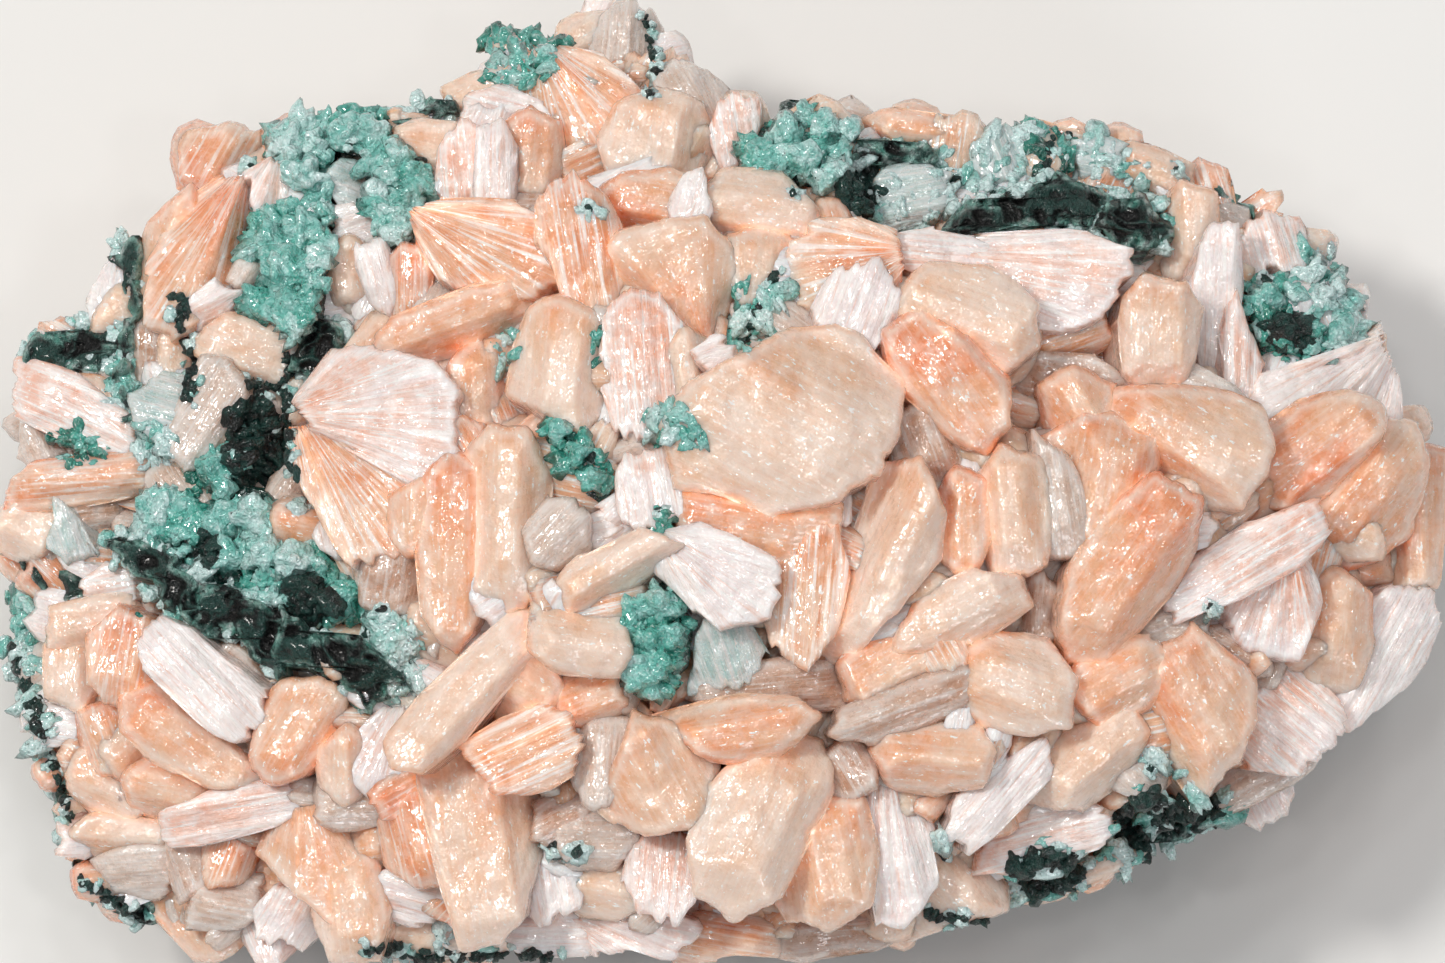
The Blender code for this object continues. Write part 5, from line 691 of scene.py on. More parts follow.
# Patches of chalcedony: the corners of each, how far apart its nodules lie (mm), and how pale it is (0 to 1).
MINT_PATCHES = [
    ([(45.0, 4.0), (49.0, 2.2), (56.0, 3.5), (55.5, 7.0), (50.0, 8.0), (45.5, 7.0)], 0.9, 0.4),
    ([(49.6, 33.2), (52.0, 33.0), (53.0, 37.5), (51.8, 39.5), (50.0, 38.0)], 0.9, 0.7),
    ([(65.0, 41.4), (68.0, 41.0), (70.4, 43.6), (68.2, 45.5), (65.6, 44.8)], 1.0, 0.7),
    ([(65.0, 51.2), (66.8, 51.0), (67.0, 53.0), (65.4, 53.0)], 0.9, 0.5),
    ([(59.0, 33.2), (60.4, 33.0), (60.6, 36.4), (59.3, 36.6)], 0.9, 0.2),
    ([(74.0, 28.5), (78.5, 26.6), (77.8, 31.5), (75.0, 35.5), (73.0, 34.5)], 1.0, 0.6),
    ([(5.0, 43.4), (8.5, 42.8), (11.0, 44.4), (10.4, 46.5), (6.0, 46.5)], 0.85, 0.35),
    ([(13.8, 42.6), (16.0, 42.2), (17.8, 43.6), (17.0, 45.5), (14.2, 45.4)], 0.85, 0.8),
    ([(17.0, 57.5), (21.0, 56.0), (25.5, 57.6), (28.0, 59.5), (24.0, 60.2), (18.5, 59.5)], 0.85, 0.85),
    ([(13.0, 60.0), (15.2, 59.6), (15.0, 61.8), (13.2, 61.8)], 0.9, 0.3),
    ([(38.0, 62.5), (42.0, 62.0), (43.0, 66.0), (42.0, 69.8), (39.0, 68.0)], 1.1, 1.0),
    ([(96.0, 15.0), (103.0, 12.8), (110.0, 13.5), (116.8, 17.0), (114.0, 21.5), (104.0, 21.8), (97.0, 20.0)], 1.35,
        0.9),
    ([(103.5, 13.2), (107.0, 13.0), (107.0, 17.0), (103.8, 17.0)], 0.9, 0.15),
    ([(85.0, 15.5), (95.0, 15.0), (95.5, 22.5), (88.5, 23.0)], 1.5, 0.9),
    ([(130.2, 25.0), (133.5, 24.6), (134.5, 28.5), (132.0, 30.0), (130.5, 28.5)], 0.9, 0.8),
    ([(126.2, 31.2), (131.0, 31.0), (132.2, 33.5), (130.0, 35.6), (126.5, 35.0)], 0.9, 0.35),
    ([(112.8, 75.0), (117.0, 74.4), (118.0, 77.0), (114.0, 78.0)], 1.0, 0.85),
    ([(109.6, 79.6), (114.0, 77.8), (122.6, 78.8), (122.4, 85.2), (116.0, 87.0), (110.6, 85.6)], 1.2, 0.7),
    ([(100.0, 84.6), (104.0, 83.4), (108.6, 84.8), (108.0, 89.0), (101.0, 89.2)], 1.2, 0.7),
    ([(0.8, 62.0), (3.0, 62.0), (5.2, 70.0), (5.0, 76.0), (2.4, 70.0)], 1.0, 0.8),
]


def dome(right, down):
    """Height of the dome that the crystals' faces follow, in mm."""
    across = (right - CHART_CENTRE[0]) / CHART_HALF[0]
    along = (down - CHART_CENTRE[1]) / CHART_HALF[1]
    return DOME_RIM + DOME_RISE * np.maximum(0.0, 1 - across**2 - along**2)


def place(right, down, height):
    """The points (mm) that the chart shows at these places, for given heights."""
    elevation = math.radians(CHART_ELEVATION_DEG)
    right, down, height = np.broadcast_arrays(right, down, height)
    x = right - CHART_CENTRE[0] + CHART_TO_FRAME[0]
    y = (CHART_CENTRE[1] - down - height * math.cos(elevation)) / math.sin(elevation) + CHART_TO_FRAME[1]
    return np.stack([x, y, height], axis=-1)


def lattice_values(cells, seed):
    """A fixed number from 0 to 1 for each whole-numbered cell."""
    x, y, z = (cells[..., axis].astype(np.uint64) for axis in range(3))
    stirred = x * STIR_X ^ y * STIR_Y ^ z * STIR_Z ^ np.uint64(seed * STIR_SEED)
    stirred = (stirred ^ (stirred >> np.uint64(13))) * STIR_AGAIN
    stirred = (stirred ^ (stirred >> np.uint64(16))) & np.uint64(LATTICE_TOP)
    return stirred.astype(float) / LATTICE_TOP


def smooth_noise(points, cell, seed):
    """Soft noise from -1 to 1 with bumps about one cell (mm) wide."""
    spots = np.asarray(points, float) / cell + NOISE_ORIGIN
    base = np.floor(spots).astype(np.int64)
    part = spots - base
    part = part * part * (3 - 2 * part)
    total = np.zeros(spots.shape[:-1])
    for corner in itertools.product((0, 1), repeat=3):
        weight = np.ones(spots.shape[:-1])
        for axis, step in enumerate(corner):
            weight = weight * (part[..., axis] if step else 1 - part[..., axis])
        total += weight * lattice_values(base + np.array(corner), seed)
    return total * 2 - 1


def granular_noise(points, cell, seed):
    """Distance to the nearest of one random point in each cell, in cells: low on a grain and high between grains."""
    spots = np.asarray(points, float) / cell + NOISE_ORIGIN
    base = np.floor(spots).astype(np.int64)
    nearest = np.full(spots.shape[:-1], FAR)
    for step in itertools.product((-1, 0, 1), repeat=3):
        cells = base + np.array(step)
        seeds = np.stack([lattice_values(cells, seed + axis) for axis in range(3)], axis=-1)
        nearest = np.minimum(nearest, np.linalg.norm(cells + seeds - spots, axis=-1))
    return nearest


def knobs(points):
    """Rounded knobs of three sizes, with sharp creases between them."""
    total = 0.0
    for cell, share in KNOB_SIZES:
        gap = granular_noise(points, cell, SEED + int(cell * 10))
        total = total + share * (np.sqrt(np.maximum(0.05, 1 - gap**2)) - 0.6)
    return total


def crinkles(points):
    """Winding ropes that cross each other, round on top, on a knobbly ground."""
    warped = points + 0.9 * smooth_noise(points, 2.2, SEED + 60)[..., None]
    ropes = 0.0
    for cell, seed in ROPE_SIZES:
        away = np.abs(smooth_noise(warped, cell, SEED + seed)) * 4.4
        ropes = np.maximum(ropes, np.sqrt(np.maximum(0, 1 - away**2)))
    return ropes + 0.45 * knobs(points * 1.5) - 0.5


def outset(corners, amount):
    """The corners moved outwards (mm on the chart)."""
    before, after = np.roll(corners, 1, axis=0), np.roll(corners, -1, axis=0)
    area = np.sum(corners[:, 0] * after[:, 1] - after[:, 0] * corners[:, 1])
    normals = []
    for edge in (corners - before, after - corners):
        normal = np.stack([edge[:, 1], -edge[:, 0]], -1) * np.sign(area)
        normals.append(normal / np.linalg.norm(normal, axis=1)[:, None])
    bisector = normals[0] + normals[1]
    bisector /= np.linalg.norm(bisector, axis=1)[:, None]
    reach = amount / np.maximum(0.5, (bisector * normals[0]).sum(1))
    return corners + bisector * reach[:, None]


def rounded_outline(corners, radius, step=0.15):
    """The outline as close points (mm on the chart), with its corners rounded off."""
    corners = np.array(corners, float)
    sides = np.roll(corners, -1, axis=0) - corners
    lengths = np.linalg.norm(sides, axis=1)
    travelled = np.concatenate([[0], np.cumsum(lengths)])
    count = max(24, int(travelled[-1] / step))
    spots = np.linspace(0, travelled[-1], count, endpoint=False)
    index = np.searchsorted(travelled, spots, side="right") - 1
    share = (spots - travelled[index]) / lengths[index]
    points = corners[index] + sides[index] * share[:, None]
    reach = max(1, min(int(radius / step), count // 8))
    smoothed = sum(np.roll(points, shift, axis=0) for shift in range(-reach, reach + 1))
    return smoothed / (2 * reach + 1)


class Striae:
    """Turns places on the chart into (across, along) mm of a crystal's striae, parallel or fanning, and back."""

    def __init__(self, outline, centre, angle_deg, spread):
        self.centre = np.array(centre, float)
        angle = math.radians(angle_deg)
        self.way = np.array([math.cos(angle), math.sin(angle)])
        self.side = np.array([-math.sin(angle), math.cos(angle)])
        behind = np.max((self.centre - outline) @ self.way)
        self.radius = max(spread, behind + 1.5) if spread else 0.0
        self.apex = self.centre - self.way * self.radius

    def measured(self, points):
        """How far across and along the striae (mm) places on the chart lie."""
        if not self.radius:
            offset = points - self.centre
            return offset @ self.side, offset @ self.way
        offset = points - self.apex
        return np.arctan2(offset @ self.side, offset @ self.way) * self.radius, np.linalg.norm(offset, axis=-1)

    def charted(self, across, along):
        """The places on the chart that lie so far across and along the striae (mm)."""
        if not self.radius:
            return self.centre + across[..., None] * self.side + along[..., None] * self.way
        turn = across / self.radius
        return self.apex + along[..., None] * (
            np.cos(turn)[..., None] * self.way + np.sin(turn)[..., None] * self.side
        )


class Heap:
    """Gathers many closed shapes into one mesh, with a few values kept at each vertex."""

    def __init__(self):
        self.points, self.quads, self.triangles, self.values = [], [], [], []
        self.count = 0

    def add(self, points, quads, triangles, values):
        """Adds one closed shape."""
        self.points.append(points)
        self.quads.append(np.asarray(quads, np.int64).reshape(-1, 4) + self.count)
        self.triangles.append(np.asarray(triangles, np.int64).reshape(-1, 3) + self.count)
        self.values.append(values)
        self.count += len(points)

    def piece(self, name, look, slot, replaced):
        """The mesh as an object that rides on the specimen and takes the place of CAD nodes."""
        points = np.concatenate(self.points) * MM
        quads, triangles = np.concatenate(self.quads), np.concatenate(self.triangles)
        loops = np.concatenate([quads.ravel(), triangles.ravel()]).astype(np.int32)
        sizes = np.concatenate([np.full(len(quads), 4), np.full(len(triangles), 3)])
        starts = np.concatenate([[0], np.cumsum(sizes)[:-1]]).astype(np.int32)
        mesh = bpy.data.meshes.new(name)
        mesh.vertices.add(len(points))
        mesh.vertices.foreach_set("co", points.astype(np.float32).ravel())
        mesh.loops.add(len(loops))
        mesh.loops.foreach_set("vertex_index", loops)
        mesh.polygons.add(len(sizes))
        mesh.polygons.foreach_set("loop_start", starts)
        mesh.update(calc_edges=True)
        mesh.polygons.foreach_set("use_smooth", np.ones(len(sizes), bool))
        for key in self.values[0]:
            data = np.concatenate([values[key] for values in self.values]).astype(np.float32)
            kind = "FLOAT_VECTOR" if data.ndim == 2 else "FLOAT"
            layer = mesh.attributes.new(key, kind, "POINT")
            layer.data.foreach_set("vector" if data.ndim == 2 else "value", data.ravel())
        mesh.materials.append(look)
        obj = bpy.data.objects.new(name, mesh)
        bpy.context.scene.collection.objects.link(obj)
        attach(obj, "root")
        for node in replaced:
            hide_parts(node)
        return obj


def face_grid(columns, rows):
    """Quads of a grid numbered column by column, and the loop of its border."""
    number = np.arange(columns * rows).reshape(columns, rows)
    quads = np.stack([number[:-1, :-1], number[1:, :-1], number[1:, 1:], number[:-1, 1:]], axis=-1).reshape(-1, 4)
    border = np.concatenate([number[:-1, 0], number[-1, :-1], number[:0:-1, -1], number[0, :0:-1]])
    return quads, border


def distance_to(points, outline):
    """How far each point is from the nearest point of the outline (mm)."""
    gaps = points[:, None, :] - outline[None, :, :]
    return np.sqrt((gaps**2).sum(-1).min(1))


def lamellae(across, habit, rng):
    """Which lamella each column belongs to, each one's height step, and what it falls short at its two ends."""
    span = across[-1] - across[0]
    widths = rng.uniform(0.45, 1.6, int(span / habit.lamella * 2.5) + 4) * habit.lamella
    borders = across[0] + np.cumsum(widths)
    owner = np.searchsorted(borders, across)
    count = owner[-1] + 1
    steps = rng.uniform(-1, 1, count) * habit.step
    shorter = rng.uniform(0, 1, (2, count)) ** 2 * habit.ragged
    return steps[owner], shorter[0][owner], shorter[1][owner]


def faceted(across, along, half, near_side, rng):
    """How far each place falls below the crest: a long facet on each side, the nearer one steeper, and one at each
    end, with softened edges."""
    middle, reach = (along.max() + along.min()) / 2, (along.max() - along.min()) / 2
    ahead = (along - middle) / reach
    near = near_side if rng.uniform() < 0.75 else -near_side
    fall = 0.0
    for way, size, steep, start in (
        (near * across, half, rng.uniform(0.6, 1.2), rng.uniform(0.0, 0.45)),
        (-near * across, half, rng.uniform(0.25, 0.8), rng.uniform(0.0, 0.6)),
        (-ahead, reach, rng.uniform(0.3, 1.0), rng.uniform(0.45, 0.8)),
        (ahead, reach, rng.uniform(0.2, 0.8), rng.uniform(0.35, 0.8)),
    ):
        fall = fall + (steep * size * np.maximum(0, way - start)) ** FACET_SHARPNESS
    return np.minimum(fall ** (1 / FACET_SHARPNESS), DEEPEST_FACET)


def wandering(outline, habit, lift):
    """The outline with small bends, other ones for a crystal that stands higher."""
    at = np.append(outline, np.full((len(outline), 1), lift * WANDER_PER_LIFT), axis=1)
    for axis in (0, 1):
        for cell, share in WANDER_SIZES:
            outline[:, axis] += habit.wander * share * smooth_noise(at, cell, SEED + 40 + axis)
    return outline


def face_ends(across, edge_across, edge_along):
    """Where each column of a face starts and ends along the striae."""
    gap = np.roll(edge_across, -1) - edge_across
    share = (across[:, None] - edge_across) / np.where(gap == 0, TINY, gap)
    crossing = edge_along + share * (np.roll(edge_along, -1) - edge_along)
    crosses = (share >= 0) & (share < 1)
    return np.where(crosses, crossing, FAR).min(1), np.where(crosses, crossing, -FAR).max(1)


class Face(NamedTuple):
    """A crystal's face: its middle on the chart, its points, where each lies across and along the striae, how far
    each is from the edge (mm), how pale it shows (0 to 1: along a crystal its share of the way to its end, on knobbly
    relief its height, which paints the raised tops paler as light), and where its patterns start."""

    centre: np.ndarray
    points: np.ndarray
    across: np.ndarray
    along: np.ndarray
    inside: np.ndarray
    shown: np.ndarray
    shift: np.ndarray


def crystal_face(tablet, habit, rng, pitch):
    """The face over a crystal's corners: lamellae that end unevenly, facets, a rounded edge, ribs and lumps."""
    corners = outset(np.array(tablet.corners, float), habit.overlap)
    centre = corners.mean(0)
    rounding = min(MOST_ROUNDING, habit.edge_width * 0.4)
    outline = wandering(rounded_outline(corners, rounding), habit, tablet.lift)
    striae = Striae(outline, centre, tablet.striae_deg, tablet.spread)
    edge_across, edge_along = striae.measured(outline)
    low, high = edge_across.min(), edge_across.max()
    columns = max(FEWEST_COLUMNS, int((high - low) / pitch))
    inset = (high - low) * COLUMN_INSET
    across = np.linspace(low + inset, high - inset, columns)
    start, end = face_ends(across, edge_across, edge_along)

    steps, short_start, short_end = lamellae(across, habit, rng)
    length = np.maximum(end - start, SHORTEST_COLUMN)
    start = start + np.minimum(short_start * 0.6, length * 0.2)
    end = end - np.minimum(short_end, length * 0.25)
    rows = max(FEWEST_ROWS, int((end - start).max() / (pitch * ROW_PITCH)))
    even = np.linspace(0, 1, rows)
    share = 0.55 * even + 0.45 * (0.5 - 0.5 * np.cos(math.pi * even))
    along = start[:, None] + (end - start)[:, None] * share
    across = np.broadcast_to(across[:, None], along.shape)
    spots = striae.charted(across, along)

    inside = distance_to(spots.reshape(-1, 2), outline).reshape(along.shape)
    to_end = np.minimum(along - start[:, None], end[:, None] - along)
    inside = np.minimum(inside, to_end)
    width = min(habit.edge_width, inside.max() * 0.9)
    lean_in = 1 - np.minimum(inside / width, 1)
    drop = habit.edge_drop * width / habit.edge_width * (1 - np.sqrt(np.maximum(0, 1 - lean_in**2)))
    tilt = (spots - centre) @ (np.array(tablet.slope) + rng.uniform(-EXTRA_TILT, EXTRA_TILT, 2))
    half = max(abs(low), abs(high))
    near_side = 1 if striae.side[1] > 0 else -1
    arch = faceted(across / half, along, half, near_side, rng) * habit.facets

    shift = rng.uniform(0, PATTERN_SPAN, 3)
    noise_at = np.stack([spots[..., 0] + shift[0], spots[..., 1] + shift[1], np.full(along.shape, shift[2])], -1)
    lumps = sum(share * smooth_noise(noise_at, cell, SEED + own) for cell, share, own in LUMP_SIZES)
    ribs_at = np.stack([across + shift[0], along * RIB_STRETCH, along * 0], -1)
    ribs = smooth_noise(ribs_at, RIB_WIDTH, SEED + 2)
    top = dome(*centre) + tablet.lift + FACE_LIFT
    height = top - tilt - arch - drop + steps[:, None] + habit.lumpy * lumps + habit.step * 0.5 * ribs
    shown = (along - start[:, None]) / np.maximum(end - start, SHORTEST_COLUMN)[:, None]
    if habit.grains:
        relief = crinkles(noise_at) if habit.crinkled else knobs(noise_at)
        height += habit.grains * relief
        # On knobbly relief the raised tops are painted paler: painted light.
        shown = np.clip(relief + 0.4, 0, 1)
    points = place(spots[..., 0], spots[..., 1], height)
    return Face(centre, points, across, along, inside, shown, shift)


def crystal_shape(tablet, habit, rng, pitch, root_depth=ROOT_BELOW_DOME):
    """A crystal's points, faces and vertex values: a striated face over its corners, and sides down to its root."""
    face = crystal_face(tablet, habit, rng, pitch)
    crown = face.points.reshape(-1, 3)
    quads, border = face_grid(*face.along.shape)
    rim = crown[border]
    middle = rim.mean(0)
    foot = dome(*face.centre) - root_depth
    lean = middle[:2] * ROOT_LEAN
    levels = np.array(WALL_LEVELS if pitch < COARSE_WALL_PITCH else COARSE_WALL_LEVELS)
    rings = []
    for level in levels:
        ring = middle + (rim - middle) * (1 + (ROOT_SCALE - 1) * level)
        ring[:, :2] -= lean * level
        ring[:, 2] = rim[:, 2] + (foot - rim[:, 2]) * level
        rings.append(ring)
    walls = np.concatenate(rings)
    count = len(border)
    ring_numbers = [border] + [len(crown) + np.arange(count) + count * level for level in range(len(levels))]
    for upper, lower in zip(ring_numbers, ring_numbers[1:]):
        quads = np.concatenate([quads, np.stack([np.roll(upper, -1), upper, lower, np.roll(lower, -1)], -1)])
    last = ring_numbers[-1]
    heel = len(crown) + len(walls)
    triangles = np.stack([np.roll(last, -1), last, np.full(count, heel)], -1)
    points = np.concatenate([crown, walls, [np.append(middle[:2] - lean, foot)]])

    def carried_down(values):
        """A value of each place on the face, carried down the sides below its edge."""
        return np.concatenate([values.ravel(), np.tile(values.ravel()[border], len(levels)), [0]])

    grain = np.stack([
        carried_down(face.across) + face.shift[0],
        carried_down(face.along) + face.shift[1],
        points[:, 2] + face.shift[2],
    ], -1)
    # depth: on stilbite a band of painted rim light just inside a face's edge, then ever more painted shade down the
    # sides to the root; on chalcedony painted shade too, and on basalt ridges it places the mint rind.
    near_edge = np.clip(1 - (face.inside.ravel() - 0.5 * habit.overlap) / EDGE_SHADE_WIDTH, 0, 1.1) * FACE_DEPTH
    depth = np.concatenate([near_edge, np.repeat(FACE_DEPTH + (1 - FACE_DEPTH) * levels, count), [1.0]])
    return points, quads, triangles, {"grain": grain, "tip": carried_down(face.shown), "depth": depth}


def outward(points, quads, triangles):
    """The faces turned so that a closed shape's volume is positive."""
    corners = np.concatenate([points[quads[:, [0, 1, 2]]], points[quads[:, [0, 2, 3]]], points[triangles]])
    corners = corners - points.mean(0)
    if np.linalg.det(corners).sum() < 0:
        return quads[:, ::-1], triangles[:, ::-1]
    return quads, triangles


def add_crystal(heap, tablet, habit, tone, rng, pitch, root_depth=ROOT_BELOW_DOME):
    """Adds a crystal to a heap, its colour a little off the tone it is given."""
    points, quads, triangles, values = crystal_shape(tablet, habit, rng, pitch, root_depth)
    quads, triangles = outward(points, quads, triangles)
    values["tone"] = np.full(len(points), tone + rng.uniform(-0.06, 0.06))
    values["lined"] = np.full(len(points), habit.lined)
    heap.add(points, quads, triangles, values)


def inside_outline(points, corners):
    """Which points lie inside the corners."""
    corners = np.array(corners, float)
    found = np.zeros(len(points), bool)
    for (ax, ay), (bx, by) in zip(corners, np.roll(corners, -1, axis=0)):
        crosses = (ay > points[:, 1]) != (by > points[:, 1])
        at = ax + (points[:, 1] - ay) / np.where(by == ay, TINY, by - ay) * (bx - ax)
        found ^= crosses & (points[:, 0] < at)
    return found


def ball(rounds):
    """Points and triangles of a ball of radius one."""
    bm = bmesh.new()
    bmesh.ops.create_icosphere(bm, subdivisions=rounds, radius=1.0)
    points = np.array([vertex.co for vertex in bm.verts])
    triangles = np.array([[vertex.index for vertex in face.verts] for face in bm.faces])
    bm.free()
    return points, triangles


BALLS = {rounds: ball(rounds) for rounds in (2, 3, 4)}


def add_nodule(heap, centre, radius, rough, stretch, tone, rng, rind=1.0):
    """One rounded grain, roughened and stretched along a random way in plan; the rind is how far down its sides
    its value of depth runs."""
    unit, triangles = BALLS[2 if radius < 0.72 else 3 if radius < 1.9 else 4]
    turn = rng.uniform(0, math.tau)
    way = np.array([math.cos(turn), math.sin(turn), 0.0])
    points = unit + (unit @ way)[:, None] * way * (stretch - 1)
    shift = rng.uniform(0, 300, 3)
    swell = 1 + rough * smooth_noise(unit * 2.2 + shift, 1.0, SEED + 5)
    relief = knobs(points * radius + shift)
    swell += 0.35 * relief / max(radius, 0.8)
    points = points * swell[:, None] * radius + centre
    values = {
        "grain": points + 20,
        # tip and depth: on chalcedony the raised knobs are painted paler as light and the lower side darker as painted
        # shade; on celadonite the knobs get a painted highlight and depth places the mint rind.
        "tip": np.clip(relief + 0.5, 0, 1),
        "depth": np.clip(0.5 - unit[:, 2] * 0.5, 0, 1) * rind,
        "tone": np.full(len(points), tone),
        "lined": np.zeros(len(points)),
    }
    heap.add(points, np.zeros((0, 4), int), triangles, values)


def scattered(corners, gap, rng, most=4000):
    """Random places inside the corners, no two closer than the gap (mm)."""
    corners = np.array(corners, float)
    low, high = corners.min(0), corners.max(0)
    tries = rng.uniform(low, high, (most, 2))
    tries = tries[inside_outline(tries, corners)]
    kept = []
    for spot in tries:
        if not kept or np.min(np.sum((np.array(kept) - spot) ** 2, axis=1)) > gap**2:
            kept.append(spot)
    return np.array(kept)


def dome_slope(right, down):
    """The dome's own fall to the right and down the chart, as a crystal's slope is given."""
    return (
        2 * DOME_RISE * (right - CHART_CENTRE[0]) / CHART_HALF[0] ** 2,
        2 * DOME_RISE * (down - CHART_CENTRE[1]) / CHART_HALF[1] ** 2,
    )


def laid_on_dome(corners, lift, angle=0.0):
    """A patch that follows the dome, written like a crystal."""
    centre = np.array(corners, float).mean(0)
    return Tablet(corners, lift, dome_slope(*centre), angle, 0, "")


def charted_crystals():
    """Every charted crystal, in one heap for each finish and side of the specimen."""
    rng = np.random.default_rng(SEED)
    heaps = {}
    for tablet in TABLETS:
        habit, finish, tone = TINTS[tablet.tint]
        side = "left" if np.mean([corner[0] for corner in tablet.corners]) < CHART_CENTRE[0] else "right"
        heap = heaps.setdefault((finish, side), Heap())
        add_crystal(heap, tablet, habit, tone, rng, FINE_PITCH)
    return heaps


def tablet_angle(spot, rng):
    """The way a filling crystal lies: neighbours lie much alike."""
    flow = 90 * smooth_noise(np.array([[*spot, 0.0]]), 14, SEED + 3)[0]
    return flow + rng.normal(0, 35)


def turned_blade(spot, size, angle, rng):
    """The corners of a filling crystal, each one a little off, turned and put in place."""
    turn = math.radians(angle)
    ways = np.array([[math.cos(turn), math.sin(turn)], [-math.sin(turn), math.cos(turn)]])
    return (BLADE_CORNERS * rng.uniform(0.85, 1.12, BLADE_CORNERS.shape) * size) @ ways + spot


def under_crystals():
    """A second layer of broad crystals, seen between and beneath the charted ones."""
    rng = np.random.default_rng(SEED + 6)
    centres = np.array([np.mean(tablet.corners, axis=0) for tablet in TABLETS])
    lifts = np.array([tablet.lift for tablet in TABLETS])
    heaps = {}
    for spot in scattered(OUTLINE, UNDER_GAP, rng, UNDER_TRIES):
        near = np.argsort(((centres - spot) ** 2).sum(1))[:2]
        tint = UNDER_TINTS[rng.integers(len(UNDER_TINTS))]
        habit, finish, tone = TINTS[tint]
        size = np.array([rng.uniform(7, 12), rng.uniform(4, 6.5)])
        angle = tablet_angle(spot, rng)
        corners = turned_blade(spot, size, angle, rng)
        inward = np.array(CHART_CENTRE) - spot
        inward /= np.linalg.norm(inward) + 1e-6
        edge = np.min(np.linalg.norm(np.array(OUTLINE) - spot, axis=1))
        corners = corners + inward * max(0.0, 6 - edge)
        lift = lifts[near].min() - rng.uniform(1.8, 3.8)
        blade = Tablet(corners, lift, tuple(rng.uniform(-0.25, 0.25, 2)), angle, 0, tint)
        heap = heaps.setdefault(finish, Heap())
        add_crystal(heap, blade, habit, tone + 0.06, rng, UNDER_PITCH, UNDER_ROOT)
    return heaps


def open_ground():
    """Places between the charted shapes, with the lift of the crystals near them."""
    rng = np.random.default_rng(SEED + 1)
    spots = scattered(OUTLINE, BLADE_GAP, rng, BLADE_TRIES)
    shapes = [tablet.corners for tablet in TABLETS] + [ridge.corners for ridge in RIDGES]
    shapes += [plate for crust in CRUSTS for plate in crust.plates]
    covered = np.zeros(len(spots), bool)
    for corners in shapes:
        covered |= inside_outline(spots, corners)
    centres = np.array([np.mean(tablet.corners, axis=0) for tablet in TABLETS])
    lifts = np.array([tablet.lift for tablet in TABLETS])
    for spot in spots[~covered]:
        near = np.argsort(((centres - spot) ** 2).sum(1))[:3]
        yield spot, lifts[near].min()


def small_blades():
    """The many small crystals that fill the gaps between the large ones."""
    rng = np.random.default_rng(SEED + 2)
    heaps = {}
    for spot, lift in open_ground():
        tint = BLADE_TINTS[rng.integers(len(BLADE_TINTS))]
        habit, finish, tone = TINTS[tint]
        size = np.array([rng.uniform(2.2, 6.0), rng.uniform(1.1, 2.6)])
        angle = tablet_angle(spot, rng)
        corners = turned_blade(spot, size, angle, rng)
        slope = tuple(rng.uniform(-0.35, 0.35, 2))
        blade = Tablet(corners, lift - rng.uniform(0.6, 3.2), slope, angle, 0, tint)
        heap = heaps.setdefault(finish, Heap())
        add_crystal(heap, blade, habit, tone + 0.08, rng, COARSE_PITCH, BLADE_ROOT)
    return heaps


def specimen_ring(height, inset, dense):
    """The specimen's outline at a height (mm), drawn in."""
    toward = np.array(CHART_CENTRE) - dense
    toward = toward / np.linalg.norm(toward, axis=1)[:, None]
    inner = dense + toward * np.broadcast_to(np.asarray(inset, float), (len(dense),))[:, None]
    return place(inner[:, 0], inner[:, 1], height)


def stacked(heap, rings, start, end, tone, depth):
    """A closed shape through rings, with a middle point below the first and above the last."""
    count = len(rings[0])
    points = np.concatenate([*rings, [start], [end]])
    numbers = np.arange(count * len(rings)).reshape(len(rings), count)
    quads = np.concatenate([
        np.stack([low, np.roll(low, -1), np.roll(high, -1), high], -1) for low, high in zip(numbers, numbers[1:])
    ])
    foot, summit = len(points) - 2, len(points) - 1
    triangles = np.concatenate([
        np.stack([np.roll(numbers[0], -1), numbers[0], np.full(count, foot)], -1),
        np.stack([numbers[-1], np.roll(numbers[-1], -1), np.full(count, summit)], -1),
    ])
    quads, triangles = outward(points, quads, triangles)
    many = np.ones(len(points))
    around = np.arctan2(points[:, 1], points[:, 0]) * 50
    heap.add(points, quads, triangles, {
        "grain": np.stack([around, points[:, 2], many], -1) + 50,
        "tip": many * 0.3, "depth": many * depth, "tone": many * tone, "lined": many * 0.8,
    })


def backness(dense):
    """How far each place lies towards the back of the specimen, from 0 to 1."""
    return np.clip((CHART_CENTRE[1] - dense[:, 1]) / 25, 0, 1)


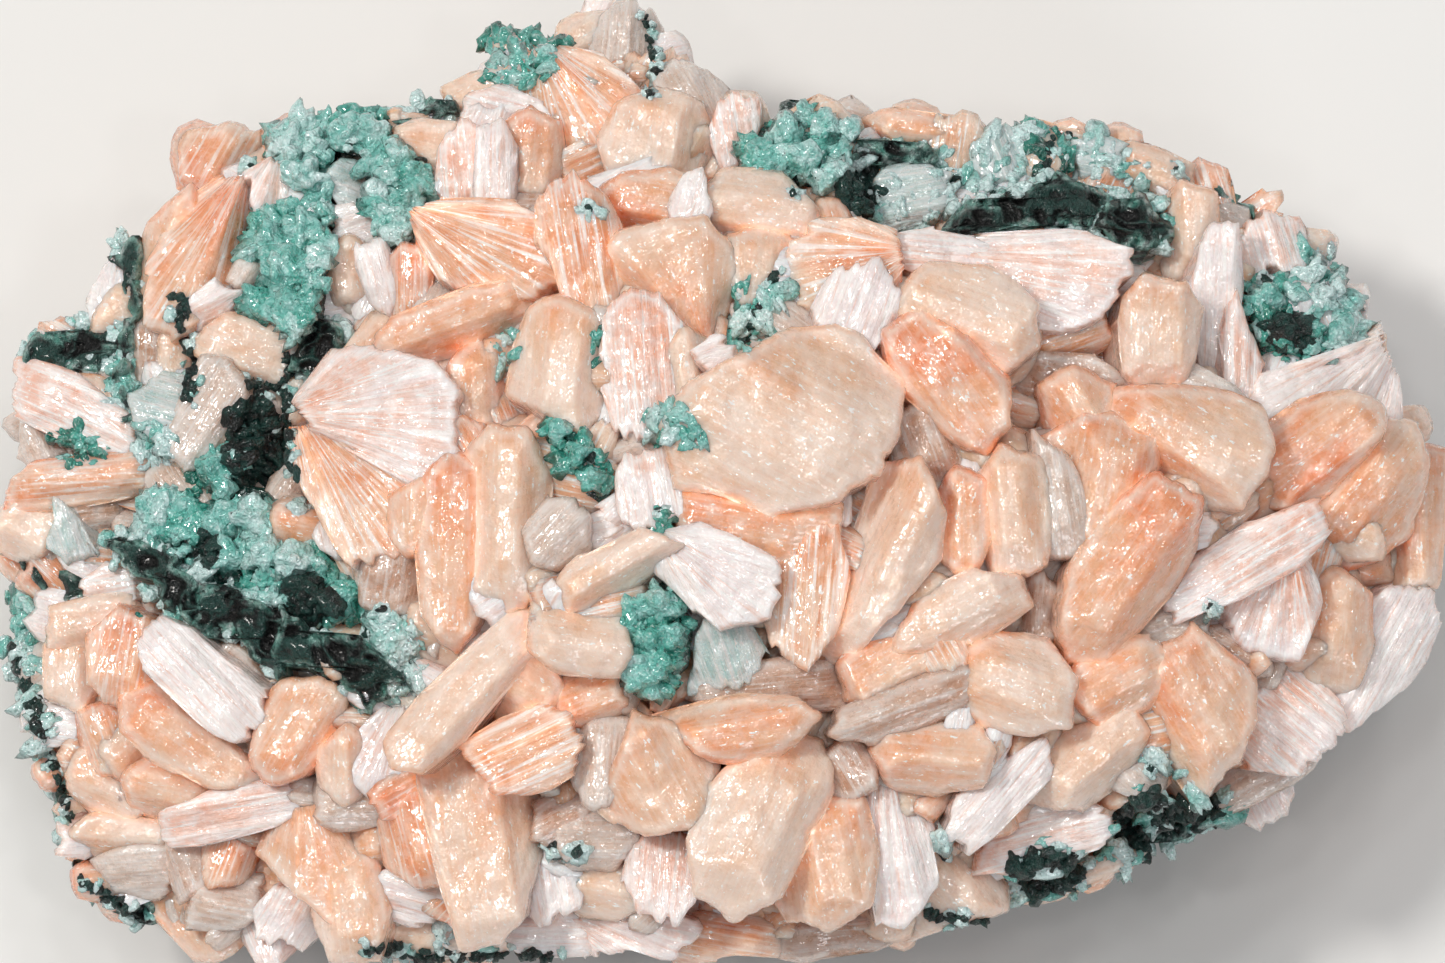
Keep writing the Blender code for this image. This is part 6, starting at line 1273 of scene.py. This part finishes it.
def stilbite_mass():
    """The mass of intergrown stilbite under the crystals, lumpy all over."""
    dense = rounded_outline(OUTLINE, 0.6, 0.6)
    shoulder = DOME_RIM - BODY_BELOW_DOME
    rings = [specimen_ring(height, BODY_INSET, dense) for height in np.linspace(BODY_SKIRT, shoulder, 14)]
    shelf = rings[-1]
    for scale in np.linspace(0.99, 0.05, 18):
        ring = shelf * (scale, scale, 1)
        radius2 = (ring[:, 0] / CHART_HALF[0]) ** 2 + (ring[:, 1] / CHART_HALF[1]) ** 2
        ring[:, 2] = DOME_RIM + DOME_RISE * np.maximum(0, 1 - radius2) - BODY_BELOW_DOME + 0.8 * (1 - scale)
        rings.append(ring)
    moved = []
    for ring in rings:
        out = ring[:, :2] / np.linalg.norm(ring[:, :2], axis=1)[:, None]
        swell = 0.9 * smooth_noise(ring, 3.0, SEED + 11) - 0.9 * granular_noise(ring, 2.1, SEED + 12)
        upright = ring * (1, 1, 0.4) + 0.6 * smooth_noise(ring, 2.0, SEED + 13)[:, None]
        columns = 2.6 * (0.6 - granular_noise(upright, 3.4, SEED + 14)) - 1.0 * granular_noise(upright, 1.5, SEED + 15)
        ring = ring.copy()
        wall = ring[:, 2] < shoulder + 0.05
        ring[wall, :2] += out[wall] * columns[wall, None]
        ring[:, 2] += np.where(wall, 0, swell)
        moved.append(ring)
    heap = Heap()
    summit = moved[-1].mean(0)
    # Painted shade: the mass's top, seen in the gaps between the crystals, takes the deep orange shade, and its sides a
    # little.
    depth = np.where(np.concatenate([*rings, [summit, summit]])[:, 2] < shoulder, 0.31, 0.6)
    stacked(heap, moved, np.array([0.0, 0.0, BODY_SKIRT]), summit, 0.3, depth)
    return heap


def rock():
    """The basalt, sawn flat below and rough elsewhere, with the celadonite that stands up between the crystals."""
    dense = rounded_outline(OUTLINE, 0.6, 0.65)
    back = backness(dense)
    front_to_back = ROCK_INSET_FRONT + (ROCK_INSET_BACK - ROCK_INSET_FRONT) * back
    rings = [specimen_ring(0.0, front_to_back + ROCK_FOOT_INSET, dense)]
    for share in np.linspace(0.06, 1, 14):
        rings.append(specimen_ring(ROCK_WAIST * share, front_to_back + ROCK_FOOT_INSET * (1 - share) ** 1.3, dense))
    for share in np.linspace(0.12, 1, 8):
        rings.append(specimen_ring(ROCK_WAIST + (ROCK_TOP - ROCK_WAIST) * share, front_to_back + 0.5 * share, dense))
    top = rings[-1]
    for scale in np.linspace(0.985, 0.8, 14):
        rings.append(top * (scale, scale, 1))
    moved = [rings[0]]
    for ring in rings[1:]:
        out = ring[:, :2] / np.linalg.norm(ring[:, :2], axis=1)[:, None]
        fade = np.clip(ring[:, 2] / 1.5, 0, 1)
        rough = 0.9 * smooth_noise(ring, 5.0, SEED + 21) + 0.5 * smooth_noise(ring, 1.6, SEED + 22)
        rough += 0.4 - 0.8 * granular_noise(ring, 2.4, SEED + 23)
        ring = ring.copy()
        ring[:, :2] += out * (rough * fade)[:, None]
        ring[:, 2] += np.where(ring[:, 2] > ROCK_TOP - 0.5, rough, 0)
        moved.append(ring)
    heap = Heap()
    stacked(heap, moved, np.array([0.0, 0.0, 0.0]), np.array([0.0, 0.0, ROCK_TOP]), 0.0, 0.9)
    rng = np.random.default_rng(SEED + 4)
    for ridge in RIDGES:
        centre = np.mean(ridge.corners, axis=0)
        root_depth = float(dome(*centre)) - RIDGE_FOOT
        add_crystal(heap, laid_on_dome(ridge.corners, ridge.lift), ROCKY, 1.0, rng, RIDGE_PITCH, root_depth)
    return heap


def crust_height(right, down):
    """How the crust's surface rises and sinks (mm) at a place, the same for all crusts."""
    at = np.array([[right, down, 0.0]])
    return float((1.5 * smooth_noise(at, 4.5, SEED + 70) + 0.7 * smooth_noise(at, 2.0, SEED + 71))[0])


def crust_tone(right, down, height):
    """Paler where the crust stands higher, as painted light, with a slow drift of its own."""
    drift = float(smooth_noise(np.array([[right, down, 9.0]]), 5.0, SEED + 72)[0])
    return 0.5 + 0.16 * height + 0.3 * drift


def green_crust(crust):
    """One crust: its plates, and nodules of many sizes heaped on them, with hollows left bare between, where the
    plates' darkest green stands in as painted shade.
    """
    rng = np.random.default_rng(SEED + 30 + len(crust.lumps))
    heap = Heap()
    for plate in crust.plates:
        # The bare plate shows in the hollows, its darkest green standing in as painted shade.
        add_crystal(heap, laid_on_dome(plate, crust.lift - 2.0), CRUSTY, -0.1, rng, CRUST_PITCH, CRUST_PLATE_DEPTH)
        for right, down in scattered(plate, NODULE_GAP, rng):
            rise = crust_height(right, down)
            if rise < HOLLOW_BELOW:
                continue
            radius = 0.4 + 1.0 * rng.uniform() ** 2.5
            height = float(dome(right, down)) + crust.lift - 0.6 + rise + rng.uniform(-0.6, 0.6) - 0.3 * radius
            tone = crust_tone(right, down, rise) + rng.uniform(-0.1, 0.1)
            add_nodule(heap, place(right, down, height), radius, 0.8, rng.uniform(1, 2.0), tone, rng)
    for right, down, radius in crust.lumps:
        centre = place(right, down, float(dome(right, down)) + crust.lift)
        add_nodule(heap, centre, radius * 0.9, 0.6, 1.0, crust_tone(right, down, 1.0), rng)
    return heap


def seen_at(right, down, pieces):
    """The first point (mm) of the pieces that the chart shows at a place."""
    start, end = (Vector(place(right, down, height) * MM) for height in (90.0, 0.0))
    way = (end - start).normalized()
    hits = [piece.ray_cast(start, way) for piece in pieces]
    near = [(point - start).length for found, point, _, _ in hits if found]
    return np.array(start + way * min(near)) / MM if near else None


def trail_spots(path, gap):
    """Places every gap (mm) along a path on the chart."""
    path = np.array(path, float)
    legs = np.linalg.norm(np.diff(path, axis=0), axis=1)
    travelled = np.concatenate([[0], np.cumsum(legs)])
    spots = np.arange(0, travelled[-1], gap)
    return np.stack([np.interp(spots, travelled, path[:, axis]) for axis in (0, 1)], -1)


def grown_over(pieces):
    """Celadonite and chalcedony that lie over the crystals: eyes, veins, rinds and patches."""
    rng = np.random.default_rng(SEED + 80)
    dark, mint = Heap(), Heap()

    def settle(heap, right, down, radius, sunk, stretch, tone, rind=1.0):
        """Adds a nodule where the chart shows the pieces' surface, sunk in by a share of its radius."""
        where = seen_at(right, down, pieces)
        if where is not None:
            add_nodule(heap, where - (0, 0, sunk * radius), radius, 0.7, stretch, tone, rng, rind)

    for right, down in EYES:
        settle(mint, right, down, rng.uniform(0.7, 1.1), 0.75, 1.2, 0.95)
        settle(dark, right, down, rng.uniform(0.3, 0.5), -0.2, 1.3, 1.1, 0.3)
    for path, width in VEINS:
        for right, down in trail_spots(path, VEIN_GAP):
            aside = rng.normal(0, 0.3 * width, 2)
            settle(dark, right + aside[0], down + aside[1], rng.uniform(0.35, 0.6) * width, 0.3, 1.5, 1.1, 0.2)
            if rng.uniform() < 0.7:
                aside = rng.normal(0, 1, 2)
                aside *= rng.uniform(0.8, 1.2) * width / np.linalg.norm(aside)
                settle(mint, right + aside[0], down + aside[1], rng.uniform(0.3, 0.55), 0.5, 1.4, rng.uniform(0.6, 1.2))
    for corners, gap in DARK_PATCHES:
        for right, down in scattered(corners, gap, rng):
            settle(dark, right, down, rng.uniform(0.5, 0.95), 0.4, 1.5, 1.1, 0.2)
    for corners, gap, pale in MINT_PATCHES:
        for right, down in scattered(corners, gap, rng):
            if smooth_noise(np.array([[right, down, 3.0]]), 2.5, SEED + 81)[0] > -0.35:
                tone = pale + rng.uniform(-0.3, 0.3)
                settle(mint, right, down, rng.uniform(0.35, 1.0), 0.8, rng.uniform(1.2, 2.2), tone)
    for ridge in RIDGES:
        edge = trail_spots([*ridge.corners, ridge.corners[0]], RIND_GAP)
        height = np.array([dome(*spot) + ridge.lift for spot in edge])
        lumpy = smooth_noise(np.append(edge, edge[:, :1] * 0, axis=1), 2.2, SEED + 82)
        for (right, down), top, thick in zip(edge, height, lumpy):
            if thick > -0.3:
                aside = rng.normal(0, 0.35, 2)
                where = place(right + aside[0], down + aside[1], top - rng.uniform(0.5, 1.6))
                add_nodule(mint, where, rng.uniform(0.35, 0.75) * (1 + 0.4 * thick), 0.5, rng.uniform(1, 1.8),
                           0.95 + rng.uniform(-0.4, 0.35), rng)
    return dark, mint


def srgb(code):
    """A hex colour as the linear values that Blender takes."""
    parts = [int(code[start : start + 2], 16) / 255 for start in (1, 3, 5)]
    return (*[part / 12.92 if part <= 0.04045 else ((part + 0.055) / 1.055) ** 2.4 for part in parts], 1.0)


def feed(tree, socket, value):
    """Gives a socket another node's output, a hex colour or a plain value."""
    if isinstance(value, bpy.types.NodeSocket):
        tree.links.new(value, socket)
    else:
        socket.default_value = srgb(value) if isinstance(value, str) else value


def node(tree, kind, settings, sockets, output=0):
    """Adds one node and gives back an output of it. Its sockets are fed by name or number. A ramp's stops are places
    from 0 to 1, each with a hex colour or a share."""
    made = tree.nodes.new(f"ShaderNode{kind}")
    for name, value in settings.items():
        if name != "stops":
            setattr(made, name, value)
            continue
        elements = made.color_ramp.elements
        while len(elements) < len(value):
            elements.new(0.5)
        for element, (position, colour) in zip(elements, value):
            element.position = position
            element.color = srgb(colour) if isinstance(colour, str) else (colour, colour, colour, 1)
    for name, value in sockets.items():
        feed(tree, made.inputs[name], value)
    return made.outputs[output]


def new_material(name):
    """A new material, its node tree and its shader."""
    look = bpy.data.materials.new(name)
    look.use_nodes = True
    return look, look.node_tree, look.node_tree.nodes["Principled BSDF"]


def seen_values(tree, patterns):
    """What a surface follows: the values kept at each vertex, and noise laid along its grain."""
    seen = {}
    for key in ("grain", "tone", "depth", "lined", "tip"):
        output = "Vector" if key == "grain" else "Fac"
        seen[key] = node(tree, "Attribute", {"attribute_name": key}, {}, output)
    for key, pattern in patterns.items():
        spot = node(tree, "VectorMath", {"operation": "MULTIPLY"}, {0: seen["grain"], 1: pattern.per_mm})
        noise = {"Vector": spot, "Scale": 1.0, "Detail": pattern.detail, "Roughness": pattern.roughness}
        seen[key] = node(tree, "TexNoise", {}, noise)
    return seen


def toned(tree, seen, tip_share, lowered):
    """Where each place lies on its material's scale of colours: its own tone, a slow drift, and its tips apart; on
    knobbly relief the tips are its raised tops, painted paler as light.
    """
    tone = node(tree, "Math", {"operation": "ADD"}, {0: seen["drift"], 1: seen["tone"]})
    tone = node(tree, "Math", {"operation": "MULTIPLY_ADD"}, {0: seen["tip"], 1: tip_share, 2: tone})
    return node(tree, "Math", {"operation": "SUBTRACT"}, {0: tone, 1: lowered})


def laid_over(tree, under, over, follows, stops, within=None):
    """One colour over another: the stops say how much of it shows along what it follows."""
    share = node(tree, "ValToRGB", {"stops": stops}, {"Fac": follows})
    if within is not None:
        share = node(tree, "Math", {"operation": "MULTIPLY"}, {0: share, 1: within})
    return node(tree, "Mix", {"data_type": "RGBA"}, {0: share, 6: under, 7: over}, 2)


class Stilbite(NamedTuple):
    """A finish of stilbite: its scale of colours, the milk of its frosted patches and of the painted rim light just
    inside its edges, the painted shade between its striae, the colour of the painted shade deep between the crystals
    and down their sides, how see-through it is, how much light travels in it, and how strong its pale lines, partly
    painted sheen, and its mottling are."""

    name: str
    colours: list
    milk: str
    shade: str
    deep: str
    see_through: float
    glow: float
    streaks: float
    mottle: float


STILBITES = {
    "waxy": Stilbite(
        "peach_stilbite", [(0.05, "#F3D8C5"), (0.3, "#EFC4A5"), (0.55, "#F0AE85"), (0.85, "#EC8A59")],
        milk="#F6E2D5", shade="#DE8657", deep="#A8471B", see_through=0.0, glow=1.0, streaks=0.75, mottle=0.45,
    ),
    "pearly": Stilbite(
        "pearly_stilbite", [(0.1, "#FBF0ED"), (0.4, "#F5E8E8"), (0.6, "#F8D6C9"), (0.9, "#F6B294")],
        milk="#FFFAF9", shade="#EDBBA4", deep="#C9774F", see_through=0.0, glow=0.5, streaks=0.9, mottle=0.8,
    ),
    "smoky": Stilbite(
        "smoky_stilbite", [(0.1, "#EBD8CC"), (0.4, "#E3C6B3"), (0.9, "#D0A084")],
        milk="#F9F0EA", shade="#CFA58C", deep="#9C5C36", see_through=0.15, glow=0.4, streaks=0.6, mottle=0.6,
    ),
    "minty": Stilbite(
        "mint_stained_stilbite", [(0.1, "#E6F1EF"), (0.5, "#C4DFDC"), (0.9, "#8AC4B8")],
        milk="#F8FCFC", shade="#A3CFC8", deep="#4E8E80", see_through=0.2, glow=0.3, streaks=0.7, mottle=0.7,
    ),
}


def stilbite_look(kind):
    """Stilbite: translucent and waxy-wet, a little pearly along its cleavage. Fine pale lines run along its grain,
    partly painted sheen, with painted shade between them; its faces are mottled with frosted patches and dotted with
    white flecks painted in as glints; a band of painted rim light runs just inside its edges, and painted orange shade
    darkens it deep between the crystals and down its sides."""
    look, tree, shader = new_material(kind.name)
    seen = seen_values(tree, STILBITE_PATTERNS)
    lined, depth = seen["lined"], seen["depth"]
    colour = node(tree, "ValToRGB", {"stops": kind.colours}, {"Fac": toned(tree, seen, -0.36, 0.3)})
    for over, follows, stops, within in (
        (kind.milk, seen["frost"], [(0.42, 0.0), (0.72, kind.mottle)], None),
        # painted shade in the grooves between the striae
        (kind.shade, seen["striae"], [(0.3, 0.6), (0.44, 0.0)], lined),
        # pale lines along the striae, partly the fibres' own paleness and partly painted pearly sheen
        ("#FFFCFA", seen["striae"], [(0.52, 0.0), (0.64, kind.streaks)], lined),
        # white flecks painted in as glints
        ("#FFFDFA", seen["flecks"], [(0.63, 0.0), (0.67, 0.95)], None),
        # a band of painted rim light just inside the faces' edges
        (kind.milk, depth, [(0.08, 0.0), (0.24, 0.6), (0.34, 0.0)], None),
        # painted shade deep between the crystals and down their sides
        (kind.deep, depth, [(0.3, 0.0), (0.4, 0.3), (0.6, 0.85), (1.0, 1.0)], None),
    ):
        colour = laid_over(tree, colour, over, follows, stops, within)
    wear = node(tree, "ValToRGB", {"stops": [(0.35, 0.18), (0.65, 0.42)]}, {"Fac": seen["frost"]})
    body = node(tree, "Bump", {}, {"Height": seen["waves"], "Distance": 0.35 * MM})
    ribs = node(tree, "Math", {"operation": "MULTIPLY"}, {0: seen["ribs"], 1: lined})
    ribbed = node(tree, "Bump", {}, {"Height": ribs, "Distance": 0.25 * MM, "Normal": body})
    wet = node(tree, "Bump", {}, {"Height": seen["wet"], "Distance": 0.26 * MM})
    shader.subsurface_method = "BURLEY"
    for name, value in {
        "Base Color": colour, "Roughness": wear, "Normal": ribbed, "IOR": 1.5,
        "Transmission Weight": kind.see_through,
        "Subsurface Weight": kind.glow, "Subsurface Radius": (1.0, 0.5, 0.32), "Subsurface Scale": 2.2 * MM,
        "Coat Weight": 1.0, "Coat Roughness": 0.08, "Coat IOR": 1.65, "Coat Normal": wet,
    }.items():
        feed(tree, shader.inputs[name], value)
    return look


def chalcedony_look():
    """Green chalcedony: botryoidal, glassy-wet and a little see-through. Its raised tops are painted pale mint as
    light, its flanks green, and its lower sides and hollows deep teal as painted shade."""
    look, tree, shader = new_material("green_chalcedony")
    seen = seen_values(tree, CHALCEDONY_PATTERNS)
    greens = [(0.0, "#06302A"), (0.2, "#1A7464"), (0.42, "#4BAA9B"), (0.65, "#7FC5BC"), (1.0, "#D3EDEC")]
    # The raised tops (tip) are painted paler as light.
    colour = node(tree, "ValToRGB", {"stops": greens}, {"Fac": toned(tree, seen, 0.35, 0.7)})
    colour = laid_over(tree, colour, "#E3F3F1", seen["frost"], [(0.58, 0.0), (0.68, 0.45)])
    # Painted shade: lower sides and hollows turn deep teal.
    colour = laid_over(tree, colour, "#0A4035", seen["depth"], [(0.25, 0.0), (0.5, 0.6), (1.0, 1.0)])
    rounded = node(tree, "Bump", {}, {"Height": seen["rounded"], "Distance": 0.8 * MM})
    sugar = node(tree, "TexVoronoi", {"feature": "F1"}, {"Vector": seen["grain"], "Scale": SUGAR_PER_MM})
    sugary = node(tree, "Bump", {}, {"Height": sugar, "Distance": 0.25 * MM, "Normal": rounded})
    shader.subsurface_method = "BURLEY"
    for name, value in {
        "Base Color": colour, "Roughness": 0.2, "Normal": sugary, "IOR": 1.54,
        "Subsurface Weight": 0.5, "Subsurface Radius": (0.5, 0.9, 0.8), "Subsurface Scale": 0.9 * MM,
        "Coat Weight": 1.0, "Coat Roughness": 0.05, "Coat IOR": 1.6,
    }.items():
        feed(tree, shader.inputs[name], value)
    return look


def basalt_look():
    """Celadonite-stained basalt: near-black teal, crinkled and granular with glossy crests that are also painted a
    lighter teal as highlights, with a pale mint rind along its upper edges, and brown-grey rock below."""
    look, tree, shader = new_material("celadonite_basalt")
    seen = seen_values(tree, BASALT_PATTERNS)
    # Painted highlight: the relief's crests (tip) are painted a lighter teal.
    crest = node(tree, "Math", {"operation": "MULTIPLY_ADD"}, {0: seen["crumbs"], 1: 0.5, 2: seen["tip"]})
    crest = node(tree, "Math", {"operation": "SUBTRACT"}, {0: crest, 1: 0.25})
    greens = [(0.1, "#010302"), (0.5, "#020C0A"), (0.8, "#051C18"), (1.0, "#12443D")]
    green = node(tree, "ValToRGB", {"stops": greens}, {"Fac": crest})
    browns = [(0.3, "#2B2A28"), (0.5, "#3D3A35"), (0.7, "#54483C")]
    brown = node(tree, "ValToRGB", {"stops": browns}, {"Fac": seen["rock"]})
    brown = laid_over(tree, brown, "#24554E", seen["stain"], [(0.48, 0.0), (0.62, 0.8)])
    colour = node(tree, "Mix", {"data_type": "RGBA"}, {0: seen["tone"], 6: brown, 7: green}, 2)
    mints = [(0.35, "#4F9A8B"), (0.55, "#A9D8CE"), (0.7, "#EEF8F6")]
    mint = node(tree, "ValToRGB", {"stops": mints}, {"Fac": seen["mint"]})
    patchy = node(tree, "ValToRGB", {"stops": [(0.44, 0.0), (0.54, 1.0)]}, {"Fac": seen["patches"]})
    rind = [(0.14, 0.0), (0.27, 0.9), (0.42, 0.85), (0.7, 0.0)]
    colour = laid_over(tree, colour, mint, seen["depth"], rind, patchy)
    crinkled = node(tree, "Bump", {}, {"Height": seen["crumbs"], "Distance": 0.6 * MM})
    gritty = node(tree, "Bump", {}, {"Height": seen["grit"], "Distance": 0.3 * MM, "Normal": crinkled})
    for name, value in {
        "Base Color": colour, "Roughness": 0.38, "Normal": gritty, "IOR": 1.55,
        "Coat Weight": 0.4, "Coat Roughness": 0.12,
    }.items():
        feed(tree, shader.inputs[name], value)
    return look


stilbite = {finish: stilbite_look(kind) for finish, kind in STILBITES.items()}
chalcedony = chalcedony_look()
celadonite = basalt_look()

crystal_heaps = [(f"{finish}_crystals_{side}", finish, heap) for (finish, side), heap in charted_crystals().items()]
crystal_heaps += [(f"under_{finish}_crystals", finish, heap) for finish, heap in under_crystals().items()]
crystal_heaps += [(f"small_{finish}_blades", finish, heap) for finish, heap in small_blades().items()]
crystal_heaps.append(("stilbite_mass", "waxy", stilbite_mass()))
grown_on = []
for name, finish, heap in crystal_heaps:
    grown_on.append(heap.piece(name, stilbite[finish], "stilbite", ["stilbite_crystals"]))
for crust in CRUSTS:
    grown_on.append(green_crust(crust).piece(f"{crust.name}_nodules", chalcedony, "chalcedony", [crust.name]))
rock().piece("celadonite_and_basalt", celadonite, "celadonite_basalt", ["matrix"])
dark_heap, mint_heap = grown_over(grown_on)
dark_heap.piece("celadonite_veins", celadonite, "celadonite_basalt", [])
mint_heap.piece("chalcedony_rinds", chalcedony, "chalcedony", [])


def floor():
    """A plain pale floor at the height of the specimen's base."""
    bm = bmesh.new()
    bmesh.ops.create_grid(bm, x_segments=1, y_segments=1, size=FLOOR_HALF)
    mesh = bpy.data.meshes.new("floor")
    bm.to_mesh(mesh)
    bm.free()
    look, tree, shader = new_material("pale_floor")
    feed(tree, shader.inputs["Base Color"], "#F5F5F3")
    feed(tree, shader.inputs["Roughness"], 0.9)
    mesh.materials.append(look)
    plane = bpy.data.objects.new("floor", mesh)
    plane.location.z = cad_low[2]
    bpy.context.scene.collection.objects.link(plane)


def area_light(name, where, size, watts, colour):
    """A round lamp that shines at the specimen."""
    light = bpy.data.lights.new(name, "AREA")
    light.shape = "DISK"
    light.size = size
    light.energy = watts
    light.color = srgb(colour)[:3]
    lamp = bpy.data.objects.new(name, light)
    lamp.location = where
    lamp.rotation_euler = (Vector(LAMPS_AIM) - Vector(where)).to_track_quat("-Z", "Y").to_euler()
    bpy.context.scene.collection.objects.link(lamp)


def studio():
    """Soft light from the left and the front, and rings of small lamps that the level faces mirror as fine glints."""
    world = bpy.data.worlds.new("studio")
    world.use_nodes = True
    background = world.node_tree.nodes["Background"]
    feed(world.node_tree, background.inputs["Color"], "#FFFFFF")
    feed(world.node_tree, background.inputs["Strength"], WORLD_STRENGTH)
    bpy.context.scene.world = world
    for lamp in LAMPS:
        area_light(*lamp)
    for ring, (count, radius) in enumerate(SPARK_RINGS):
        for number in range(count):
            turn = math.tau * (number + 0.3 + 0.2 * ring) / count
            where = (radius * math.cos(turn), SPARKS_BACK + radius * math.sin(turn), SPARKS_UP)
            area_light(f"spark_{ring}_{number}", where, SPARK_SIZE, SPARK_WATTS, "#FFFFFF")


def camera():
    """The photo's own view, from in front and high above."""
    lens = bpy.data.cameras.new("camera")
    lens.lens = LENS
    lens.sensor_width = SENSOR_WIDTH
    lens.clip_start = 0.01
    eye = bpy.data.objects.new("camera", lens)
    bpy.context.scene.collection.objects.link(eye)
    bpy.context.scene.camera = eye
    elevation = math.radians(CHART_ELEVATION_DEG)
    back = Vector((0, -math.cos(elevation), math.sin(elevation)))
    eye.location = Vector(place(*CAMERA_AIM) * MM) + back * (LENS / SENSOR_WIDTH * PICTURE_WIDTH * MM)
    eye.rotation_euler = back.to_track_quat("Z", "Y").to_euler()


floor()
studio()
camera()
bpy.context.scene.view_settings.view_transform = "Standard"
